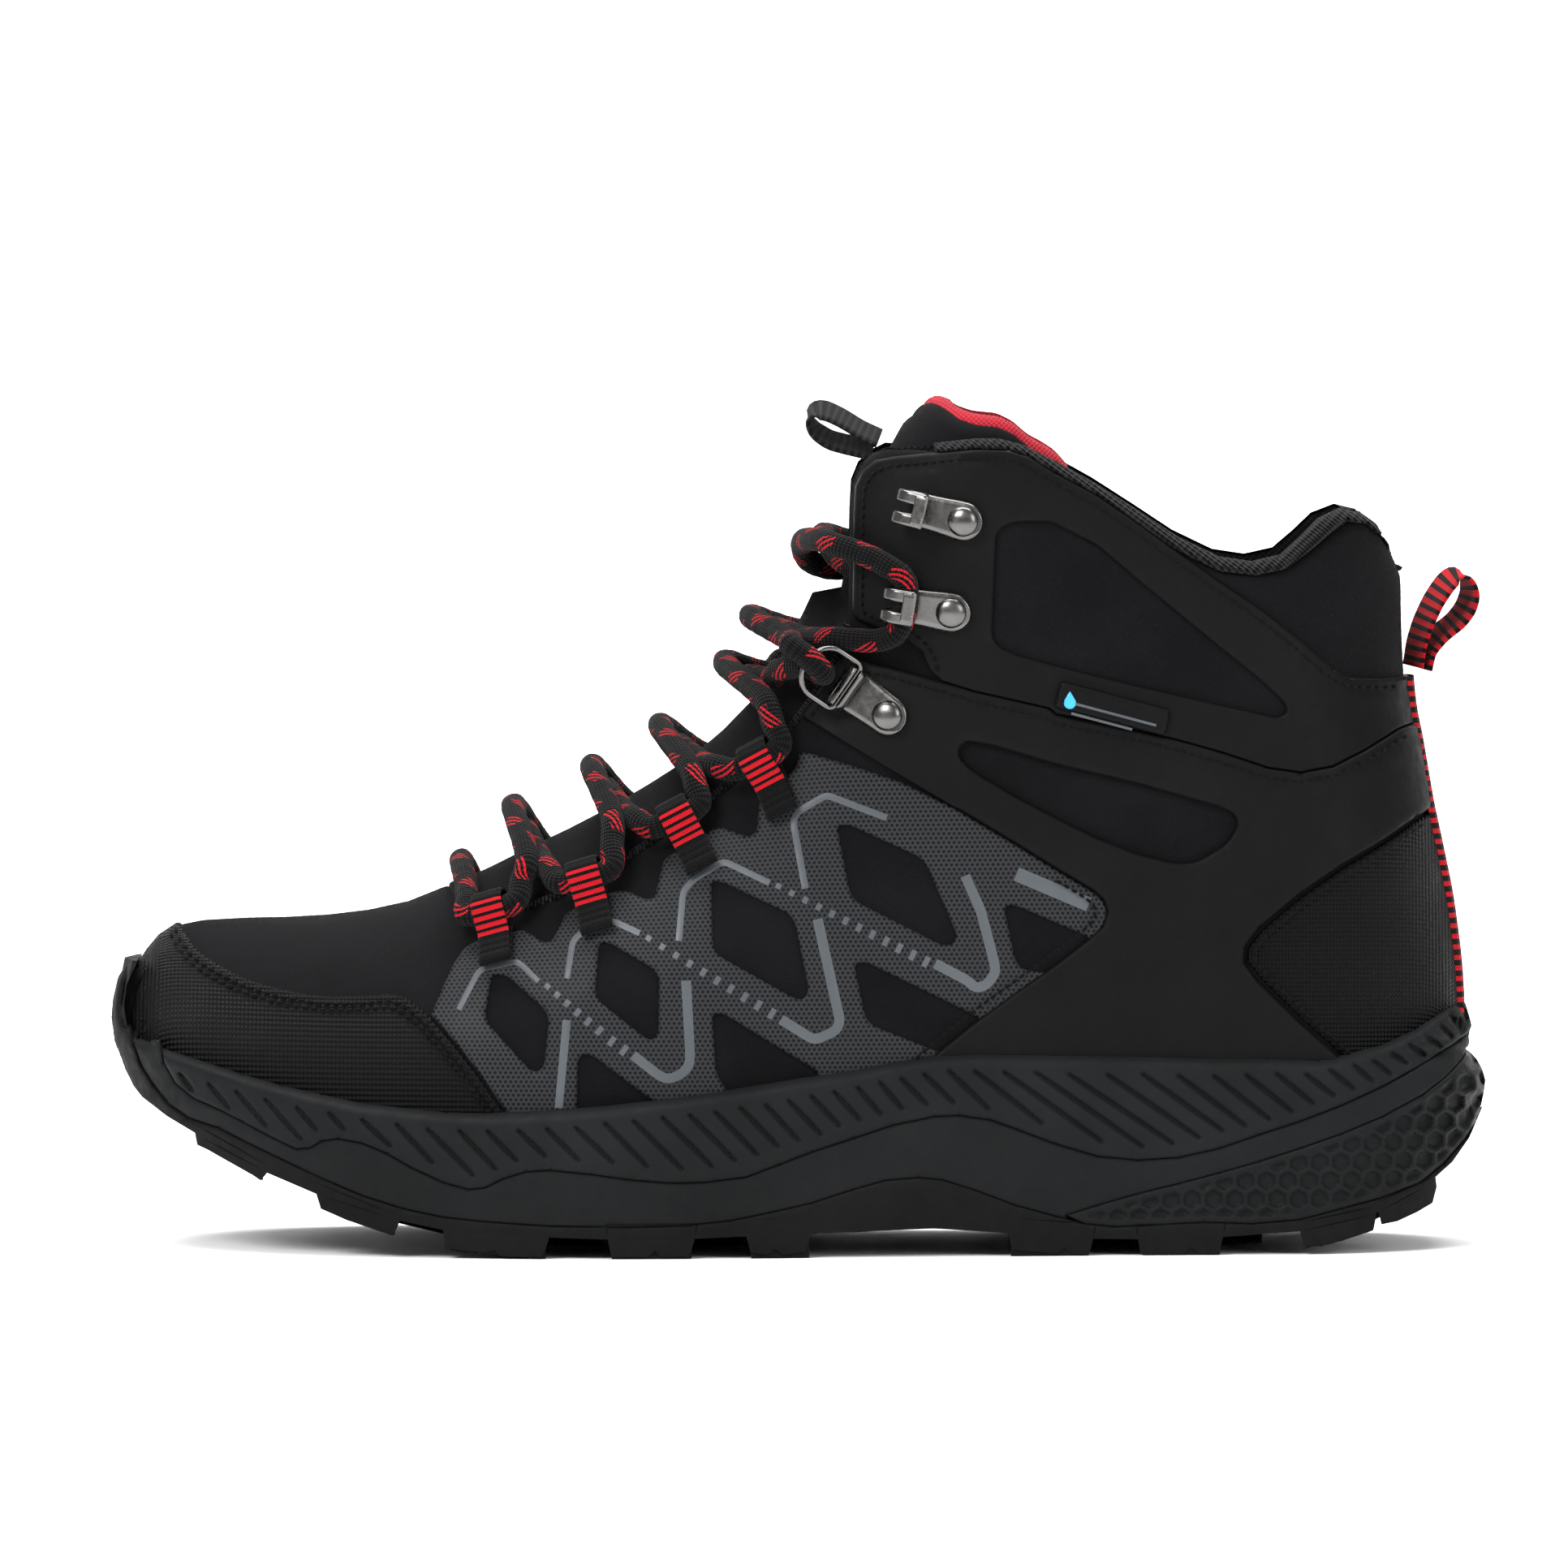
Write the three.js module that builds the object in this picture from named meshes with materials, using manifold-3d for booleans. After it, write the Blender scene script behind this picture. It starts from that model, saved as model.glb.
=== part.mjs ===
// A mid-height lace-up hiking boot for the left foot, in millimetres.
// +X runs from toe to heel, +Z is up, -Y is the outer (lateral) side.
// z = 0 is the plane of the outsole's lug faces.
import * as THREE from "three";
import { mergeVertices } from "three/addons/utils/BufferGeometryUtils.js";
import Module from "manifold-3d";

const wasm = await Module();
wasm.setup();

// ---- driving dimensions ----
const GAP = 0.3; // clearance between touching pieces
const LINING = [-6.4, -4.2]; // layer offsets from the upper's outer face: inner, outer
const STIFFENER = [-3.9, -2.6]; // toe puff, heel counter, collar foam
const SHELL = [-2.3, 0]; // soft outer fabric
const OVERLAY = [0.3, 1.5]; // film, smooth overlays, toe cap, heel patch
const TRIM = [1.8, 3.0]; // backstay webbing, side label
const BOARD_T = 2.0; // insole board thickness
const FOOTBED_T = 5.0;
const FOOTBED_CLEARANCE = 3.2;
const LACE_R = 2.6; // round lace radius
const LOOP_W = 7.6; // webbing lace loop width
const HOOK_W = 7.6; // lace hook width
const HOOK_SLOT = 6.0; // room under the hook's lip
const RIVET_R = 3.3;
const RING_WIRE = 1.3;
const RING_W = 13.0; // D-ring width along its hinge
const BARREL_BORE = 1.25;
const BARREL_R = 2.1;
const TOE_ROUND = 58; // length over which the toe rounds off in plan
const HEEL_ROUND = 36;
const WALL = 5.3; // how far the sole's side stands out from the upper
const TONGUE_T = 5.6;
const SHAFT_INSET = 13.6; // tongue wings inside the quarters, with room for lace ends

// ---- side-view lines, [x, z] ----
const L = {
  CF: [[-142.07, 32.7], [-144.18, 38.34], [-145.59, 44.51], [-145.95, 50.32], [-145.06, 55.96], [-143.48, 60.19], [-141.36, 63.72], [-138.54, 67.07], [-135.37, 69.18], [-130.26, 70.24], [-120.56, 70.77], [-111.75, 70.95], [-102.94, 71.47], [-94.12, 72.53], [-85.31, 74.47], [-76.15, 78.17], [-67.69, 81.87], [-58.87, 86.28], [-50.06, 90.51], [-41.25, 95.09], [-32.43, 100.38], [-23.62, 106.02], [-16.57, 112.02], [-10.4, 118.36], [-5.64, 124.71], [-2.12, 131.76], [1.06, 137.93], [4.58, 145.51], [8.11, 153.44], [12.16, 161.72], [16.75, 169.65], [21.33, 177.59], [26.62, 186.4], [31.37, 194.33]],
  CB: [[-139.95, 31.99], [-135.55, 30.58], [-129.38, 28.82], [-120.56, 26.35], [-102.94, 22.65], [-85.31, 20.18], [-67.69, 19.3], [-50.06, 20.18], [-32.43, 22.12], [-14.81, 24.41], [2.82, 27.23], [20.45, 29.7], [38.07, 31.11], [73.33, 31.11], [108.58, 30.76], [126.2, 31.46], [135.9, 32.87], [140.83, 35.69], [142.42, 40.1], [143.13, 45.39], [143.3, 50.68], [143.13, 56.84], [142.6, 63.01], [141.72, 70.06], [140.66, 77.12], [139.42, 83.28], [138.01, 89.98], [136.6, 96.5], [135.37, 103.55], [134.14, 110.61], [132.9, 116.77], [132.2, 122.94], [131.67, 131.76], [131.49, 138.81], [131.14, 145.86], [130.43, 152.03], [129.38, 158.2], [127.97, 165.25], [126.2, 174.06]],
  RIBF: [[-143.48, 36.22], [-145.77, 46.27], [-143.48, 60.19], [-135.37, 69.18], [-120.56, 70.77], [-102.94, 71.47], [-85.31, 74.47], [-67.69, 81.87], [-50.06, 90.51], [-32.43, 100.38], [-16.57, 112.02], [-7.76, 121.53], [-3.35, 129.11], [4.58, 145.51], [12.16, 161.72], [21.33, 177.59], [31.37, 194.33]],
  RIBB: [[-139.95, 31.99], [-138.72, 31.64], [-135.55, 30.58], [-132.02, 29.52], [-118.8, 26], [-97.65, 21.59], [-74.74, 19.48], [-48.3, 20.36], [-18.33, 23.88], [18.68, 29.52], [68.04, 31.11], [140.83, 35.69], [143.3, 50.68], [139.42, 83.28], [134.14, 110.61], [131.49, 138.81], [126.2, 174.06]],
  MIDTOP: [[-147, 48.03], [-144.89, 45.92], [-141.72, 44.86], [-138.19, 43.63], [-129.38, 41.33], [-120.56, 38.87], [-111.75, 36.57], [-102.94, 34.81], [-94.12, 33.05], [-85.31, 32.17], [-76.5, 31.29], [-67.69, 31.11], [-58.87, 31.46], [-50.06, 31.99], [-41.25, 32.7], [-32.43, 33.75], [-23.62, 34.81], [-14.81, 36.05], [-5.99, 37.46], [2.82, 38.87], [11.63, 40.1], [20.45, 41.86], [29.26, 43.27], [38.07, 43.63], [55.7, 43.27], [73.33, 42.92], [90.95, 42.39], [101.53, 42.39], [112.1, 41.86], [115.63, 42.22], [119.15, 43.27], [126.2, 45.04], [133.25, 48.03], [140.31, 52.44], [143.83, 54.55], [149.12, 54.91]],
  PART: [[-138.9, 45.39], [-137.84, 40.45], [-135.37, 36.22], [-131.14, 33.05], [-125.85, 31.11], [-120.56, 28.64], [-113.51, 25.12], [-108.58, 23], [-105.58, 23.35], [-102.94, 24.94], [-99.41, 25.47], [-94.12, 24.59], [-88.84, 22.47], [-83.55, 19.48], [-76.5, 16.3], [-71.21, 14.89], [-67.69, 15.25], [-63.81, 17.19], [-58.87, 18.77], [-53.58, 19.12], [-44.77, 18.24], [-35.96, 17.01], [-27.14, 16.3], [-20.09, 16.48], [-11.28, 17.54], [-4.23, 20.18], [2.82, 22.83], [11.63, 25.65], [20.45, 28.47], [29.26, 30.23], [34.55, 30.41], [41.6, 29.35], [46.89, 27.41], [55.7, 24.06], [64.51, 21.42], [73.33, 20.53], [82.14, 21.06], [90.95, 23], [99.76, 26], [108.58, 28.82], [117.39, 32.17], [126.2, 36.05], [135.02, 40.45], [143.83, 45.04], [150.88, 48.56]],
  HEXTOP: [[57.81, 8.73], [64.51, 10.84], [73.33, 13.31], [82.14, 15.42], [90.95, 17.71], [99.76, 20.18], [108.58, 23], [117.39, 26], [126.2, 29.52], [135.02, 33.93], [140.31, 37.46], [143.83, 40.45], [146.3, 42.74], [152.64, 47.15]],
  OUTLINE: [[-144.18, 61.6], [-145.24, 59.84], [-146.47, 56.84], [-147, 52.44], [-146.3, 48.03], [-144.71, 43.63], [-143.13, 39.22], [-140.48, 35.34], [-136.96, 31.46], [-132.55, 28.64], [-125.85, 26.88], [-120.56, 24.41], [-111.75, 20.53], [-102.94, 16.66], [-94.12, 13.13], [-85.31, 10.49], [-76.5, 8.73], [-67.69, 7.84], [-53.58, 6.96], [-39.48, 6.79], [-23.62, 7.14], [-14.81, 8.02], [-5.99, 9.78], [2.82, 11.72], [11.63, 14.54], [18.68, 16.48], [25.73, 17.01], [31.02, 16.48], [38.07, 14.19], [46.89, 10.84], [55.7, 8.37], [61.87, 6.79], [68.04, 6.08], [76.85, 6.43], [87.43, 6.96], [98, 6.61], [108.58, 7.49], [117.39, 9.78], [126.2, 11.9], [135.02, 14.89], [140.31, 18.95], [145.24, 23.88], [148.41, 28.11], [152.64, 34.81]],
  GROUND: [[-152.29, 43.63], [-148.77, 38.34], [-146.12, 33.75], [-144.18, 30.93], [-138.19, 26.7], [-130.26, 22.47], [-116.16, 15.78], [-103.29, 10.14], [-87.43, 4.85], [-72.97, 1.32], [-55.35, 0], [-32.43, 0], [2.82, 0], [45.12, 0], [73.33, 0], [92.71, 0], [108.58, 0.97], [124.44, 4.85], [137.66, 11.37], [143.83, 15.78], [147.71, 21.06], [149.47, 26], [152.64, 31.29]],
  LUGBASE: [[-152.29, 45.39], [-148.24, 39.04], [-145.24, 34.46], [-143.13, 32.34], [-137.31, 28.64], [-129.38, 24.59], [-115.28, 17.89], [-102.94, 12.96], [-87.07, 8.2], [-74.74, 5.73], [-55.35, 4.67], [-39.48, 4.14], [-21.86, 4.32], [-9.52, 4.85], [2.82, 5.38], [11.63, 5.38], [20.45, 5.9], [29.26, 6.08], [38.07, 5.55], [45.12, 5.02], [62.75, 3.61], [73.33, 3.44], [90.95, 3.79], [108.58, 5.02], [124.44, 8.37], [135.9, 14.01], [142.07, 18.95], [145.95, 23.88], [148.41, 28.11], [152.64, 34.81]],
  TOETIP: [[-146.65, 63.01], [-147.18, 59.84], [-148.59, 57.55], [-149.65, 52.79], [-150, 48.91], [-149.29, 43.63], [-147.53, 39.22], [-145.95, 34.46], [-145.24, 31.29]],
  HEELTIP: [[143.83, 61.25], [144.01, 54.73], [145.24, 52.97], [146.47, 48.91], [147, 46.45], [146.3, 45.21], [146.83, 44.33], [145.95, 42.39], [148.24, 39.92], [149.47, 37.46], [150, 35.34], [149.47, 31.82], [148.77, 28.64], [148.77, 24.24], [147.71, 18.95]],
  THROAT: [[-76.85, 80.29], [-75.44, 77.82], [-72.09, 74.65], [-67.69, 73.06], [-60.63, 74.12], [-51.82, 77.12], [-41.25, 83.11], [-32.43, 88.4], [-23.62, 94.57], [-14.81, 101.44], [-7.76, 107.43], [-1.59, 113.6], [3.35, 120.12], [7.23, 126.47], [9.52, 131.76], [10.4, 136.16]],
  FLAP: [[10.75, 137.4], [10.93, 149.38], [11.1, 159.96], [11.46, 166.3], [13.04, 170.18], [16.04, 172.83], [19.04, 174.24]],
  COLLAR: [[19.04, 174.24], [29.26, 175.29], [38.07, 176.35], [43.36, 176.35], [48.65, 174.94], [55.7, 171.42], [64.51, 166.48], [73.33, 160.84], [82.14, 155.02], [90.95, 150.79], [98, 149.74], [104.17, 151.15], [108.58, 155.02], [112.46, 158.9], [117.39, 161.02], [122.68, 159.96], [126.56, 157.31], [129.02, 153.79], [130.79, 149.38], [136.78, 145.86]],
  KNIT: [[13.4, 169.12], [16.57, 171.77], [20.45, 172.65], [29.26, 173.53], [38.07, 174.41], [45.12, 174.24], [49.53, 172.83], [55.7, 169.12], [64.51, 164.37], [73.33, 158.2], [82.14, 152.2], [90.95, 147.97], [98.88, 147.09], [105.05, 148.33], [110.34, 152.03], [115.63, 156.43], [118.8, 158.55], [123.03, 157.84], [126.91, 154.67], [129.73, 150.79], [131.84, 147.27], [136.78, 143.21]],
  TOECAP: [[-135.9, 71.83], [-135.37, 69.71], [-134.49, 67.95], [-131.67, 64.6], [-127.26, 61.96], [-120.56, 58.96], [-111.75, 56.67], [-102.94, 55.43], [-94.12, 55.61], [-88.84, 56.32], [-86.19, 56.14], [-83.55, 54.55], [-80.02, 51.73], [-74.74, 45.92], [-69.45, 39.39], [-65.57, 33.75], [-60.63, 26.88]],
  FILM: [[-79.85, 51.03], [-77.38, 57.02], [-74.74, 62.66], [-72.27, 66.19], [-69.45, 67.6], [-66.63, 68.3], [-59.58, 70.06], [-57.11, 68.65], [-54.99, 67.24], [-53.41, 67.77], [-50.59, 73.24], [-50.06, 73.94], [-40.89, 78.17], [-37.72, 78.7], [-32.43, 76.59], [-31.2, 77.12], [-29.79, 83.11], [-29.26, 85.22], [-20.09, 90.86], [-17.27, 92.27], [-10.93, 90.16], [-9.17, 91.04], [-8.64, 96.5], [-8.11, 98.62], [-0.71, 104.96], [0, 108.49], [2.82, 108.14], [11.63, 105.67], [22.21, 102.14], [34.55, 96.15]],
  FILM2: [[34.55, 96.15], [38.07, 94.04], [46.89, 88.75], [55.7, 83.28], [63.63, 78.53], [65.92, 76.41], [66.63, 73.94], [65.57, 70.77], [62.4, 67.95], [55.7, 62.84], [46.89, 56.67], [38.07, 50.32], [29.26, 43.27], [23.97, 38.34], [20.45, 35.69]],
  W1: [[-66.27, 60.55], [-63.1, 60.37], [-54.99, 53.5], [-53.94, 51.38], [-54.99, 41.16], [-56.4, 39.75], [-57.99, 40.28], [-66.98, 49.97], [-67.69, 51.73]],
  W2: [[-43.01, 67.77], [-40.72, 67.42], [-31.37, 62.13], [-30.14, 60.19], [-30.32, 48.21], [-31.55, 46.62], [-32.96, 47.15], [-43.18, 55.26], [-43.89, 57.02]],
  W3: [[-18.86, 80.82], [-16.39, 80.46], [-2.29, 73.94], [-0.88, 72.18], [2.12, 57.37], [1.23, 55.43], [-0.53, 55.43], [-17.63, 65.13], [-18.51, 66.89]],
  W4: [[8.28, 92.8], [10.93, 92.8], [25.91, 85.93], [27.67, 84.17], [34.2, 69.01], [33.31, 66.89], [31.02, 66.89], [12.34, 76.41], [11.1, 78.17]],
  W5: [[-47.59, 42.92], [-46.18, 43.98], [-44.24, 43.27], [-31.37, 33.4], [-31.37, 30.23], [-47.94, 28.47]],
  W6: [[-18.68, 52.44], [-16.39, 52.44], [4.05, 39.75], [4.58, 35.69], [-13.92, 33.05], [-16.75, 37.63], [-17.8, 39.75]],
  W7: [[11.99, 63.01], [14.45, 63.37], [39.31, 51.03], [30.67, 43.63], [16.04, 49.62], [14.45, 51.38]],
  W8: [[44.42, 75.35], [46.89, 75.35], [63.1, 68.3], [53.58, 60.72], [48.3, 61.6], [46.89, 63.37]],
  ANKLE: [[0, 116.6], [2.82, 119.77], [6.7, 125.06], [9.17, 129.29], [20.45, 126.82], [31.02, 123.82], [38.07, 121.71], [54.29, 118.01], [55.7, 116.77], [73.33, 113.25], [82.14, 111.13], [90.95, 108.67], [101.53, 105.14], [108.58, 104.08], [115.63, 105.32], [122.68, 108.67], [130.61, 113.07], [133.61, 113.78], [136.78, 113.78]],
  ANKLE2: [[142.07, 99.15], [137.66, 95.09], [134.14, 93.68], [126.2, 88.75], [117.39, 83.81], [108.58, 77.82], [99.76, 70.42], [96.77, 66.54], [96.42, 63.01], [99.59, 58.78], [108.58, 49.97], [117.39, 42.22], [120.92, 38.34]],
  ANKLEWIN: [[34.55, 109.55], [36.31, 110.78], [41.6, 109.9], [55.7, 105.67], [73.33, 101.44], [90.95, 96.5], [94.12, 94.92], [94.83, 92.63], [92.19, 88.57], [86.02, 84.87], [81.79, 84.52], [73.33, 86.63], [64.51, 90.16], [55.7, 94.57], [46.89, 99.15], [38.07, 104.44], [35.25, 106.9]],
  EYEFRONT: [[28.38, 123.65], [28.03, 126.82], [26.26, 130.52], [22.56, 133.34], [16.04, 135.46], [12.16, 137.22], [11.63, 139.51], [11.81, 159.96], [12.16, 165.95], [13.75, 169.3], [16.57, 171.59], [20.45, 172.47]],
  EYETOP: [[20.45, 172.47], [29.26, 173.35], [38.07, 174.24], [45.12, 174.06], [49.53, 172.65], [55.7, 168.95], [64.51, 164.19], [73.33, 158.2], [80.38, 153.08], [90.95, 145.68], [99.76, 139.69], [108.58, 132.81], [115.63, 126.65], [119.15, 124.53], [126.2, 124], [136.78, 124.18]],
  EYEWIN: [[42.83, 155.73], [44.42, 157.49], [47.24, 158.2], [54.29, 158.37], [64.51, 153.08], [73.33, 145.51], [82.14, 138.28], [90.95, 131.05], [99.76, 124], [105.05, 119.07], [105.58, 116.95], [103.64, 116.07], [90.95, 118.89], [73.33, 122.94], [55.7, 127.35], [46.89, 129.82], [43.18, 131.58], [41.95, 133.7]],
  LABEL: [[56.58, 124], [80.38, 117.66], [79.14, 112.02], [55.17, 118.36]],
  HEELPATCH: [[142.07, 94.39], [137.66, 94.39], [134.14, 92.8], [126.2, 88.04], [117.57, 83.11], [108.93, 77.12], [100.29, 69.89], [97.47, 66.19], [97.12, 63.19], [100.12, 59.31], [109.11, 50.5], [118.27, 42.22], [124.44, 36.57]],
  TONGUETOP: [[23.62, 183.75], [25.38, 184.99], [27.5, 186.05], [29.61, 186.05], [32.08, 184.64], [34.55, 182.7], [38.07, 181.46], [43.36, 180.93], [46.89, 179.17], [50.06, 176.35], [53.41, 174.59], [56.05, 172.83], [57.81, 170.89], [60.99, 167.01], [64.51, 159.96]],
  HEELBACK: [[131.32, 144.98], [131.49, 138.81], [131.67, 131.76], [132.2, 122.94], [132.9, 116.77], [134.14, 110.61], [135.37, 103.55], [136.6, 96.5], [138.01, 89.98], [139.42, 83.28], [140.66, 77.12], [141.72, 70.06], [142.6, 63.01], [143.13, 56.84]],
};
// half widths of the upper at the midsole's rim, lateral and medial, by x
const W_LAT = [[-150, 45], [-120, 47.5], [-94, 49.5], [-68, 51], [-41, 51], [-15, 48], [20, 42.5], [56, 38], [91, 35.5], [126, 34.5], [150, 34]];
const W_MED = [[-150, 46], [-120, 48.5], [-94, 49.5], [-68, 49], [-41, 46], [-15, 41.5], [20, 37.5], [56, 35.5], [91, 34.5], [126, 34], [150, 34]];
const Y_CENTRE = [[-150, 7], [-94, 4.5], [-41, 0.8], [20, -1], [91, 0], [150, 0]];
const W_SHAFT = [[40, 34], [80, 35], [105, 37], [130, 37.5], [160, 39.5], [190, 41]];
const RIDGE_R = [[-150, 33], [-120, 36], [-94, 40], [-41, 46], [20, 47], [60, 44], [150, 40]];

// ---- small maths ----
function table(tab, v) {
  const n = tab.length;
  if (v <= tab[0][0]) return tab[0][1];
  if (v >= tab[n - 1][0]) return tab[n - 1][1];
  let i = 0;
  while (v > tab[i + 1][0]) i++;
  const slope = (k) => {
    const a = tab[Math.max(0, k - 1)], b = tab[Math.min(n - 1, k + 1)];
    return (b[1] - a[1]) / (b[0] - a[0]);
  };
  const [x0, y0] = tab[i], [x1, y1] = tab[i + 1], h = x1 - x0, t = (v - x0) / h;
  const t2 = t * t, t3 = t2 * t;
  return (2 * t3 - 3 * t2 + 1) * y0 + (t3 - 2 * t2 + t) * h * slope(i) + (3 * t2 - 2 * t3) * y1 + (t3 - t2) * h * slope(i + 1);
}
const linear = (pts, v, a = 0, b = 1) => {
  const n = pts.length;
  if (v <= pts[0][a]) return pts[0][b];
  for (let i = 1; i < n; i++)
    if (v <= pts[i][a]) {
      const t = (v - pts[i - 1][a]) / (pts[i][a] - pts[i - 1][a]);
      return pts[i - 1][b] + t * (pts[i][b] - pts[i - 1][b]);
    }
  return pts[n - 1][b];
};
const smooth = (a, b, v) => {
  const t = Math.min(1, Math.max(0, (v - a) / (b - a)));
  return t * t * (3 - 2 * t);
};
const cap = (u, p = 2.1) => {
  const v = 1 - Math.min(1, Math.max(0, u));
  return Math.pow(Math.max(0, 1 - Math.pow(v, p)), 1 / p);
};

// ---- the upper's surface ----
// The front ridge, from the toe's top over the instep and up the shaft. The quarters ride a little
// outside the tongue, so their own ridge is the tongue's ridge moved out.
const TONGUE_RIDGE = L.CF.slice(8);
const normals = (line) => line.map((p, i) => {
  const a = line[Math.max(0, i - 1)], b = line[Math.min(line.length - 1, i + 1)];
  const dx = b[0] - a[0], dz = b[1] - a[1], l = Math.hypot(dx, dz);
  return [-dz / l, dx / l];
});
const SHIFT = [[-76, 0], [-50, 3.2], [-14, 3.6], [-2, 5.5], [5, 9], [12, 12], [31, 13]];
const moved = (line, o) => {
  const n = normals(line);
  return line.map((p, i) => [p[0] + n[i][0] * o(p), p[1] + n[i][1] * o(p)]);
};
const CF_Q = moved(L.CF, (p) => (p[1] > 60 ? table(SHIFT, p[0]) : 0));
const QUARTER_RIDGE = CF_Q.slice(8);
function ridgeDistance(ridge, x, z) {
  let best = Infinity, sign = 1;
  const n = ridge.length;
  for (let i = 0; i < n - 1; i++) {
    const [ax, az] = ridge[i], [bx, bz] = ridge[i + 1], dx = bx - ax, dz = bz - az, l2 = dx * dx + dz * dz;
    let t = ((x - ax) * dx + (z - az) * dz) / l2;
    if (i > 0) t = Math.max(0, t);
    if (i < n - 2) t = Math.min(1, t);
    const px = ax + t * dx, pz = az + t * dz, d = Math.hypot(x - px, z - pz);
    if (d < best) {
      best = d;
      sign = (x - ax) * dz - (z - az) * dx >= 0 ? 1 : -1;
    }
  }
  return sign * best;
}
const TOE_X = L.CF.slice(0, 9).map(([x, z]) => [z, x]);
const HEEL_X = [[35.7, 140.8], [40.1, 142.4], [45.4, 143.1], [50.7, 143.3], [56.8, 143.1], ...L.HEELBACK.slice().reverse().slice(1).map(([x, z]) => [z, x]), [152, 130.4], [158.2, 129.4], [165.2, 128], [174, 126.2]];
const toeX = (z) => (z > TOE_X[8][0] ? TOE_X[8][1] + 16 * (1 - Math.exp((TOE_X[8][0] - z) / 10)) : linear(TOE_X, z));
const heelX = (z) => table(HEEL_X, z);
const centre = (x) => table(Y_CENTRE, x);
function halfWidth(x, z, side, o, tongue) {
  const b = smooth(55, 112, z);
  const w = table(side < 0 ? W_LAT : W_MED, x) * (1 - b) + table(W_SHAFT, z) * b;
  const r = table(RIDGE_R, x) * (1 - b) + 36 * b;
  const shape = (ridge, oo) =>
    (w + oo) * cap((ridgeDistance(ridge, x, z) + oo) / (r + oo)) *
    cap((x - toeX(z) + oo) / (TOE_ROUND + oo)) * cap((heelX(z) + oo - x) / (HEEL_ROUND + oo));
  if (!tongue) return shape(QUARTER_RIDGE, o);
  return Math.min(shape(TONGUE_RIDGE, o), shape(QUARTER_RIDGE, o - SHAFT_INSET) + (1 - smooth(122, 143, z)) * 40);
}

// ---- solids ----
function toSolid(g) {
  const p = new THREE.BufferGeometry().setAttribute("position", g.getAttribute("position").clone());
  if (g.index) p.setIndex(g.index.clone());
  const m = mergeVertices(p, 1e-4);
  let tri = new Uint32Array(m.index.array);
  const make = () => new wasm.Manifold(new wasm.Mesh({ numProp: 3, vertProperties: new Float32Array(m.attributes.position.array), triVerts: tri }));
  let s = make();
  if (s.volume() < 0) {
    for (let i = 0; i < tri.length; i += 3) [tri[i + 1], tri[i + 2]] = [tri[i + 2], tri[i + 1]];
    s = make();
  }
  return s;
}
function toGeometry(s) {
  const m = s.getMesh(), n = m.numProp, v = new Float32Array(m.numVert * 3);
  for (let i = 0; i < m.numVert; i++) v.set(m.vertProperties.subarray(i * n, i * n + 3), i * 3);
  const g = new THREE.BufferGeometry().setAttribute("position", new THREE.BufferAttribute(v, 3)).setIndex(new THREE.BufferAttribute(new Uint32Array(m.triVerts), 1));
  g.computeVertexNormals();
  return g;
}
const largest = (s) => s.decompose().reduce((a, b) => (b.volume() > a.volume() ? b : a));
const join = (list) => list.reduce((a, b) => a.add(b));

function polyLength(line) {
  const s = [0];
  for (let i = 1; i < line.length; i++) s.push(s[i - 1] + Math.hypot(line[i][0] - line[i - 1][0], line[i][1] - line[i - 1][1]));
  return s;
}
function polyAt(line, s, v) {
  let i = 1;
  while (i < s.length - 1 && v > s[i]) i++;
  const t = Math.min(1, Math.max(0, (v - s[i - 1]) / (s[i] - s[i - 1])));
  return [line[i - 1][0] + t * (line[i][0] - line[i - 1][0]), line[i - 1][1] + t * (line[i][1] - line[i - 1][1])];
}
function nearestS(line, s, p) {
  let best = Infinity, out = 0;
  for (let i = 1; i < line.length; i++) {
    const [ax, az] = line[i - 1], dx = line[i][0] - ax, dz = line[i][1] - az, l2 = dx * dx + dz * dz;
    const t = Math.min(1, Math.max(0, ((p[0] - ax) * dx + (p[1] - az) * dz) / l2));
    const d = Math.hypot(p[0] - ax - t * dx, p[1] - az - t * dz);
    if (d < best) { best = d; out = s[i - 1] + t * (s[i] - s[i - 1]); }
  }
  return out;
}
const SPLIT = [1, 1, 2, 1, 2, 2, 2, 1, 1, 2, 3, 2, 1, 1, 1, 1];
const ACROSS = 7;
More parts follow.
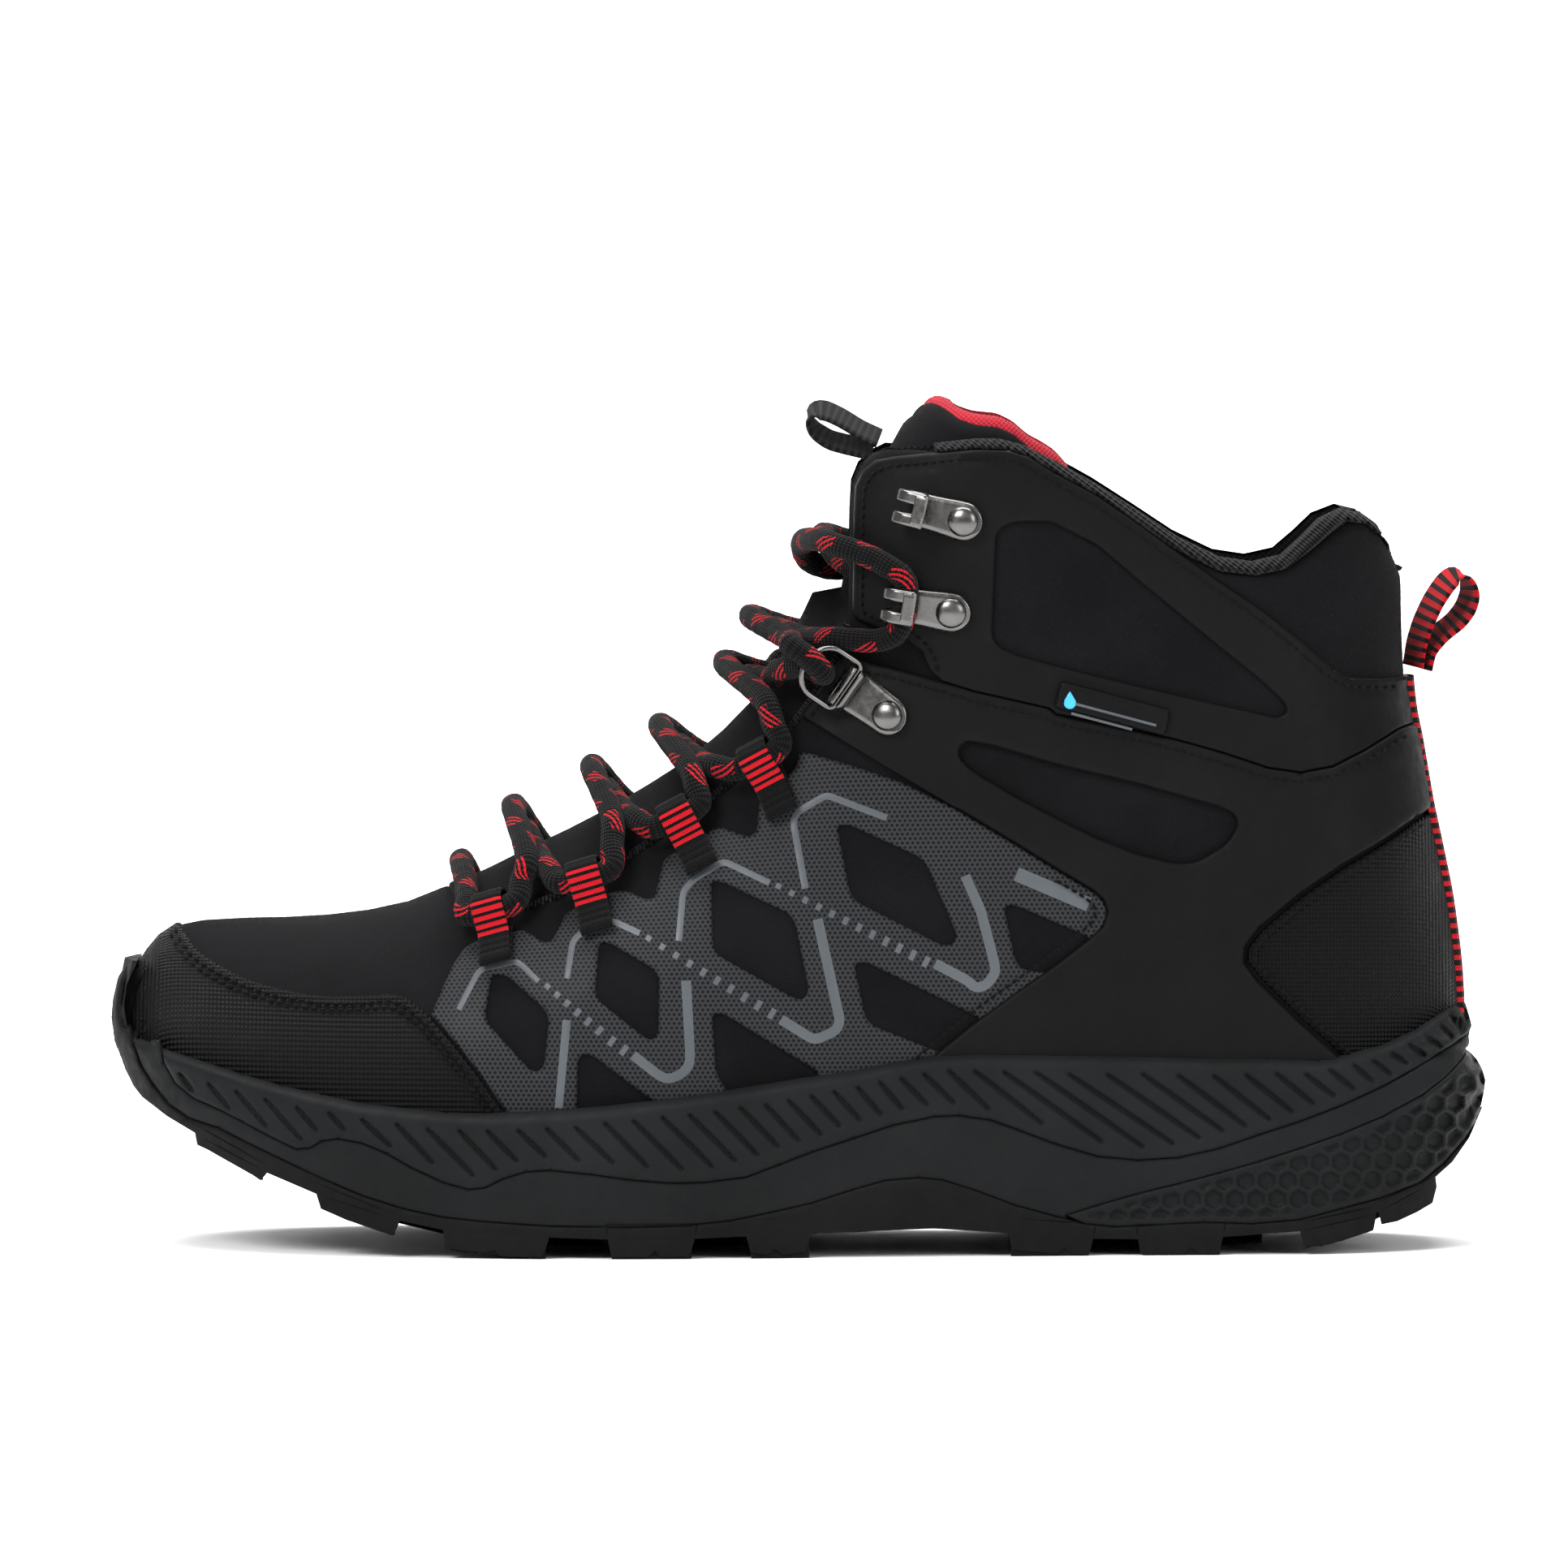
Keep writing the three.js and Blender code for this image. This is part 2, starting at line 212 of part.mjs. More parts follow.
// The whole foot form moved out by o, its underside lowered by drop.
function form(o, { drop = 0, tongue = false } = {}) {
  const front = tongue ? L.CF : CF_Q, sF = polyLength(front), nF = normals(front);
  const sB = polyLength(L.CB), nB = normals(L.CB).map(([a, b]) => [-a, -b]);
  const fs = L.RIBF.map((p) => nearestS(L.CF, polyLength(L.CF), p)).map((v) => {
    // the same fraction of each segment on the moved line
    const s0 = polyLength(L.CF);
    let i = 1;
    while (i < s0.length - 1 && v > s0[i]) i++;
    return sF[i - 1] + ((v - s0[i - 1]) / (s0[i] - s0[i - 1])) * (sF[i] - sF[i - 1]);
  });
  const bs = L.RIBB.map((p) => nearestS(L.CB, sB, p));
  const ribs = [];
  const normalAt = (line, s, n, v) => {
    let i = 1;
    while (i < s.length - 1 && v > s[i]) i++;
    const t = (v - s[i - 1]) / (s[i] - s[i - 1]);
    const a = n[i - 1][0] + t * (n[i][0] - n[i - 1][0]), b = n[i - 1][1] + t * (n[i][1] - n[i - 1][1]), l = Math.hypot(a, b);
    return [a / l, b / l];
  };
  for (let k = 0; k < fs.length - 1; k++)
    for (let j = 0; j < SPLIT[k] + (k === fs.length - 2 ? 1 : 0); j++) {
      const t = j / SPLIT[k], vf = fs[k] + t * (fs[k + 1] - fs[k]), vb = bs[k] + t * (bs[k + 1] - bs[k]);
      const F = polyAt(front, sF, vf), n = normalAt(front, sF, nF, vf), B = polyAt(L.CB, sB, vb), m = normalAt(L.CB, sB, nB, vb);
      const back = smooth(32.4, 37, B[1]);
      ribs.push([[F[0] + n[0] * o, F[1] + n[1] * o], [B[0] + back * o * m[0], B[1] + back * o * m[1] - (1 - back) * drop]]);
    }
  const pos = [], ring = 2 * (ACROSS + 1);
  for (const [F, B] of ribs)
    for (const side of [-1, 1])
      for (let j = 0; j <= ACROSS; j++) {
        const jj = side < 0 ? j : ACROSS - j, s = (1 - Math.cos((Math.PI * jj) / ACROSS)) / 2;
        const x = F[0] + s * (B[0] - F[0]), z = F[1] + s * (B[1] - F[1]);
        pos.push(x, centre(x) + side * Math.max(0.6, halfWidth(x, z, side, o, tongue)), z);
      }
  const idx = [], R = ribs.length;
  for (let i = 0; i < R - 1; i++)
    for (let j = 0; j < ring; j++) {
      const a = i * ring + j, b = i * ring + ((j + 1) % ring), c = a + ring, d = b + ring;
      idx.push(a, c, b, b, c, d);
    }
  for (const [base, flip] of [[0, false], [(R - 1) * ring, true]])
    for (let j = 0; j < ACROSS; j++) {
      const a = base + j, b = base + j + 1, c = base + ring - 1 - j, d = base + ring - 2 - j;
      const q = [a, b, c, b, d, c];
      for (let k = 0; k < 6; k += 3) idx.push(...(flip ? [q[k], q[k + 2], q[k + 1]] : [q[k], q[k + 1], q[k + 2]]));
    }
  const g = new THREE.BufferGeometry().setAttribute("position", new THREE.Float32BufferAttribute(pos, 3)).setIndex(idx);
  return toSolid(g);
}
// A side-view outline carried across from y0 to y1.
function across(outline, y0, y1, holes = []) {
  const pts = outline.filter((p, i) => {
    const q = outline[(i + outline.length - 1) % outline.length];
    return Math.hypot(p[0] - q[0], p[1] - q[1]) > 0.05;
  });
  const shape = new THREE.Shape(pts.map(([x, z], i) => new THREE.Vector2(x + 0.004 * Math.sin(i * 12.9), z + 0.004 * Math.cos(i * 7.7))));
  const g = new THREE.ExtrudeGeometry(shape, { depth: y1 - y0, bevelEnabled: false, steps: 1 });
  g.rotateX(Math.PI / 2).translate(0, y1, 0);
  const s = toSolid(g);
  return holes.length ? s.subtract(join(holes.map((h) => across(h, y0 - 1, y1 + 1)))) : s;
}
// A plan outline carried up from z0 to z1.
function upright(outline, z0, z1) {
  const g = new THREE.ExtrudeGeometry(new THREE.Shape(outline.map(([x, y]) => new THREE.Vector2(x, y))), { depth: z1 - z0, bevelEnabled: false, steps: 1 });
  g.translate(0, 0, z0);
  return toSolid(g);
}
// drops outline points that lie within tol of the line through their neighbours
function thin(line, tol = 0.3) {
  if (line.length < 3) return line;
  const [ax, az] = line[0], [bx, bz] = line[line.length - 1], l = Math.hypot(bx - ax, bz - az) || 1e-9;
  let far = 0, at = 0;
  for (let i = 1; i < line.length - 1; i++) {
    const d = Math.hypot(bx - ax, bz - az) < 1e-6 ? Math.hypot(line[i][0] - ax, line[i][1] - az) : Math.abs((line[i][0] - ax) * (bz - az) - (line[i][1] - az) * (bx - ax)) / l;
    if (d > far) { far = d; at = i; }
  }
  if (far <= tol) return [line[0], line[line.length - 1]];
  return [...thin(line.slice(0, at + 1), tol).slice(0, -1), ...thin(line.slice(at), tol)];
}
for (const k of ["MIDTOP", "PART", "HEXTOP", "OUTLINE", "GROUND", "LUGBASE", "THROAT", "FLAP", "COLLAR", "KNIT", "TOECAP", "FILM", "FILM2", "ANKLE", "ANKLE2", "EYEFRONT", "EYETOP", "HEELPATCH", "TONGUETOP"]) L[k] = thin(L[k], 0.35);
for (const k of ["W1", "W2", "W3", "W4", "W5", "W6", "W7", "W8", "ANKLEWIN", "EYEWIN"]) L[k] = thin([...L[k], L[k][0]], 0.5).slice(0, -1);
const up = (line, dz) => line.map(([x, z]) => [x, z + dz]);
const rev = (line) => line.slice().reverse();
const between = (line, a, b) => line.filter(([x]) => x > a && x < b);
const shifted = (line, dx, dz) => line.map(([x, z]) => [x + dx, z + dz]);

// ---- layers of the upper ----
const quarterArea = (grow) => [
  [-200, -10], [-200, 100], ...shifted(L.THROAT, -grow, grow), ...shifted(L.FLAP, -grow, 0), ...up(between(L.KNIT, 25, 200), grow), [200, 146], [200, -10],
];
const F = {};
const DEEP = 6; // every layer runs this far past the feather line before it is trimmed there
const formAt = (o) => (F[o] ??= form(o, { drop: DEEP }));
const featherLine = L.CB.slice(0, 19);
const aboveFeather = (d) => across([[-200, 260], [-200, featherLine[0][1] + d], ...up(featherLine, d), [200, featherLine.at(-1)[1] + d], [200, 260]], -95, 95);
const trimmed = aboveFeather(0);
const layer = ([a, b]) => formAt(b).subtract(formAt(a)).intersect(trimmed);
const quarters = across(quarterArea(0), -90, 90);
const lining = layer(LINING).intersect(quarters);
const softshell = layer(SHELL).intersect(quarters);
const stiff = layer(STIFFENER);
const toePuff = stiff.intersect(across([[-134, 0], [-134, 47], [-200, 47], [-200, 90], [-108, 90], [-100, 60], [-92, 10]], -90, 90));
const heelCounter = stiff.intersect(across([[84, 0], [92, 50], [112, 76], [126, 84], [200, 84], [200, 0]], -90, 90));
const collarFoam = stiff.intersect(across([[30, 110], [50, 95], [80, 92], [112, 88], [200, 88], [200, 138], ...rev(up(between(L.KNIT, 44, 200), -3))], -90, 90));
const collarBand = formAt(0.6).subtract(formAt(-6.7)).intersect(
  across([...up(between(L.KNIT, 25, 200), 0.35), [200, 147], [200, 152], ...rev(between(L.COLLAR, 20, 135))], -90, 90));

const over = layer(OVERLAY);
const toeCapLine = L.TOECAP;
const toeCap = over.intersect(across([[-200, -10], [-200, 110], [-136, 110], ...toeCapLine, [-58, -10]], -90, 90));
const filmArea = [...L.FILM, ...L.FILM2.map(([x, z]) => (z > 75 ? [x - 0.45, z - 0.45] : z > 72 ? [x - 0.7, z] : [x - 0.45, z + 0.5])), [20, 10], [-57.5, 5], ...rev(shifted(between(toeCapLine, -81, 0), 1.2, 0))];
const filmHoles = join([L.W1, L.W2, L.W3, L.W4, L.W5, L.W6, L.W7, L.W8].map((w) => across(w, -90, 90)));
const ankleArea = [...L.ANKLE, [200, 113], [200, 99.5], ...L.ANKLE2.map(([x, z]) => [x - 0.5, z]), [123, 20], [20, 20], ...rev(L.FILM2)];
const heelArea = [...L.HEELPATCH, [126, 10], [200, 10], [200, 94.5]];
const eyeArea = [...L.EYEFRONT.slice(1), ...L.EYETOP, [200, 124], [200, 114.4], ...rev(up(between(L.ANKLE, 30, 135), 0.6))];
const heelPatch = over.intersect(across(heelArea, -90, 90));
const toeCapKeep = across([[-200, -10], [-200, 110], [-136, 110], ...shifted(toeCapLine, 0.4, 0.2), [-57.6, -10]], -90, 90);
const overlays = {};
for (const [side, y0, y1] of [["lateral", -90, -1.2], ["medial", 1.2, 90]]) {
  overlays["cage_film_" + side] = over.intersect(across(filmArea, side === "medial" ? 3 : -90, y1)).subtract(filmHoles).subtract(toeCapKeep);
  overlays["ankle_overlay_" + side] = over.intersect(across(ankleArea, y0, y1, [L.ANKLEWIN]));
  overlays["eyestay_overlay_" + side] = over.intersect(across(eyeArea, y0, y1, [L.EYEWIN]));
}
const trim = layer(TRIM);
const backstay = trim.intersect(across([[100, 55.6], [200, 55.6], [200, 124], [100, 124]], -9, 9));
const label = trim.intersect(across(L.LABEL, -90, 0));

// ---- tongue ----
const T = {};
const tongueForm = (o) => (T[o] ??= form(o, { tongue: true }));
const keepOut = formAt(2.2).subtract(formAt(-7.2)).intersect(across(quarterArea(0.5), -90, 90));
const tongueArea = [[-60, 100], [-74.4, 78.9], ...shifted(between(L.THROAT, -73, 200), -0.6, 0.4), [12, 136], [36, 138], [50, 147], [56, 157.2], [-40, 157.2]];
const tongueLow = across(tongueArea, -90, 90);
const topOut = L.TONGUETOP;
const tongueHigh = join([
  across([[-20, 158.6], [40, 158.6], [40, 178], [-20, 178]], -12, 12),
  across([[-20, 177.2], [17.5, 177.2], ...up(between(L.COLLAR, 25, 57), 1.6), ...rev(between(topOut, 0, 58.5)), [-20, 183.6]], -90, 90),
]);
const tongueShell = tongueForm(0).subtract(tongueForm(-1.6));
const tonguePad = tongueForm(-2.4).subtract(tongueForm(-TONGUE_T));
const tongueLowSolid = largest(tongueShell.intersect(tongueLow).subtract(keepOut));
const tonguePadSolid = largest(tonguePad.intersect(tongueLow).subtract(keepOut));
const topPiece = tongueHigh.subtract(keepOut);
const tongueTop = largest(tongueShell.intersect(topPiece));
const tongueTopLining = largest(tonguePad.intersect(topPiece));

// ---- sole unit ----
const SOLE_TOE = rev(L.TOETIP).map(([x, z]) => [z, x]);
const SOLE_HEEL = rev(L.HEELTIP).map(([x, z]) => [z, x]);
const soleToe = (z) => (z < SOLE_TOE[0][0] ? SOLE_TOE[0][1] + (SOLE_TOE[0][0] - z) * 0.5 : linear(SOLE_TOE, z));
const soleHeel = (z) => (z < SOLE_HEEL[0][0] ? SOLE_HEEL[0][1] - (SOLE_HEEL[0][0] - z) * 0.35 : linear(SOLE_HEEL, z));
function soleHalf(x, z, side, o) {
  const flare = 2.2 * smooth(42, 14, z) - 0.14 * Math.max(0, z - 42);
  const w = table(side < 0 ? W_LAT : W_MED, x) + WALL + flare + o;
  return Math.max(0.6, w * cap((x - soleToe(z) + o) / (TOE_ROUND + o)) * cap((soleHeel(z) + o - x) / (HEEL_ROUND + 3 + o)));
}
function soleForm(o, levels = [-3, 12, 24, 34, 42, 50, 58, 66]) {
  const N = 18, pos = [], ring = 2 * (N + 1);
  for (const z of levels)
    for (const side of [-1, 1])
      for (let j = 0; j <= N; j++) {
        const jj = side < 0 ? j : N - j, s = (1 - Math.cos((Math.PI * jj) / N)) / 2;
        const x0 = soleToe(z) - o, x1 = soleHeel(z) + o, x = x0 + s * (x1 - x0);
        pos.push(x, centre(x) + side * soleHalf(x, z, side, o), z);
      }
  const idx = [], R = levels.length;
  for (let i = 0; i < R - 1; i++)
    for (let j = 0; j < ring; j++) {
      const a = i * ring + j, b = i * ring + ((j + 1) % ring), c = a + ring, d = b + ring;
      idx.push(a, b, c, b, d, c);
    }
  for (const [base, flip] of [[0, true], [(R - 1) * ring, false]])
    for (let j = 0; j < N; j++) {
      const a = base + j, b = base + j + 1, c = base + ring - 1 - j, d = base + ring - 2 - j;
      const q = [a, b, c, b, d, c];
      for (let k = 0; k < 6; k += 3) idx.push(...(flip ? [q[k], q[k + 2], q[k + 1]] : [q[k], q[k + 1], q[k + 2]]));
    }
  return toSolid(new THREE.BufferGeometry().setAttribute("position", new THREE.Float32BufferAttribute(pos, 3)).setIndex(idx));
}
const sole = soleForm(0);
const cupForm = formAt(1.8).intersect(aboveFeather(-BOARD_T - 2 * GAP));
const below = (line, dz = 0, z0 = -20) => [[line[0][0] - 80, z0], [line[0][0] - 80, line[0][1] + dz], ...up(line, dz), [line[line.length - 1][0] + 80, line[line.length - 1][1] + dz], [line[line.length - 1][0] + 80, z0]];
const underTop = across(below(L.MIDTOP), -90, 90);
const underPart = across(below(L.PART, -GAP / 2), -90, 90);
const overPart = across(below(L.PART, GAP / 2), -90, 90);
const outlineDown = (d) => [[-200, -20], [-200, 62], [L.OUTLINE[0][0] + d * 0.5, 62], ...L.OUTLINE.map(([x, z]) => (x < -136 ? [x + d, z + d] : [x, z + d])), [200, L.OUTLINE.at(-1)[1] + d], [200, -20]];
const outAreaIn = across(outlineDown(-GAP / 2), -90, 90);
const outAreaOut = across(outlineDown(GAP / 2), -90, 90);
const core = soleForm(-9, [-3, 15, 38]);
const coreGap = soleForm(-9 + GAP, [-3, 15, 38]);
const hexArea = (g) => [...up(L.HEXTOP, g), [200, 20], [200, -20], [L.HEXTOP[0][0] - g, -20]];
const hexIn = soleForm(-5);
const hexGap = soleForm(-5 - GAP);
const midBody = sole.intersect(underTop).subtract(outAreaOut).subtract(cupForm);
const heelStabilizer = largest(midBody.intersect(across(hexArea(-GAP / 2), -90, 90)).subtract(hexIn));
const hexKeep = across(hexArea(GAP / 2), -90, 90).subtract(hexGap);
const midsoleUpper = largest(midBody.subtract(overPart).subtract(coreGap));
const shankArea = (g) => [[-22 - g, 40], ...up([[-22 - g, linear(L.CB, -22)], ...L.CB.filter(([x]) => x > -22 && x < 88).slice(0, 6), [88 + g, linear(L.CB, 88)]], -4.0 - g), [88 + g, 40]];
const shankPocket = across(shankArea(GAP), -11.3, 11.3);
const midsoleLower = largest(midBody.intersect(underPart.add(core)).subtract(hexKeep).subtract(shankPocket));
const shank = across([[-22, linear(L.CB, -22) - 4], ...up(L.CB.filter(([x]) => x > -22 && x < 88).slice(0, 6), -4), [88, linear(L.CB, 88) - 4], [88, linear(L.CB, 88) - 2.6], ...rev(up(L.CB.filter(([x]) => x > -22 && x < 88).slice(0, 6), -2.6)), [-22, linear(L.CB, -22) - 2.6]], -11, 11);
const board = largest(formAt(1.4).intersect(aboveFeather(-BOARD_T - GAP)).subtract(aboveFeather(-GAP)));
const footbed = largest(formAt(LINING[0] - GAP - FOOTBED_CLEARANCE).intersect(aboveFeather(0)).subtract(aboveFeather(FOOTBED_T)));

// ---- outsole with its lugs ----
const slab = sole.intersect(outAreaIn).subtract(across(below(L.LUGBASE), -90, 90));
const lugDepth = across([[-200, -30], ...[[-200, L.GROUND[0][1]]], ...L.GROUND, [200, L.GROUND.at(-1)[1]], [200, -30]], -90, 90);
const lugBand = sole.intersect(across(below(L.LUGBASE, 0.6), -90, 90)).subtract(lugDepth);
const LUGS = [[-131, -115, 0], [-104, -86.5, 0], [-76.5, -54, 0], [-41, -22.5, 0], [-11, 3, 0], [45, 63.6, 0], [73.5, 92, 0], [108.5, 124.5, 0], [126.2, 138, 0]];
const MIDLUGS = [[-121, -106], [-94, -76], [-64, -46], [-32, -15], [54, 70], [82, 98], [110, 124]];
const lugs = [];
for (const [a, b] of LUGS)
  for (const side of [-1, 1]) {
    const m = (a + b) / 2, w = table(side < 0 ? W_LAT : W_MED, m), c = centre(m), in0 = c + side * w * 0.52, in1 = c + side * w * 0.44;
    lugs.push(upright([[a, c + side * 80], [a + 1.5, in0], [m, in1], [b - 1.5, in0], [b, c + side * 80]], -5, 60));
  }
for (const [a, b] of MIDLUGS) {
  const m = (a + b) / 2, c = centre(m), w = 0.3 * table(W_MED, m);
  lugs.push(upright([[a, c], [a + 5, c - w], [b + 3, c - w * 0.9], [b - 2, c], [b + 3, c + w * 0.9], [a + 5, c + w]], -5, 60));
}
const outsole = largest(slab.add(lugBand.intersect(join(lugs))).subtract(cupForm));

// ---- hardware and soft fittings: local frames on the quarters ----
const S = 300 / 1702;
function spot(x, z, side, o, tongue = false) {
  return new THREE.Vector3(x, centre(x) + side * Math.max(0, halfWidth(x, z, side, o, tongue)), z);
}
function normalAtSpot(x, z, side, o) {
  const h = 0.8, p = spot(x, z, side, o);
  const a = spot(x + h, z, side, o).sub(spot(x - h, z, side, o)), b = spot(x, z + h, side, o).sub(spot(x, z - h, side, o));
  const n = a.cross(b).normalize();
  if (n.y * side < 0) n.negate();
  return n;
}
// A frame whose third axis leaves the surface and whose first axis runs along the side-view
// direction (dx, dz) within the surface.
function frameAt(x, z, side, o, dx, dz) {
  const n = normalAtSpot(x, z, side, o), p = spot(x, z, side, o);
  const h = 1.5, q = spot(x + dx * h, z + dz * h, side, o);
  const u = q.sub(p);
  u.addScaledVector(n, -u.dot(n)).normalize();
  const v = new THREE.Vector3().crossVectors(n, u);
  return new THREE.Matrix4().makeBasis(u, v, n).setPosition(p);
}
const boot = new THREE.Group();
function add(name, geometry, color, roughness, metalness = 0) {
  const m = new THREE.Mesh(geometry, new THREE.MeshStandardMaterial({ color, roughness, metalness, flatShading: true }));
  m.name = name;
  boot.add(m);
  return m;
}
const addSolid = (name, s, ...rest) => add(name, toGeometry(s), ...rest);

const CHARCOAL = 0x1d1c1e, SMOOTH = 0x202021, FOAM = 0x303132, STEEL = 0x8b8e92, RED = 0xc9242c;
addSolid("outsole", outsole, 0x1b1b1c, 0.85);
addSolid("midsole_lower", midsoleLower, FOAM, 0.7);
addSolid("midsole_upper", midsoleUpper, 0x343536, 0.7);
addSolid("heel_stabilizer", heelStabilizer, 0x2b2c2d, 0.6);
addSolid("shank", shank, 0x55575a, 0.4);
addSolid("insole_board", board, 0x6b5f50, 0.9);
addSolid("footbed", footbed, 0x8d2227, 0.9);
addSolid("softshell_upper", largest(softshell), CHARCOAL, 0.9);
addSolid("toe_puff", largest(toePuff), 0x77736a, 0.8);
addSolid("heel_counter", largest(heelCounter), 0x77736a, 0.8);
addSolid("collar_foam", largest(collarFoam), 0x4b4b50, 0.95);
addSolid("collar_band", largest(collarBand), 0x29272a, 0.95);
addSolid("toe_cap", largest(toeCap), 0x1e1e1f, 0.65);
for (const [name, s] of Object.entries(overlays)) addSolid(name, largest(s), name.startsWith("cage") ? 0x3a3b3d : SMOOTH, 0.55);
addSolid("heel_patch", largest(heelPatch), 0x1d1d1e, 0.7);
addSolid("backstay_strap", largest(backstay), 0x1a1a1b, 0.9);
addSolid("side_label", largest(label), 0x151516, 0.6);
addSolid("tongue_top", tongueTop, CHARCOAL, 0.9);
addSolid("tongue_top_lining", tongueTopLining, 0xb5141f, 0.9);

// lace loops: folded webbing, one hole for the lace, and a tail sewn to the film
const LOOPS = [[[594, 1145], [636, 1133]], [[709, 1103], [749, 1091]], [[821, 1033], [861, 1012]], [[925, 957], [962, 937]]];
const mm = ([px, py]) => [(px - 984) * S, (1547.5 - py) * S];
const LOOP_BASE = OVERLAY[1] + GAP, LACE_H = LOOP_BASE + 1.0 + GAP + LACE_R;
function loopGeometry() {
  // section across the lace: the fold in front, the tail behind (first axis runs from fold to tail)
  const r = LACE_R + GAP, R = r + 1.0, s = new THREE.Shape();
  s.moveTo(0, 0);
  s.lineTo(13, 0);
  s.lineTo(13, 1.1);
  s.lineTo(5.2, 1.4);
  s.lineTo(R * Math.cos(0.35), R + R * Math.sin(0.35));
  for (let i = 1; i <= 6; i++) { const a = 0.35 + ((1.5 * Math.PI - 0.35) * i) / 6; s.lineTo(R * Math.cos(a), R + R * Math.sin(a)); }
  const hole = new THREE.Path();
  for (let i = 0; i < 8; i++) { const a = (2 * Math.PI * i) / 8; i ? hole.lineTo((r + 0.42) * Math.cos(a), R + (r + 0.42) * Math.sin(a)) : hole.moveTo(r + 0.42, R); }
  s.holes.push(hole);
  return new THREE.ExtrudeGeometry(s, { depth: LOOP_W - 1.2, bevelEnabled: false, steps: 1 }).translate(0, 0, -(LOOP_W - 1.2) / 2);
}
function placed(g, m) {
  g = g.clone().applyMatrix4(m);
  return toGeometry(toSolid(g));
}
const loopFrames = [];
LOOPS.forEach(([e, x], k) => {
  for (const [side, name] of [[-1, "lateral"], [1, "medial"]]) {
    const a = mm(e), b = mm(x), cx = (a[0] + b[0]) / 2, cz = (a[1] + b[1]) / 2;
    const l = Math.hypot(b[0] - a[0], b[1] - a[1]), dx = (b[0] - a[0]) / l, dz = (b[1] - a[1]) / l;
    const M = frameAt(cx, cz, side, LOOP_BASE, dx, dz);
    // section axes: X away from the throat, Y out of the surface, Z along the lace
    const u = new THREE.Vector3(), v = new THREE.Vector3(), n = new THREE.Vector3();
    M.extractBasis(u, v, n);
    const away = v.clone().multiplyScalar(v.z < 0 ? 1 : -1);
    const p = new THREE.Vector3().setFromMatrixPosition(M);
    const Z = new THREE.Vector3().crossVectors(away, n);
    const B = new THREE.Matrix4().makeBasis(away, n, Z).setPosition(p);
    loopFrames.push({ k, side, B, p: p.clone().addScaledVector(n, 1.0 + GAP + LACE_R), u, n });
    add("lace_loop_" + (k + 1) + "_" + name, placed(loopGeometry(), B), 0x161617, 0.9);
  }
});

// rivets, D-rings and lace hooks
function rivet(r = RIVET_R) {
  const pts = [[0, -0.9], [1.2, -0.9], [1.2, 0], [r, 0], [r * 0.95, 0.7], [r * 0.5, 1.3], [0, 1.4]].map(([x, y]) => new THREE.Vector2(x, y));
  return new THREE.LatheGeometry(pts, 8).rotateX(Math.PI / 2);
}
function roundedPlate(x0, x1, r0, r1, t, hole) {
  const s = new THREE.Shape();
  for (let i = 0; i <= 6; i++) { const a = Math.PI / 2 + (Math.PI * i) / 6; i ? s.lineTo(x0 + r0 * Math.cos(a), r0 * Math.sin(a)) : s.moveTo(x0, r0); }
  s.lineTo(x1, -r1);
  s.lineTo(x1, r1);
  if (hole) {
    const h = new THREE.Path();
    for (let i = 0; i < 10; i++) { const a = (2 * Math.PI * i) / 10; i ? h.lineTo(x0 + 1.55 * Math.cos(a), 1.55 * Math.sin(a)) : h.moveTo(x0 + 1.55, 0); }
    s.holes.push(h);
  }
  return new THREE.ExtrudeGeometry(s, { depth: t, bevelEnabled: false, steps: 1 });
}
const PLATE_T = 0.9, PLATE_BASE = OVERLAY[1] + 0.35;
const hooks = [];
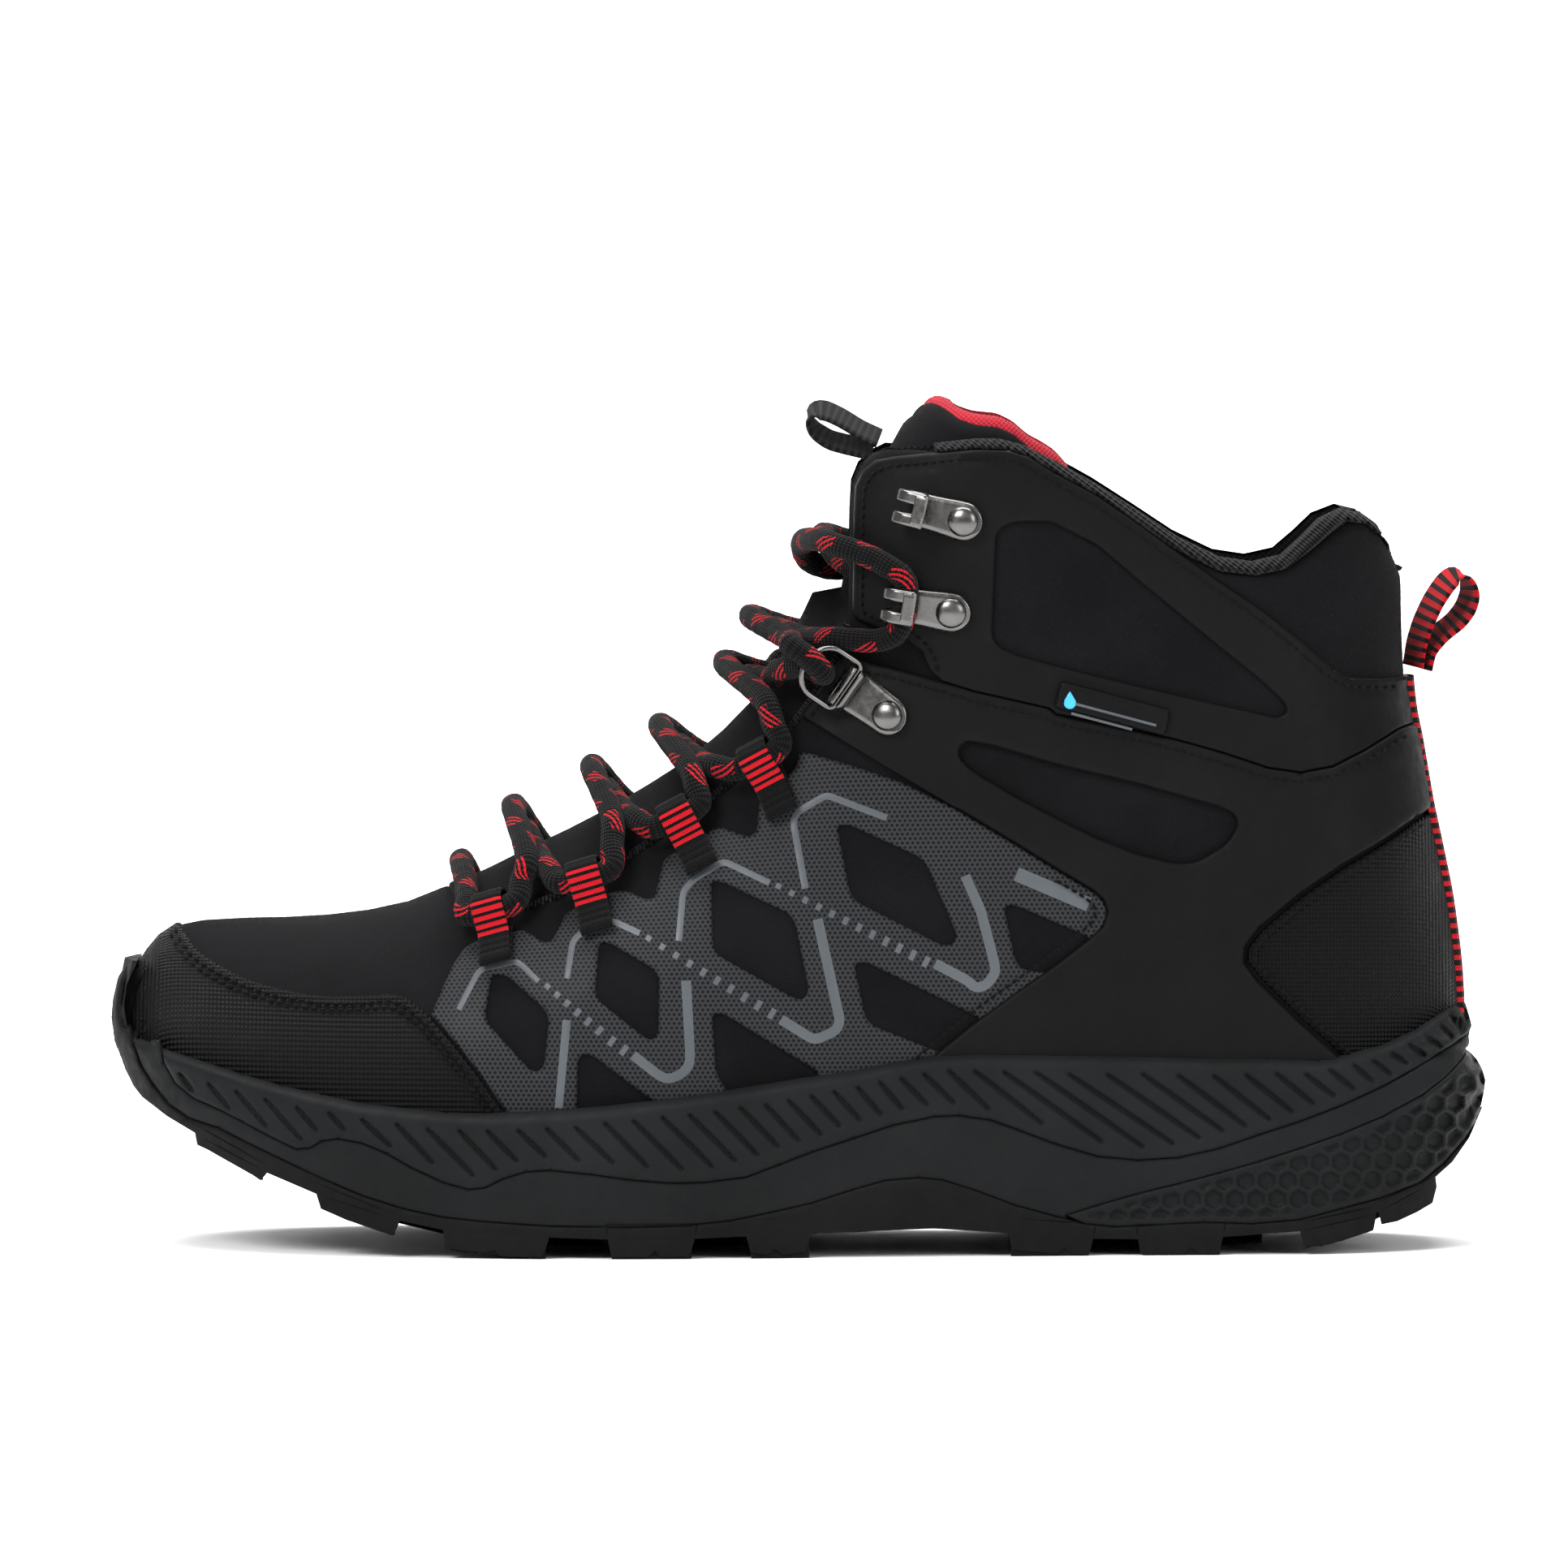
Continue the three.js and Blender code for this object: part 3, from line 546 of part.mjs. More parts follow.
for (const [level, rv, hk] of [["upper", [1186, 648], [1131, 634]], ["lower", [1171, 760], [1115, 751]]])
  for (const [side, name] of [[-1, "lateral"], [1, "medial"]]) {
    const r = mm(rv), h = mm(hk), l = Math.hypot(h[0] - r[0], h[1] - r[1]), dx = (h[0] - r[0]) / l, dz = (h[1] - r[1]) / l;
    const mx = (r[0] + h[0]) / 2, mz = (r[1] + h[1]) / 2;
    const M = frameAt(mx, mz, side, PLATE_BASE + 0.25, dx, dz);
    const d = l; // rivet to hook centre
    const plate = toSolid(roundedPlate(-d / 2, d / 2 + 1, 4.2, HOOK_W / 2, PLATE_T, true));
    // the hook: plate edge curls out and back over the slot
    const R0 = HOOK_SLOT / 2, R1 = R0 + PLATE_T, c = d / 2 + 1, yc = PLATE_T + R0, s = new THREE.Shape();
    s.moveTo(c - 0.4, 0);
    for (let i = 0; i <= 5; i++) { const a = -Math.PI / 2 + (Math.PI * i) / 5; s.lineTo(c + R1 * Math.cos(a), yc + R1 * Math.sin(a)); }
    s.lineTo(c - 3.4, yc + R1 + 0.5);
    s.lineTo(c - 3.6, yc + R1 - 0.3);
    for (let i = 0; i <= 5; i++) { const a = Math.PI / 2 - (Math.PI * i) / 5; s.lineTo(c + R0 * Math.cos(a), yc + R0 * Math.sin(a)); }
    s.lineTo(c - 0.4, PLATE_T);
    const hook = toSolid(new THREE.ExtrudeGeometry(s, { depth: HOOK_W, bevelEnabled: false, steps: 1 }).translate(0, 0, -HOOK_W / 2).rotateX(Math.PI / 2));
    add("lace_hook_" + level + "_" + name, placed(toGeometry(largest(plate.add(hook))), M), STEEL, 0.3, 1);
    const MR = M.clone().multiply(new THREE.Matrix4().makeTranslation(-d / 2, 0, PLATE_T + GAP));
    add("hook_rivet_" + level + "_" + name, placed(rivet(), MR), STEEL, 0.25, 1);
    hooks.push({ level, side, M, MR, d, c, mid: new THREE.Vector3(c - 0.4, 0, PLATE_T + R0).applyMatrix4(M), w: new THREE.Vector3(0, 1, 0).transformDirection(M) });
  }
const RING_D = 10.5, BARREL_L = RING_W - 2 * RING_WIRE - 0.8;
const rings = [];
for (const [side, name] of [[-1, "lateral"], [1, "medial"]]) {
  const r = mm([1094, 887]), b = mm([1047, 853]), l = Math.hypot(b[0] - r[0], b[1] - r[1]), dx = (b[0] - r[0]) / l, dz = (b[1] - r[1]) / l;
  const M = frameAt((r[0] + b[0]) / 2, (r[1] + b[1]) / 2, side, PLATE_BASE + 0.25, dx, dz);
  const axisX = l / 2, axisZ = PLATE_T + 2.4;
  const plate = toSolid(roundedPlate(-l / 2, axisX + 0.6, 4.3, BARREL_L / 2, PLATE_T, true));
  const web = toSolid(new THREE.BoxGeometry(1.6, BARREL_L, 1.8).translate(axisX - 0.6, 0, PLATE_T + 0.4));
  const ringSection = new THREE.Shape();
  for (let i = 0; i < 10; i++) { const a = (2 * Math.PI * i) / 10; i ? ringSection.lineTo(BARREL_R * Math.cos(a), BARREL_R * Math.sin(a)) : ringSection.moveTo(BARREL_R, 0); }
  const bore = new THREE.Path();
  for (let i = 0; i < 10; i++) { const a = (2 * Math.PI * i) / 10; i ? bore.lineTo((BARREL_BORE + 0.08) * Math.cos(a), (BARREL_BORE + 0.08) * Math.sin(a)) : bore.moveTo(BARREL_BORE + 0.08, 0); }
  const solidBarrel = toSolid(new THREE.CylinderGeometry(BARREL_R, BARREL_R, BARREL_L, 10).translate(axisX, 0, 0).applyMatrix4(new THREE.Matrix4().makeTranslation(0, 0, axisZ)));
  const boreCut = toSolid(new THREE.CylinderGeometry(BARREL_BORE + 0.08, BARREL_BORE + 0.08, BARREL_L + 4, 10).translate(axisX, 0, axisZ));
  add("d_ring_plate_" + name, placed(toGeometry(largest(plate.add(web).add(solidBarrel).subtract(boreCut))), M), STEEL, 0.3, 1);
  const MR = M.clone().multiply(new THREE.Matrix4().makeTranslation(-l / 2, 0, PLATE_T + GAP));
  add("d_ring_rivet_" + name, placed(rivet(), MR), STEEL, 0.25, 1);
  // the ring: a D whose straight leg runs in the barrel, tilted out from the surface
  const outer = new THREE.Shape(), w = RING_WIRE / 2, hw = RING_W / 2;
  outer.moveTo(-w, -hw);
  outer.lineTo(RING_D * 0.55, -hw);
  for (let i = 1; i <= 5; i++) { const a = -Math.PI / 2 + (Math.PI * i) / 5; outer.lineTo(RING_D * 0.55 + (RING_D * 0.45 + w) * Math.cos(a), hw * Math.sin(a)); }
  outer.lineTo(-w, hw);
  const inner = new THREE.Path(), iw = hw - RING_WIRE;
  inner.moveTo(w, -iw);
  inner.lineTo(w, iw);
  inner.lineTo(RING_D * 0.55, iw);
  for (let i = 1; i <= 5; i++) { const a = Math.PI / 2 - (Math.PI * i) / 5; inner.lineTo(RING_D * 0.55 + (RING_D * 0.45 - w) * Math.cos(a), iw * Math.sin(a)); }
  outer.holes.push(inner);
  const tilt = -0.42;
  const g = new THREE.ExtrudeGeometry(outer, { depth: RING_WIRE, bevelEnabled: false, steps: 1 }).translate(0, 0, -w).rotateY(tilt).translate(axisX, 0, axisZ);
  add("d_ring_" + name, placed(g, M), STEEL, 0.25, 1);
  const barLocal = new THREE.Vector3(RING_D, 0, 0).applyAxisAngle(new THREE.Vector3(0, 1, 0), tilt).add(new THREE.Vector3(axisX, 0, axisZ));
  rings.push({ side, M, l, axisX, axisZ, MR, bar: barLocal.clone().applyMatrix4(M), u: new THREE.Vector3(1, 0, 0).transformDirection(M), v: new THREE.Vector3(0, 1, 0).transformDirection(M), n: new THREE.Vector3(0, 0, 1).transformDirection(M), axisPoint: new THREE.Vector3(axisX, 0, axisZ).applyMatrix4(M) });
}

// ---- the lace: one cord, centre bar at the bottom, crossing up to the hooks ----
class Route extends THREE.Curve {
  constructor(pts) { super(); this.pts = pts; }
  getPointAt(u, target = new THREE.Vector3()) {
    const f = Math.min(1, Math.max(0, u)) * (this.pts.length - 1), i = Math.min(this.pts.length - 2, Math.floor(f + 1e-9));
    return target.copy(this.pts[i]).lerp(this.pts[i + 1], Math.max(0, f - i));
  }
  getPoint(u, target) { return this.getPointAt(u, target); }
  getTangentAt(u, target = new THREE.Vector3()) {
    const i = Math.round(Math.min(1, Math.max(0, u)) * (this.pts.length - 1));
    const a = i > 0 ? this.pts[i].clone().sub(this.pts[i - 1]).normalize() : null;
    const b = i < this.pts.length - 1 ? this.pts[i + 1].clone().sub(this.pts[i]).normalize() : null;
    return target.copy(a && b ? a.add(b) : a || b).normalize();
  }
  getTangent(u, target) { return this.getTangentAt(u, target); }
}
function tube(pts, r, sides) {
  const s = new THREE.Shape();
  for (let i = 0; i < sides; i++) { const a = (2 * Math.PI * i) / sides; i ? s.lineTo(r * Math.cos(a), r * Math.sin(a)) : s.moveTo(r, 0); }
  return new THREE.ExtrudeGeometry(s, { steps: pts.length - 1, extrudePath: new Route(pts), bevelEnabled: false });
}
const sT = polyLength(L.CF);
function crest(px, py, h) {
  const p = mm([px, py]), v = nearestS(L.CF, sT, p), q = polyAt(L.CF, sT, v), n = normals(L.CF);
  let i = 1;
  while (i < sT.length - 1 && v > sT[i]) i++;
  return new THREE.Vector3(q[0] + n[i][0] * h, centre(q[0]), q[1] + n[i][1] * h);
}
const CRESTS = [[575, 1094], [655, 1055], [757, 1003], [850, 946], [940, 857], [975, 795], [1024, 690]];
const H_LOW = LACE_R + 1.2, H_HIGH = H_LOW + 2 * LACE_R + 0.8;
const loopAt = (k, side) => loopFrames.find((f) => f.k === k && f.side === side);
const mixPt = (a, b, t) => a.clone().lerp(b, t);
// halfway down the flank between a crest and a point on the quarter, pushed out to clear both
function flank(a, b, t, side, h) {
  const m = mixPt(a, b, t);
  const y = Math.max(halfWidth(m.x, m.z, side, h), halfWidth(m.x, m.z, side, h - 3.5, true) * 0);
  const target = centre(m.x) + side * y;
  if ((target - m.y) * side > 0) m.y = target;
  return m;
}
// over the tongue: from a quarter point up to the crest, following the tongue's curve
function overTongue(from, crestIndex, side, high) {
  const h = high ? H_HIGH : H_LOW, c = crest(...CRESTS[crestIndex], h);
  const base = crest(...CRESTS[crestIndex], 0), l = Math.hypot(from.x - base.x, from.z - base.z);
  const step = (d, o, tongue) => spot(base.x + ((from.x - base.x) / l) * d, base.z + ((from.z - base.z) / l) * d, side, o, tongue);
  const edge = spot(from.x + (base.x - from.x) * 0.4, from.z + (base.z - from.z) * 0.4, side, high ? 6.6 : 5.2);
  const near = step(Math.min(3.2, l * 0.3), high ? H_HIGH - 0.5 : H_LOW + 0.5, true);
  return [edge, near, c];
}
function strand(first) {
  const pts = [];
  let side = first;
  const alternate = (k) => (k % 2 === 1) === (first < 0);
  const c0 = crest(...CRESTS[0], H_LOW);
  const L1 = loopAt(0, side);
  const through = (f) => {
    const hl = LOOP_W / 2 + 1.8;
    return [f.p.clone().addScaledVector(f.u, -hl), f.p.clone().addScaledVector(f.u, hl)];
  };
  let [e, x] = through(L1);
  pts.push(...rev(overTongue(e, 0, side, false)).slice(1), e, x);
  for (let k = 1; k <= 3; k++) {
    const over = alternate(k), c = crest(...CRESTS[k], over ? H_HIGH : H_LOW);
    const prev = pts.at(-1), f = loopAt(k, -side);
    const [e2, x2] = through(f);
    pts.push(...overTongue(prev, k, side, over), ...rev(overTongue(e2, k, -side, over)).slice(1), e2, x2);
    side = -side;
  }
  // over to the D-ring, round its bar and back over the tongue
  {
    const over = alternate(4), c = crest(...CRESTS[4], over ? H_HIGH : H_LOW), R = rings.find((r) => r.side === -side);
    const rr = RING_WIRE / 2 + LACE_R + 1.05;
    const inn = R.bar.clone().addScaledVector(R.v, -side * 0).addScaledVector(R.n, -rr), out = R.bar.clone().addScaledVector(R.n, rr);
    const vv = R.v.clone().multiplyScalar(R.v.z > 0 ? 1 : -1);
    inn.addScaledVector(vv, -1.2); out.addScaledVector(vv, 1.2);
    const away = R.u.clone().multiplyScalar(1);
    const turn1 = R.bar.clone().addScaledVector(R.u, -rr * 0.72).addScaledVector(R.n, -rr * 0.72).addScaledVector(vv, -0.7);
    const turn2 = R.bar.clone().addScaledVector(R.u, -rr).addScaledVector(vv, 0);
    const turn3 = R.bar.clone().addScaledVector(R.u, -rr * 0.72).addScaledVector(R.n, rr * 0.72).addScaledVector(vv, 0.7);
    pts.push(...overTongue(pts.at(-1), 4, side, over));
    side = -side;
    const far = inn.clone().addScaledVector(away, 4);
    pts.push(...rev(overTongue(far, 4, side, over)).slice(1), inn, turn1, turn2, turn3, out);
    const over5 = alternate(5), c5 = crest(...CRESTS[5], over5 ? H_HIGH : H_LOW);
    const clear = out.clone().addScaledVector(R.u, 3.5).addScaledVector(R.n, 0.6);
    pts.push(clear, ...overTongue(clear, 5, side, over5).slice(1));
    side = -side;
  }
  // the lower hook, then over the tongue and down behind the far quarter
  {
    const h = hooks.find((q) => q.level === "lower" && q.side === side), c5 = pts.at(-1);
    const vv = h.w.clone().multiplyScalar(h.w.z > 0 ? 1 : -1);
    const bottom = h.mid.clone().addScaledVector(vv, -5.2), top = h.mid.clone().addScaledVector(vv, 5.2);
    const low = spot(...mm([1085, 793]), side, 5.2), low0 = spot(...mm([1030, 792]), side, 5.4);
    pts.push(...rev(overTongue(low, 5, side, alternate(5))).slice(1, 2), low0, low, bottom, top);
    const over = alternate(6), up0 = spot(...mm([1088, 700]), side, 5.6), far = -side, tuck = -9.95;
    pts.push(up0, spot(7.5, 153.6, side, 5.4));
    if (over) pts.push(new THREE.Vector3(0.8, -0.8, 152.4), new THREE.Vector3(2.5, -0.8 + far * 7, 148.8), new THREE.Vector3(7.4, -0.8 + far * 12.5, 147));
    else pts.push(new THREE.Vector3(6.6, -0.8, 152.6), spot(9.2, 149.6, far, tuck));
    pts.push(spot(13.5, 147.6, far, tuck), spot(20, 147.2, far, tuck), spot(27, 147, far, tuck));
    side = far;
  }
  return pts;
}
const lat = strand(-1), med = strand(1);
const lacePoints = [...rev(lat), crest(...CRESTS[0], H_LOW), ...med];
let laceLength = 0;
for (let i = 1; i < lacePoints.length; i++) laceLength += lacePoints[i].distanceTo(lacePoints[i - 1]);
add("lace", toGeometry(toSolid(tube(lacePoints, LACE_R, 8))), 0x171718, 0.9);
for (const [name, pts] of [["one", lat], ["two", med]]) {
  const a = pts.at(-2), b = pts.at(-1), d = b.clone().sub(a).normalize(), side = Math.sign(b.y);
  const to = spot(b.x + 15, b.z - 0.4, side, -10).sub(b).normalize();
  add("aglet_" + name, toGeometry(toSolid(tube([b.clone().addScaledVector(d, 0.5), b.clone().addScaledVector(d, 0.5).addScaledVector(to, 15)], 1.5, 8))), 0x0d0d0e, 0.3);
}

// the lace ends lie in channels pressed into the lining and the tongue
const channels = [];
for (const pts of [lat, med]) {
  channels.push(toSolid(tube(pts.slice(-8), LACE_R + 0.35, 8)));
  const a = pts.at(-2), b = pts.at(-1), d = b.clone().sub(a).normalize(), side = Math.sign(b.y);
  const to = spot(b.x + 15, b.z - 0.4, side, -10).sub(b).normalize();
  channels.push(toSolid(tube([a.clone(), b.clone().addScaledVector(d, 0.5), b.clone().addScaledVector(to, 17)], LACE_R, 8)));
}
const channel = join(channels);
addSolid("lining", largest(lining.subtract(channel)), 0x252427, 0.95);
addSolid("tongue", largest(tongueLowSolid.subtract(channel)), CHARCOAL, 0.9);
addSolid("tongue_padding", largest(tonguePadSolid.subtract(channel)), 0x2a282a, 0.95);

// ---- pull loops ----
function strap(centreLine, width, thick) {
  // a ribbon whose middle line lies in the side view, closed at both ends
  const n = normals(centreLine), outer = centreLine.map((p, i) => [p[0] + (n[i][0] * thick) / 2, p[1] + (n[i][1] * thick) / 2]);
  const inner = centreLine.map((p, i) => [p[0] - (n[i][0] * thick) / 2, p[1] - (n[i][1] * thick) / 2]);
  return across([...outer, ...rev(inner)], -width / 2, width / 2);
}
const heelLoopLine = [[1745, 833], [1749, 806], [1757, 780], [1770, 752], [1786, 728], [1800, 717], [1811, 724], [1816, 742], [1811, 760], [1798, 777], [1778, 792], [1761, 811], [1756, 836]].map(mm);
addSolid("heel_pull_loop", strap(heelLoopLine, 17, 1.05), 0xa31d24, 0.9);
const tabLine = [[1076, 566], [1050, 560], [1022, 553], [1003, 540], [996, 524], [1003, 515], [1018, 516], [1040, 527], [1062, 541], [1084, 551]].map(mm);
addSolid("tongue_tab", strap(tabLine, 18, 1.2), 0x171718, 0.9);

// the frame's origin: the middle of the outer box in plan, at the lug faces
boot.position.set(0.052, -1.442, 0);
boot.updateMatrixWorld(true);

export default boot;
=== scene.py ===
import bpy, bmesh, math
import numpy as np
from mathutils import Vector, Matrix
from mathutils.geometry import delaunay_2d_cdt


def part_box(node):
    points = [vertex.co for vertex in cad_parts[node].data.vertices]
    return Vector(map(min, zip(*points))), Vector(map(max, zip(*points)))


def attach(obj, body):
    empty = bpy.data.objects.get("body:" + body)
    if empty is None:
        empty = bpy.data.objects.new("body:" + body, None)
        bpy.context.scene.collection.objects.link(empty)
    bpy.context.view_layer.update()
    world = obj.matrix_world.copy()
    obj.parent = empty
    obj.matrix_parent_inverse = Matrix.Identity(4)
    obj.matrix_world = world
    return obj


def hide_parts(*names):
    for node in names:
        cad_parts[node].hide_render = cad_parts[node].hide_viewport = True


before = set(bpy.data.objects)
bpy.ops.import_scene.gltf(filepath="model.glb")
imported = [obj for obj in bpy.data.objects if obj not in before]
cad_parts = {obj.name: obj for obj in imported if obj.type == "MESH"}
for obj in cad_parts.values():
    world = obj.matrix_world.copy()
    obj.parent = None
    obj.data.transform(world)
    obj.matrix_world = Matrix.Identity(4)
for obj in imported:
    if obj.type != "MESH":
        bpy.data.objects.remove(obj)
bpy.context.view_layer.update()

BOOT = "boot"
# the drawing's millimetres start 0.05 mm and 1.44 mm away from the row frame; the shank says by how much
_lo, _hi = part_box("shank")
DX, DY = _lo[0] * 1000 + 22.0, (_lo[1] + _hi[1]) * 500

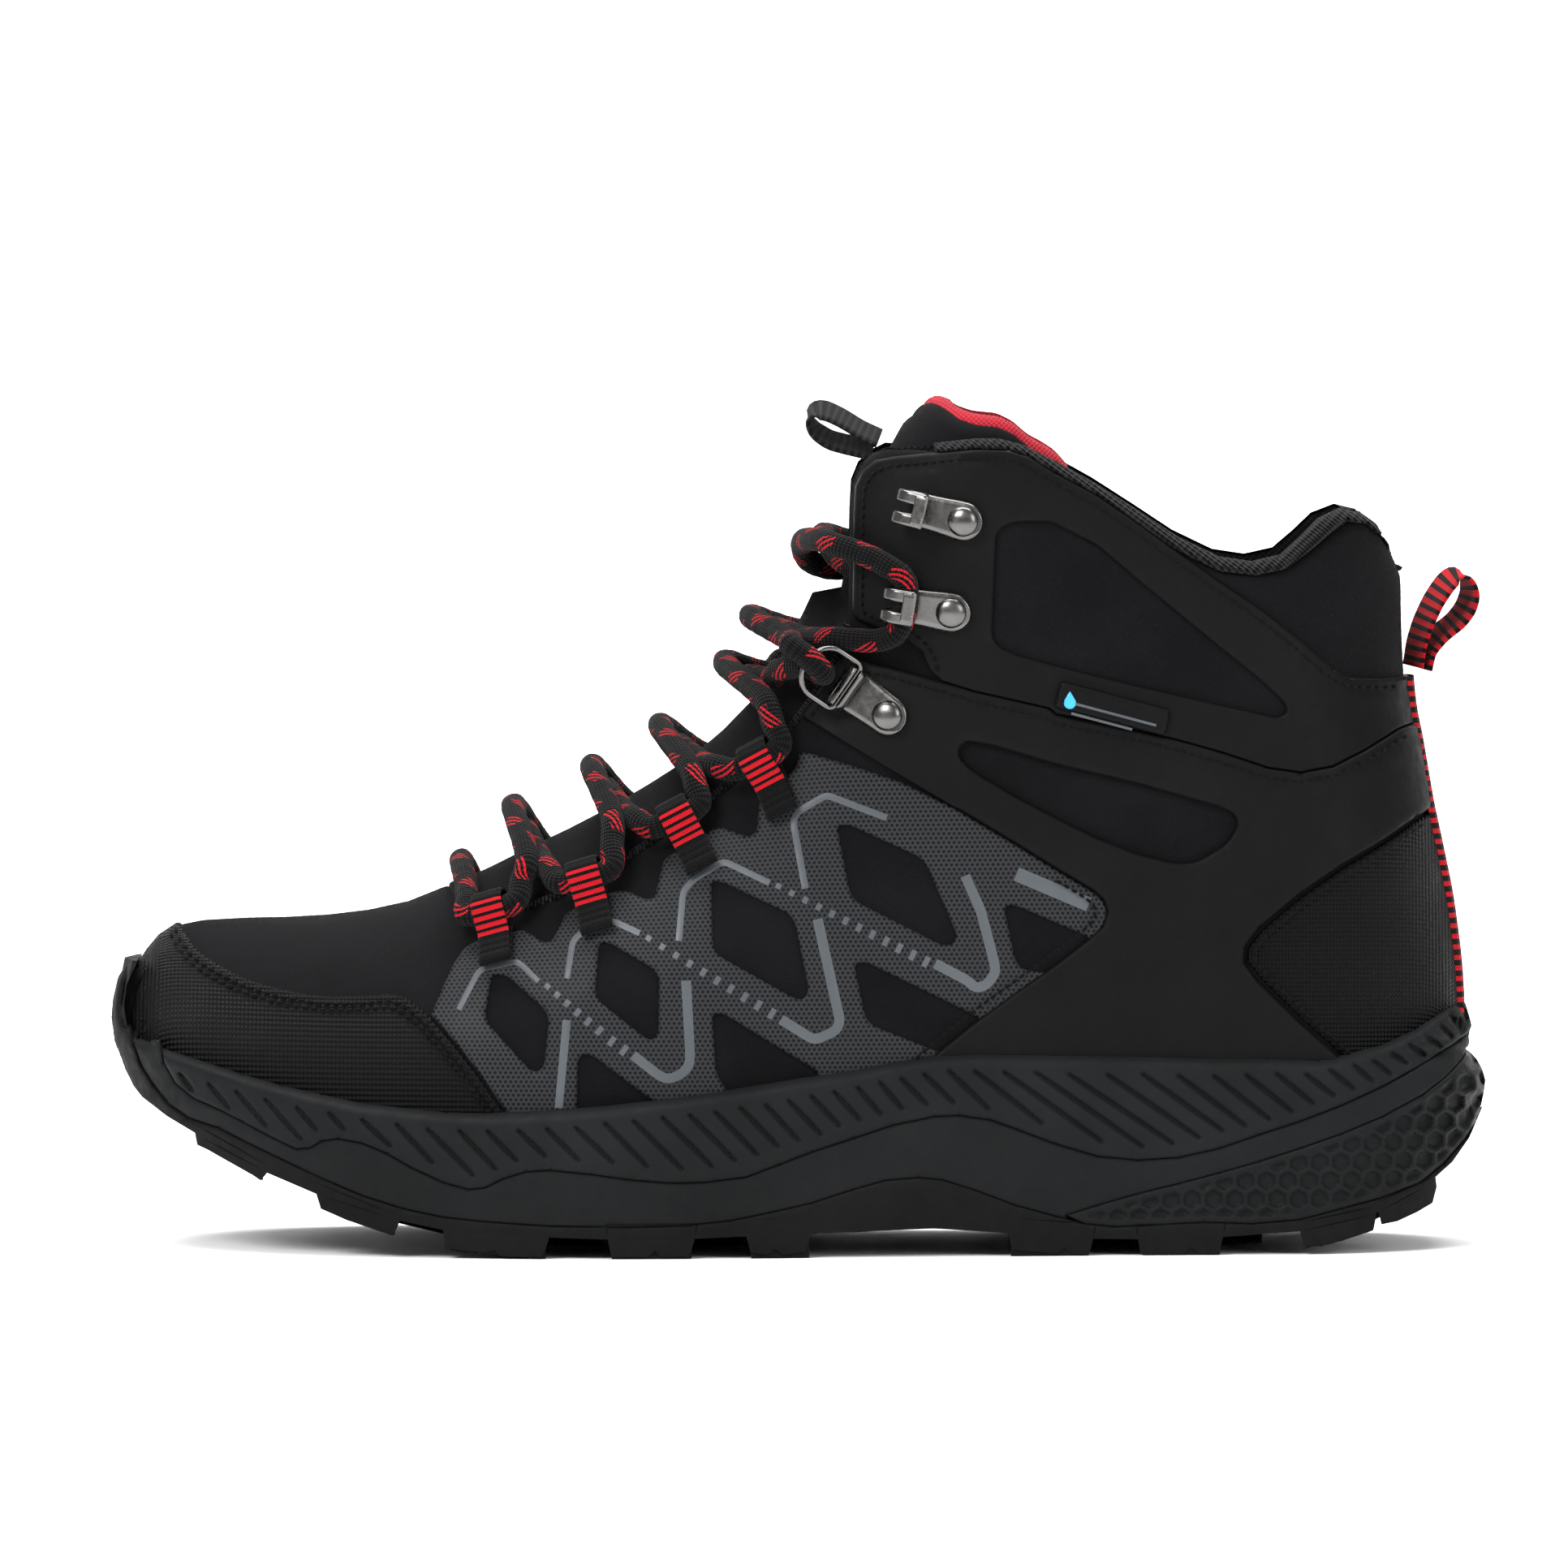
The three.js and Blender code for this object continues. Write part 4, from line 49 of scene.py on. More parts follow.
# ---- side-view lines of the boot, [x, z] in millimetres ----
C = {
    'CF': [(-142.07, 32.7), (-144.18, 38.34), (-145.59, 44.51), (-145.95, 50.32), (-145.06, 55.96), (-143.48, 60.19), (-141.36, 63.72), (-138.54, 67.07), (-135.37, 69.18), (-130.26, 70.24), (-120.56, 70.77), (-111.75, 70.95), (-102.94, 71.47), (-94.12, 72.53), (-85.31, 74.47), (-76.15, 78.17), (-67.69, 81.87), (-58.87, 86.28), (-50.06, 90.51), (-41.25, 95.09), (-32.43, 100.38), (-23.62, 106.02), (-16.57, 112.02), (-10.4, 118.36), (-5.64, 124.71), (-2.12, 131.76), (1.06, 137.93), (4.58, 145.51), (8.11, 153.44), (12.16, 161.72), (16.75, 169.65), (21.33, 177.59), (26.62, 186.4), (31.37, 194.33)],
    'CB': [(-139.95, 31.99), (-135.55, 30.58), (-129.38, 28.82), (-120.56, 26.35), (-102.94, 22.65), (-85.31, 20.18), (-67.69, 19.3), (-50.06, 20.18), (-32.43, 22.12), (-14.81, 24.41), (2.82, 27.23), (20.45, 29.7), (38.07, 31.11), (73.33, 31.11), (108.58, 30.76), (126.2, 31.46), (135.9, 32.87), (140.83, 35.69), (142.42, 40.1), (143.13, 45.39), (143.3, 50.68), (143.13, 56.84), (142.6, 63.01), (141.72, 70.06), (140.66, 77.12), (139.42, 83.28), (138.01, 89.98), (136.6, 96.5), (135.37, 103.55), (134.14, 110.61), (132.9, 116.77), (132.2, 122.94), (131.67, 131.76), (131.49, 138.81), (131.14, 145.86), (130.43, 152.03), (129.38, 158.2), (127.97, 165.25), (126.2, 174.06)],
    'RIBF': [(-143.48, 36.22), (-145.77, 46.27), (-143.48, 60.19), (-135.37, 69.18), (-120.56, 70.77), (-102.94, 71.47), (-85.31, 74.47), (-67.69, 81.87), (-50.06, 90.51), (-32.43, 100.38), (-16.57, 112.02), (-7.76, 121.53), (-3.35, 129.11), (4.58, 145.51), (12.16, 161.72), (21.33, 177.59), (31.37, 194.33)],
    'RIBB': [(-139.95, 31.99), (-138.72, 31.64), (-135.55, 30.58), (-132.02, 29.52), (-118.8, 26), (-97.65, 21.59), (-74.74, 19.48), (-48.3, 20.36), (-18.33, 23.88), (18.68, 29.52), (68.04, 31.11), (140.83, 35.69), (143.3, 50.68), (139.42, 83.28), (134.14, 110.61), (131.49, 138.81), (126.2, 174.06)],
    'FEATHER': [(-144.36, 36.93), (-138.19, 35.69), (-129.38, 32.17), (-120.56, 29.52), (-102.94, 25.82), (-85.31, 23.35), (-67.69, 22.47), (-50.06, 23.35), (-32.43, 25.29), (-14.81, 27.59), (2.82, 30.41), (20.45, 32.87), (38.07, 34.28), (73.33, 34.28), (108.58, 33.93), (126.2, 34.64), (135.9, 35.87), (143.83, 38.34)],
    'MIDTOP': [(-147, 48.03), (-144.89, 45.92), (-141.72, 44.86), (-138.19, 43.63), (-129.38, 41.33), (-120.56, 38.87), (-111.75, 36.57), (-102.94, 34.81), (-94.12, 33.05), (-85.31, 32.17), (-76.5, 31.29), (-67.69, 31.11), (-58.87, 31.46), (-50.06, 31.99), (-41.25, 32.7), (-32.43, 33.75), (-23.62, 34.81), (-14.81, 36.05), (-5.99, 37.46), (2.82, 38.87), (11.63, 40.1), (20.45, 41.86), (29.26, 43.27), (38.07, 43.63), (55.7, 43.27), (73.33, 42.92), (90.95, 42.39), (101.53, 42.39), (112.1, 41.86), (115.63, 42.22), (119.15, 43.27), (126.2, 45.04), (133.25, 48.03), (140.31, 52.44), (143.83, 54.55), (149.12, 54.91)],
    'PART': [(-138.9, 45.39), (-137.84, 40.45), (-135.37, 36.22), (-131.14, 33.05), (-125.85, 31.11), (-120.56, 28.64), (-113.51, 25.12), (-108.58, 23), (-105.58, 23.35), (-102.94, 24.94), (-99.41, 25.47), (-94.12, 24.59), (-88.84, 22.47), (-83.55, 19.48), (-76.5, 16.3), (-71.21, 14.89), (-67.69, 15.25), (-63.81, 17.19), (-58.87, 18.77), (-53.58, 19.12), (-44.77, 18.24), (-35.96, 17.01), (-27.14, 16.3), (-20.09, 16.48), (-11.28, 17.54), (-4.23, 20.18), (2.82, 22.83), (11.63, 25.65), (20.45, 28.47), (29.26, 30.23), (34.55, 30.41), (41.6, 29.35), (46.89, 27.41), (55.7, 24.06), (64.51, 21.42), (73.33, 20.53), (82.14, 21.06), (90.95, 23), (99.76, 26), (108.58, 28.82), (117.39, 32.17), (126.2, 36.05), (135.02, 40.45), (143.83, 45.04), (150.88, 48.56)],
    'HEXTOP': [(57.81, 8.73), (64.51, 10.84), (73.33, 13.31), (82.14, 15.42), (90.95, 17.71), (99.76, 20.18), (108.58, 23), (117.39, 26), (126.2, 29.52), (135.02, 33.93), (140.31, 37.46), (143.83, 40.45), (146.3, 42.74), (152.64, 47.15)],
    'OUTLINE': [(-144.18, 61.6), (-145.24, 59.84), (-146.47, 56.84), (-147, 52.44), (-146.3, 48.03), (-144.71, 43.63), (-143.13, 39.22), (-140.48, 35.34), (-136.96, 31.46), (-132.55, 28.64), (-125.85, 26.88), (-120.56, 24.41), (-111.75, 20.53), (-102.94, 16.66), (-94.12, 13.13), (-85.31, 10.49), (-76.5, 8.73), (-67.69, 7.84), (-53.58, 6.96), (-39.48, 6.79), (-23.62, 7.14), (-14.81, 8.02), (-5.99, 9.78), (2.82, 11.72), (11.63, 14.54), (18.68, 16.48), (25.73, 17.01), (31.02, 16.48), (38.07, 14.19), (46.89, 10.84), (55.7, 8.37), (61.87, 6.79), (68.04, 6.08), (76.85, 6.43), (87.43, 6.96), (98, 6.61), (108.58, 7.49), (117.39, 9.78), (126.2, 11.9), (135.02, 14.89), (140.31, 18.95), (145.24, 23.88), (148.41, 28.11), (152.64, 34.81)],
    'GROUND': [(-152.29, 43.63), (-148.77, 38.34), (-146.12, 33.75), (-144.18, 30.93), (-138.19, 26.7), (-130.26, 22.47), (-116.16, 15.78), (-103.29, 10.14), (-87.43, 4.85), (-72.97, 1.32), (-55.35, 0), (-32.43, 0), (2.82, 0), (45.12, 0), (73.33, 0), (92.71, 0), (108.58, 0.97), (124.44, 4.85), (137.66, 11.37), (143.83, 15.78), (147.71, 21.06), (149.47, 26), (152.64, 31.29)],
    'LUGBASE': [(-152.29, 45.39), (-148.24, 39.04), (-145.24, 34.46), (-143.13, 32.34), (-137.31, 28.64), (-129.38, 24.59), (-115.28, 17.89), (-102.94, 12.96), (-87.07, 8.2), (-74.74, 5.73), (-55.35, 4.67), (-39.48, 4.14), (-21.86, 4.32), (-9.52, 4.85), (2.82, 5.38), (11.63, 5.38), (20.45, 5.9), (29.26, 6.08), (38.07, 5.55), (45.12, 5.02), (62.75, 3.61), (73.33, 3.44), (90.95, 3.79), (108.58, 5.02), (124.44, 8.37), (135.9, 14.01), (142.07, 18.95), (145.95, 23.88), (148.41, 28.11), (152.64, 34.81)],
    'TOETIP': [(-146.65, 63.01), (-147.18, 59.84), (-148.59, 57.55), (-149.65, 52.79), (-150, 48.91), (-149.29, 43.63), (-147.53, 39.22), (-145.95, 34.46), (-145.24, 31.29)],
    'HEELTIP': [(143.83, 61.25), (144.01, 54.73), (145.24, 52.97), (146.47, 48.91), (147, 46.45), (146.3, 45.21), (146.83, 44.33), (145.95, 42.39), (148.24, 39.92), (149.47, 37.46), (150, 35.34), (149.47, 31.82), (148.77, 28.64), (148.77, 24.24), (147.71, 18.95)],
    'THROAT': [(-76.85, 80.29), (-75.44, 77.82), (-72.09, 74.65), (-67.69, 73.06), (-60.63, 74.12), (-51.82, 77.12), (-41.25, 83.11), (-32.43, 88.4), (-23.62, 94.57), (-14.81, 101.44), (-7.76, 107.43), (-1.59, 113.6), (3.35, 120.12), (7.23, 126.47), (9.52, 131.76), (10.4, 136.16)],
    'FLAP': [(10.75, 137.4), (10.93, 149.38), (11.1, 159.96), (11.46, 166.3), (13.04, 170.18), (16.04, 172.83), (19.04, 174.24)],
    'COLLAR': [(19.04, 174.24), (29.26, 175.29), (38.07, 176.35), (43.36, 176.35), (48.65, 174.94), (55.7, 171.42), (64.51, 166.48), (73.33, 160.84), (82.14, 155.02), (90.95, 150.79), (98, 149.74), (104.17, 151.15), (108.58, 155.02), (112.46, 158.9), (117.39, 161.02), (122.68, 159.96), (126.56, 157.31), (129.02, 153.79), (130.79, 149.38), (136.78, 145.86)],
    'KNIT': [(13.4, 169.12), (16.57, 171.77), (20.45, 172.65), (29.26, 173.53), (38.07, 174.41), (45.12, 174.24), (49.53, 172.83), (55.7, 169.12), (64.51, 164.37), (73.33, 158.2), (82.14, 152.2), (90.95, 147.97), (98.88, 147.09), (105.05, 148.33), (110.34, 152.03), (115.63, 156.43), (118.8, 158.55), (123.03, 157.84), (126.91, 154.67), (129.73, 150.79), (131.84, 147.27), (136.78, 143.21)],
    'TOECAP': [(-135.9, 71.83), (-135.37, 69.71), (-134.49, 67.95), (-131.67, 64.6), (-127.26, 61.96), (-120.56, 58.96), (-111.75, 56.67), (-102.94, 55.43), (-94.12, 55.61), (-88.84, 56.32), (-86.19, 56.14), (-83.55, 54.55), (-80.02, 51.73), (-74.74, 45.92), (-69.45, 39.39), (-65.57, 33.75), (-60.63, 26.88)],
    'FILM': [(-79.85, 51.03), (-77.38, 57.02), (-74.74, 62.66), (-72.27, 66.19), (-69.45, 67.6), (-66.63, 68.3), (-59.58, 70.06), (-57.11, 68.65), (-54.99, 67.24), (-53.41, 67.77), (-50.59, 73.24), (-50.06, 73.94), (-40.89, 78.17), (-37.72, 78.7), (-32.43, 76.59), (-31.2, 77.12), (-29.79, 83.11), (-29.26, 85.22), (-20.09, 90.86), (-17.27, 92.27), (-10.93, 90.16), (-9.17, 91.04), (-8.64, 96.5), (-8.11, 98.62), (-0.71, 104.96), (0, 108.49), (2.82, 108.14), (11.63, 105.67), (22.21, 102.14), (34.55, 96.15)],
    'FILM2': [(34.55, 96.15), (38.07, 94.04), (46.89, 88.75), (55.7, 83.28), (63.63, 78.53), (65.92, 76.41), (66.63, 73.94), (65.57, 70.77), (62.4, 67.95), (55.7, 62.84), (46.89, 56.67), (38.07, 50.32), (29.26, 43.27), (23.97, 38.34), (20.45, 35.69)],
    'W1': [(-66.27, 60.55), (-63.1, 60.37), (-54.99, 53.5), (-53.94, 51.38), (-54.99, 41.16), (-56.4, 39.75), (-57.99, 40.28), (-66.98, 49.97), (-67.69, 51.73)],
    'W2': [(-43.01, 67.77), (-40.72, 67.42), (-31.37, 62.13), (-30.14, 60.19), (-30.32, 48.21), (-31.55, 46.62), (-32.96, 47.15), (-43.18, 55.26), (-43.89, 57.02)],
    'W3': [(-18.86, 80.82), (-16.39, 80.46), (-2.29, 73.94), (-0.88, 72.18), (2.12, 57.37), (1.23, 55.43), (-0.53, 55.43), (-17.63, 65.13), (-18.51, 66.89)],
    'W4': [(8.28, 92.8), (10.93, 92.8), (25.91, 85.93), (27.67, 84.17), (34.2, 69.01), (33.31, 66.89), (31.02, 66.89), (12.34, 76.41), (11.1, 78.17)],
    'W5': [(-47.59, 42.92), (-46.18, 43.98), (-44.24, 43.27), (-31.37, 33.4), (-31.37, 30.23), (-47.94, 28.47)],
    'W6': [(-18.68, 52.44), (-16.39, 52.44), (4.05, 39.75), (4.58, 35.69), (-13.92, 33.05), (-16.75, 37.63), (-17.8, 39.75)],
    'W7': [(11.99, 63.01), (14.45, 63.37), (39.31, 51.03), (30.67, 43.63), (16.04, 49.62), (14.45, 51.38)],
    'W8': [(44.42, 75.35), (46.89, 75.35), (63.1, 68.3), (53.58, 60.72), (48.3, 61.6), (46.89, 63.37)],
    'ANKLE': [(0, 116.6), (2.82, 119.77), (6.7, 125.06), (9.17, 129.29), (20.45, 126.82), (31.02, 123.82), (38.07, 121.71), (54.29, 118.01), (55.7, 116.77), (73.33, 113.25), (82.14, 111.13), (90.95, 108.67), (101.53, 105.14), (108.58, 104.08), (115.63, 105.32), (122.68, 108.67), (130.61, 113.07), (133.61, 113.78), (136.78, 113.78)],
    'ANKLE2': [(142.07, 99.15), (137.66, 95.09), (134.14, 93.68), (126.2, 88.75), (117.39, 83.81), (108.58, 77.82), (99.76, 70.42), (96.77, 66.54), (96.42, 63.01), (99.59, 58.78), (108.58, 49.97), (117.39, 42.22), (120.92, 38.34)],
    'ANKLEWIN': [(34.55, 109.55), (36.31, 110.78), (41.6, 109.9), (55.7, 105.67), (73.33, 101.44), (90.95, 96.5), (94.12, 94.92), (94.83, 92.63), (92.19, 88.57), (86.02, 84.87), (81.79, 84.52), (73.33, 86.63), (64.51, 90.16), (55.7, 94.57), (46.89, 99.15), (38.07, 104.44), (35.25, 106.9)],
    'EYEFRONT': [(28.38, 123.65), (28.03, 126.82), (26.26, 130.52), (22.56, 133.34), (16.04, 135.46), (12.16, 137.22), (11.63, 139.51), (11.81, 159.96), (12.16, 165.95), (13.75, 169.3), (16.57, 171.59), (20.45, 172.47)],
    'EYETOP': [(20.45, 172.47), (29.26, 173.35), (38.07, 174.24), (45.12, 174.06), (49.53, 172.65), (55.7, 168.95), (64.51, 164.19), (73.33, 158.2), (80.38, 153.08), (90.95, 145.68), (99.76, 139.69), (108.58, 132.81), (115.63, 126.65), (119.15, 124.53), (126.2, 124), (136.78, 124.18)],
    'EYEWIN': [(42.83, 155.73), (44.42, 157.49), (47.24, 158.2), (54.29, 158.37), (64.51, 153.08), (73.33, 145.51), (82.14, 138.28), (90.95, 131.05), (99.76, 124), (105.05, 119.07), (105.58, 116.95), (103.64, 116.07), (90.95, 118.89), (73.33, 122.94), (55.7, 127.35), (46.89, 129.82), (43.18, 131.58), (41.95, 133.7)],
    'LABEL': [(56.58, 124), (80.38, 117.66), (79.14, 112.02), (55.17, 118.36)],
    'HEELPATCH': [(142.07, 94.39), (137.66, 94.39), (134.14, 92.8), (126.2, 88.04), (117.57, 83.11), (108.93, 77.12), (100.29, 69.89), (97.47, 66.19), (97.12, 63.19), (100.12, 59.31), (109.11, 50.5), (118.27, 42.22), (124.44, 36.57)],
    'TONGUETOP': [(23.62, 183.75), (25.38, 184.99), (27.5, 186.05), (29.61, 186.05), (32.08, 184.64), (34.55, 182.7), (38.07, 181.46), (43.36, 180.93), (46.89, 179.17), (50.06, 176.35), (53.41, 174.59), (56.05, 172.83), (57.81, 170.89), (60.99, 167.01), (64.51, 159.96)],
    'HEELBACK': [(131.32, 144.98), (131.49, 138.81), (131.67, 131.76), (132.2, 122.94), (132.9, 116.77), (134.14, 110.61), (135.37, 103.55), (136.6, 96.5), (138.01, 89.98), (139.42, 83.28), (140.66, 77.12), (141.72, 70.06), (142.6, 63.01), (143.13, 56.84)],
}
LACE = [[27,-29.07,147],[20,-26.44,147.2],[13.5,-21.1,147.6],[9.2,-13.46,149.6],[6.6,-0.8,152.6],[7.5,34.42,153.6],[18.33,40.9,149.38],[23.02,42.91,145.4],[21.43,42.23,135.14],[17.8,40.36,132.99],[8.11,36.81,133.17],[1.55,32.35,132.72],[-10.46,-0.67,136.96],[-1.56,-30.65,132.38],[-1.35,-47.09,131.68],[1.55,-47.33,129.65],[3.99,-46.85,127.39],[5.27,-44.08,125.9],[4.65,-40.75,125.78],[2.2,-38.82,127.04],[-3.71,-30.6,126.3],[-5.77,-21,124.04],[-11.07,-0.5,123.77],[-6.84,23.89,118.74],[-5.46,33.3,114.59],[-3.87,36.71,109.79],[-13.49,34.34,104.57],[-17.54,33.66,105.15],[-20.58,32.04,105.59],[-30.31,0.04,113.19],[-22.97,-32.59,103.43],[-22.32,-34.63,100.84],[-21.45,-36.43,97.38],[-31.37,-36.33,92.19],[-34.8,-32.61,93.66],[-37.38,-23.88,94.77],[-41.95,0.75,99.1],[-40.04,25.4,92.67],[-40.15,35.08,88.38],[-40.29,39.66,83.39],[-51.01,39.68,80.15],[-53.79,37.49,82.78],[-55.87,35.93,84.75],[-62.33,1.86,95.49],[-58.93,-33.13,83.68],[-59.98,-34.53,80.42],[-61.33,-37.47,76.21],[-71.7,-34.45,73.23],[-71.86,-29.28,75.91],[-71.98,-23.49,77.93],[-73.71,2.95,83.38],[-71.89,28.88,77.93],[-71.68,34.55,75.91],[-71.4,39.23,73.22],[-60.66,40.04,76.31],[-59.58,35.39,80.48],[-58.76,27.47,83.63],[-59.65,1.86,90.12],[-55.99,-24.72,84.8],[-54.02,-33.49,82.87],[-51.41,-38.92,80.31],[-40.79,-40.42,83.54],[-40.45,-36.67,88.47],[-40.17,-33,92.68],[-45.11,0.75,104.2],[-37.3,33,94.69],[-34.66,34.73,93.51],[-31.13,35.6,91.93],[-21.21,35.37,97.12],[-22.17,32.41,100.68],[-22.9,24.27,103.35],[-26.21,0.04,108.8],[-20.61,-23.91,105.63],[-17.61,-32.23,105.24],[-13.6,-35.3,104.72],[-4.03,-37.93,109.91],[-5.55,-36.14,114.66],[-6.86,-33.14,118.73],[-16.18,-0.5,126.93],[-5.77,29.34,124.05],[-3.7,31.42,126.33],[2.22,37.15,127.08],[4.7,39.04,125.81],[5.38,42.36,125.93],[4.17,45.15,127.42],[1.74,45.68,129.69],[-1.16,45.49,131.73],[-1.5,19.65,132.39],[-5.07,-0.67,134.34],[1.55,-20.1,132.72],[8.11,-38.54,133.17],[17.8,-42.33,132.99],[21.45,-44.3,135.14],[23.05,-44.96,145.4],[18.33,-42.87,149.38],[7.5,-36.13,153.6],[0.8,-0.8,152.4],[2.5,6.2,148.8],[7.4,11.7,147],[13.5,19.22,147.6],[20,24.44,147.2],[27,27.04,147]]
LOOPS = [[1,"lateral",[[-0.02537,-0.37832,-0.92533,-65.04113],[-0.74561,-0.60941,0.2696,-33.57968],[-0.6659,0.69677,-0.26662,72.00353]]],[1,"medial",[[0.13106,-0.25392,0.95831,-65.04113],[0.74861,0.65906,0.07225,37.06509],[-0.64993,0.70793,0.27646,72.00353]]],[2,"lateral",[[0.11724,-0.29529,-0.94819,-44.94712],[-0.69681,-0.70475,0.13332,-36.9228],[-0.7076,0.64508,-0.28839,79.40658]]],[2,"medial",[[0.22497,-0.18087,0.95743,-44.94712],[0.63261,0.77447,-0.00234,36.64884],[-0.74107,0.60621,0.28865,79.40658]]],[3,"lateral",[[0.34594,-0.30934,-0.8858,-25.20564],[-0.65363,-0.75676,0.00901,-33.42895],[-0.67313,0.57586,-0.46399,92.53819]]],[3,"medial",[[0.39218,-0.24756,0.88595,-25.20564],[0.56683,0.82357,-0.02079,32.27495],[-0.7245,0.51034,0.46331,92.53819]]],[4,"lateral",[[0.29199,-0.42986,-0.85438,-7.13866],[-0.5213,-0.82048,0.23464,-33.4165],[-0.80186,0.37687,-0.46366,105.84606]]],[4,"medial",[[0.32429,-0.39633,0.85893,-7.13866],[0.4794,0.85161,0.21196,32.20076],[-0.81548,0.34303,0.46617,105.84606]]]]
HOOKS = [["upper","lateral",[[-0.96053,-0.24371,-0.13415,30.75793],[0.13346,0.01942,-0.99086,-42.09156],[0.24409,-0.96965,0.01387,159.78261]],[[-0.96053,-0.24371,-0.13415,35.40132],[0.13346,0.01942,-0.99086,-43.94813],[0.24409,-0.96965,0.01387,158.57838]],10.0036,6.0018],["upper","medial",[[-0.95893,0.24302,-0.14629,30.75793],[-0.14523,0.02236,0.98914,40.10024],[0.24365,0.96976,0.01385,159.78261]],[[-0.95893,0.24302,-0.14629,35.37875],[-0.14523,0.02236,0.98914,42.01364],[0.24365,0.96976,0.01385,158.58054]],10.0036,6.0018],["lower","lateral",[[-0.98593,-0.15357,-0.06605,28.02585],[0.05679,0.06395,-0.99634,-41.0616],[0.15723,-0.98607,-0.05433,139.60047]],[[-0.98593,-0.15357,-0.06605,32.87495],[0.05679,0.06395,-0.99634,-42.54107],[0.15723,-0.98607,-0.05433,138.74935]],9.9974,5.9987],["lower","medial",[[-0.98551,0.15314,-0.07294,28.02585],[-0.0636,0.06499,0.99586,39.04358],[0.15724,0.98607,-0.0543,139.60047]],[[-0.98551,0.15314,-0.07294,32.8646],[-0.0636,0.06499,0.99586,40.55655],[0.15724,0.98607,-0.0543,138.7493]],9.9974,5.9987]]
RINGS = [["lateral",[[-0.78844,-0.56863,-0.23457,15.24677],[0.23479,0.07428,-0.96921,-39.17867],[0.56854,-0.81923,0.07494,119.41833]],[[-0.78844,-0.56863,-0.23457,18.99608],[0.23479,0.07428,-0.96921,-41.54203],[0.56854,-0.81923,0.07494,116.60164]],10.2248,5.1124,3.3],["medial",[[-0.79122,0.57232,-0.21546,15.24677],[-0.21924,0.06344,0.97361,37.25687],[0.57088,0.81757,0.07528,119.41833]],[[-0.79122,0.57232,-0.21546,19.03324],[-0.21924,0.06344,0.97361,39.54605],[0.57088,0.81757,0.07528,116.5901]],10.2248,5.1124,3.3]]
PRINTS = [([(-73.5, 53.14), (-69.1, 61.6), (-60.81, 63.54), (-56.23, 59.31)], 1.3), ([(-35.78, 43.63), (-29.96, 39.04), (-28.2, 38.34), (-25.38, 39.39), (-23.62, 41.33), (-23.44, 43.27), (-24.32, 59.67)], 2.3), ([(-50.06, 51.2), (-51.82, 32.17)], 1.9), ([(-50.06, 60.02), (-48.82, 68.13), (-46.18, 70.42), (-40.36, 72.36), (-34.37, 69.71)], 1.4), ([(-3.88, 51.2), (3.35, 46.62), (7.93, 48.56), (8.99, 50.5), (7.93, 55.08), (4.05, 72.71)], 2.4), ([(-25.91, 68.13), (-25.03, 78.53), (-22.74, 81.17), (-16.22, 85.05), (-6.35, 80.46)], 1.5), ([(29.44, 63.01), (36.49, 59.31), (38.25, 57.55), (40.54, 58.25), (42.66, 61.08), (41.95, 64.42), (39.31, 74.47), (35.96, 81.87)], 2.4), ([(1.41, 79.23), (-1.23, 93.51), (-0.53, 95.45), (5.99, 99.32), (19.04, 94.39)], 1.6), ([(47.06, 82.23), (62.75, 75.53)], 3.4)]
DASHES = [([(-54.99, 58.84), (-53.58, 57.67)], 1.3), ([(-52.88, 57.08), (-51.47, 55.91)], 1.49), ([(-50.76, 55.32), (-49.36, 54.14)], 1.67), ([(-48.47, 53.38), (-47.07, 52.2)], 1.86), ([(-46.2, 51.42), (-44.76, 50.29)], 2.04), ([(-43.7, 49.51), (-42.32, 48.31)], 2.23), ([(-41.1, 47.16), (-39.63, 46.08)], 2.41), ([(-38.46, 45.22), (-36.98, 44.14)], 2.6), ([(-33.22, 69.13), (-31.65, 68.18)], 1.3), ([(-30.26, 67.33), (-28.69, 66.38)], 1.44), ([(-27.3, 65.53), (-25.74, 64.57)], 1.59), ([(-24.34, 63.73), (-22.78, 62.77)], 1.73), ([(-21.39, 61.92), (-19.82, 60.97)], 1.88), ([(-18.43, 60.12), (-16.86, 59.17)], 2.02), ([(-15.47, 58.32), (-13.91, 57.37)], 2.17), ([(-12.51, 56.52), (-10.95, 55.57)], 2.31), ([(-9.56, 54.72), (-7.99, 53.76)], 2.46), ([(-6.6, 52.92), (-5.03, 51.96)], 2.6), ([(-5.22, 80.18), (-3.59, 79.34)], 1.3), ([(-2.32, 78.69), (-0.69, 77.85)], 1.42), ([(0.58, 77.2), (2.21, 76.36)], 1.54), ([(3.48, 75.71), (5.11, 74.87)], 1.65), ([(6.38, 74.22), (8.01, 73.38)], 1.77), ([(9.28, 72.73), (10.91, 71.89)], 1.89), ([(12.18, 71.24), (13.81, 70.4)], 2.01), ([(15.08, 69.75), (16.71, 68.91)], 2.13), ([(17.98, 68.26), (19.61, 67.42)], 2.25), ([(20.88, 66.77), (22.51, 65.93)], 2.36), ([(23.78, 65.28), (25.41, 64.44)], 2.48), ([(26.68, 63.79), (28.31, 62.95)], 2.6)]
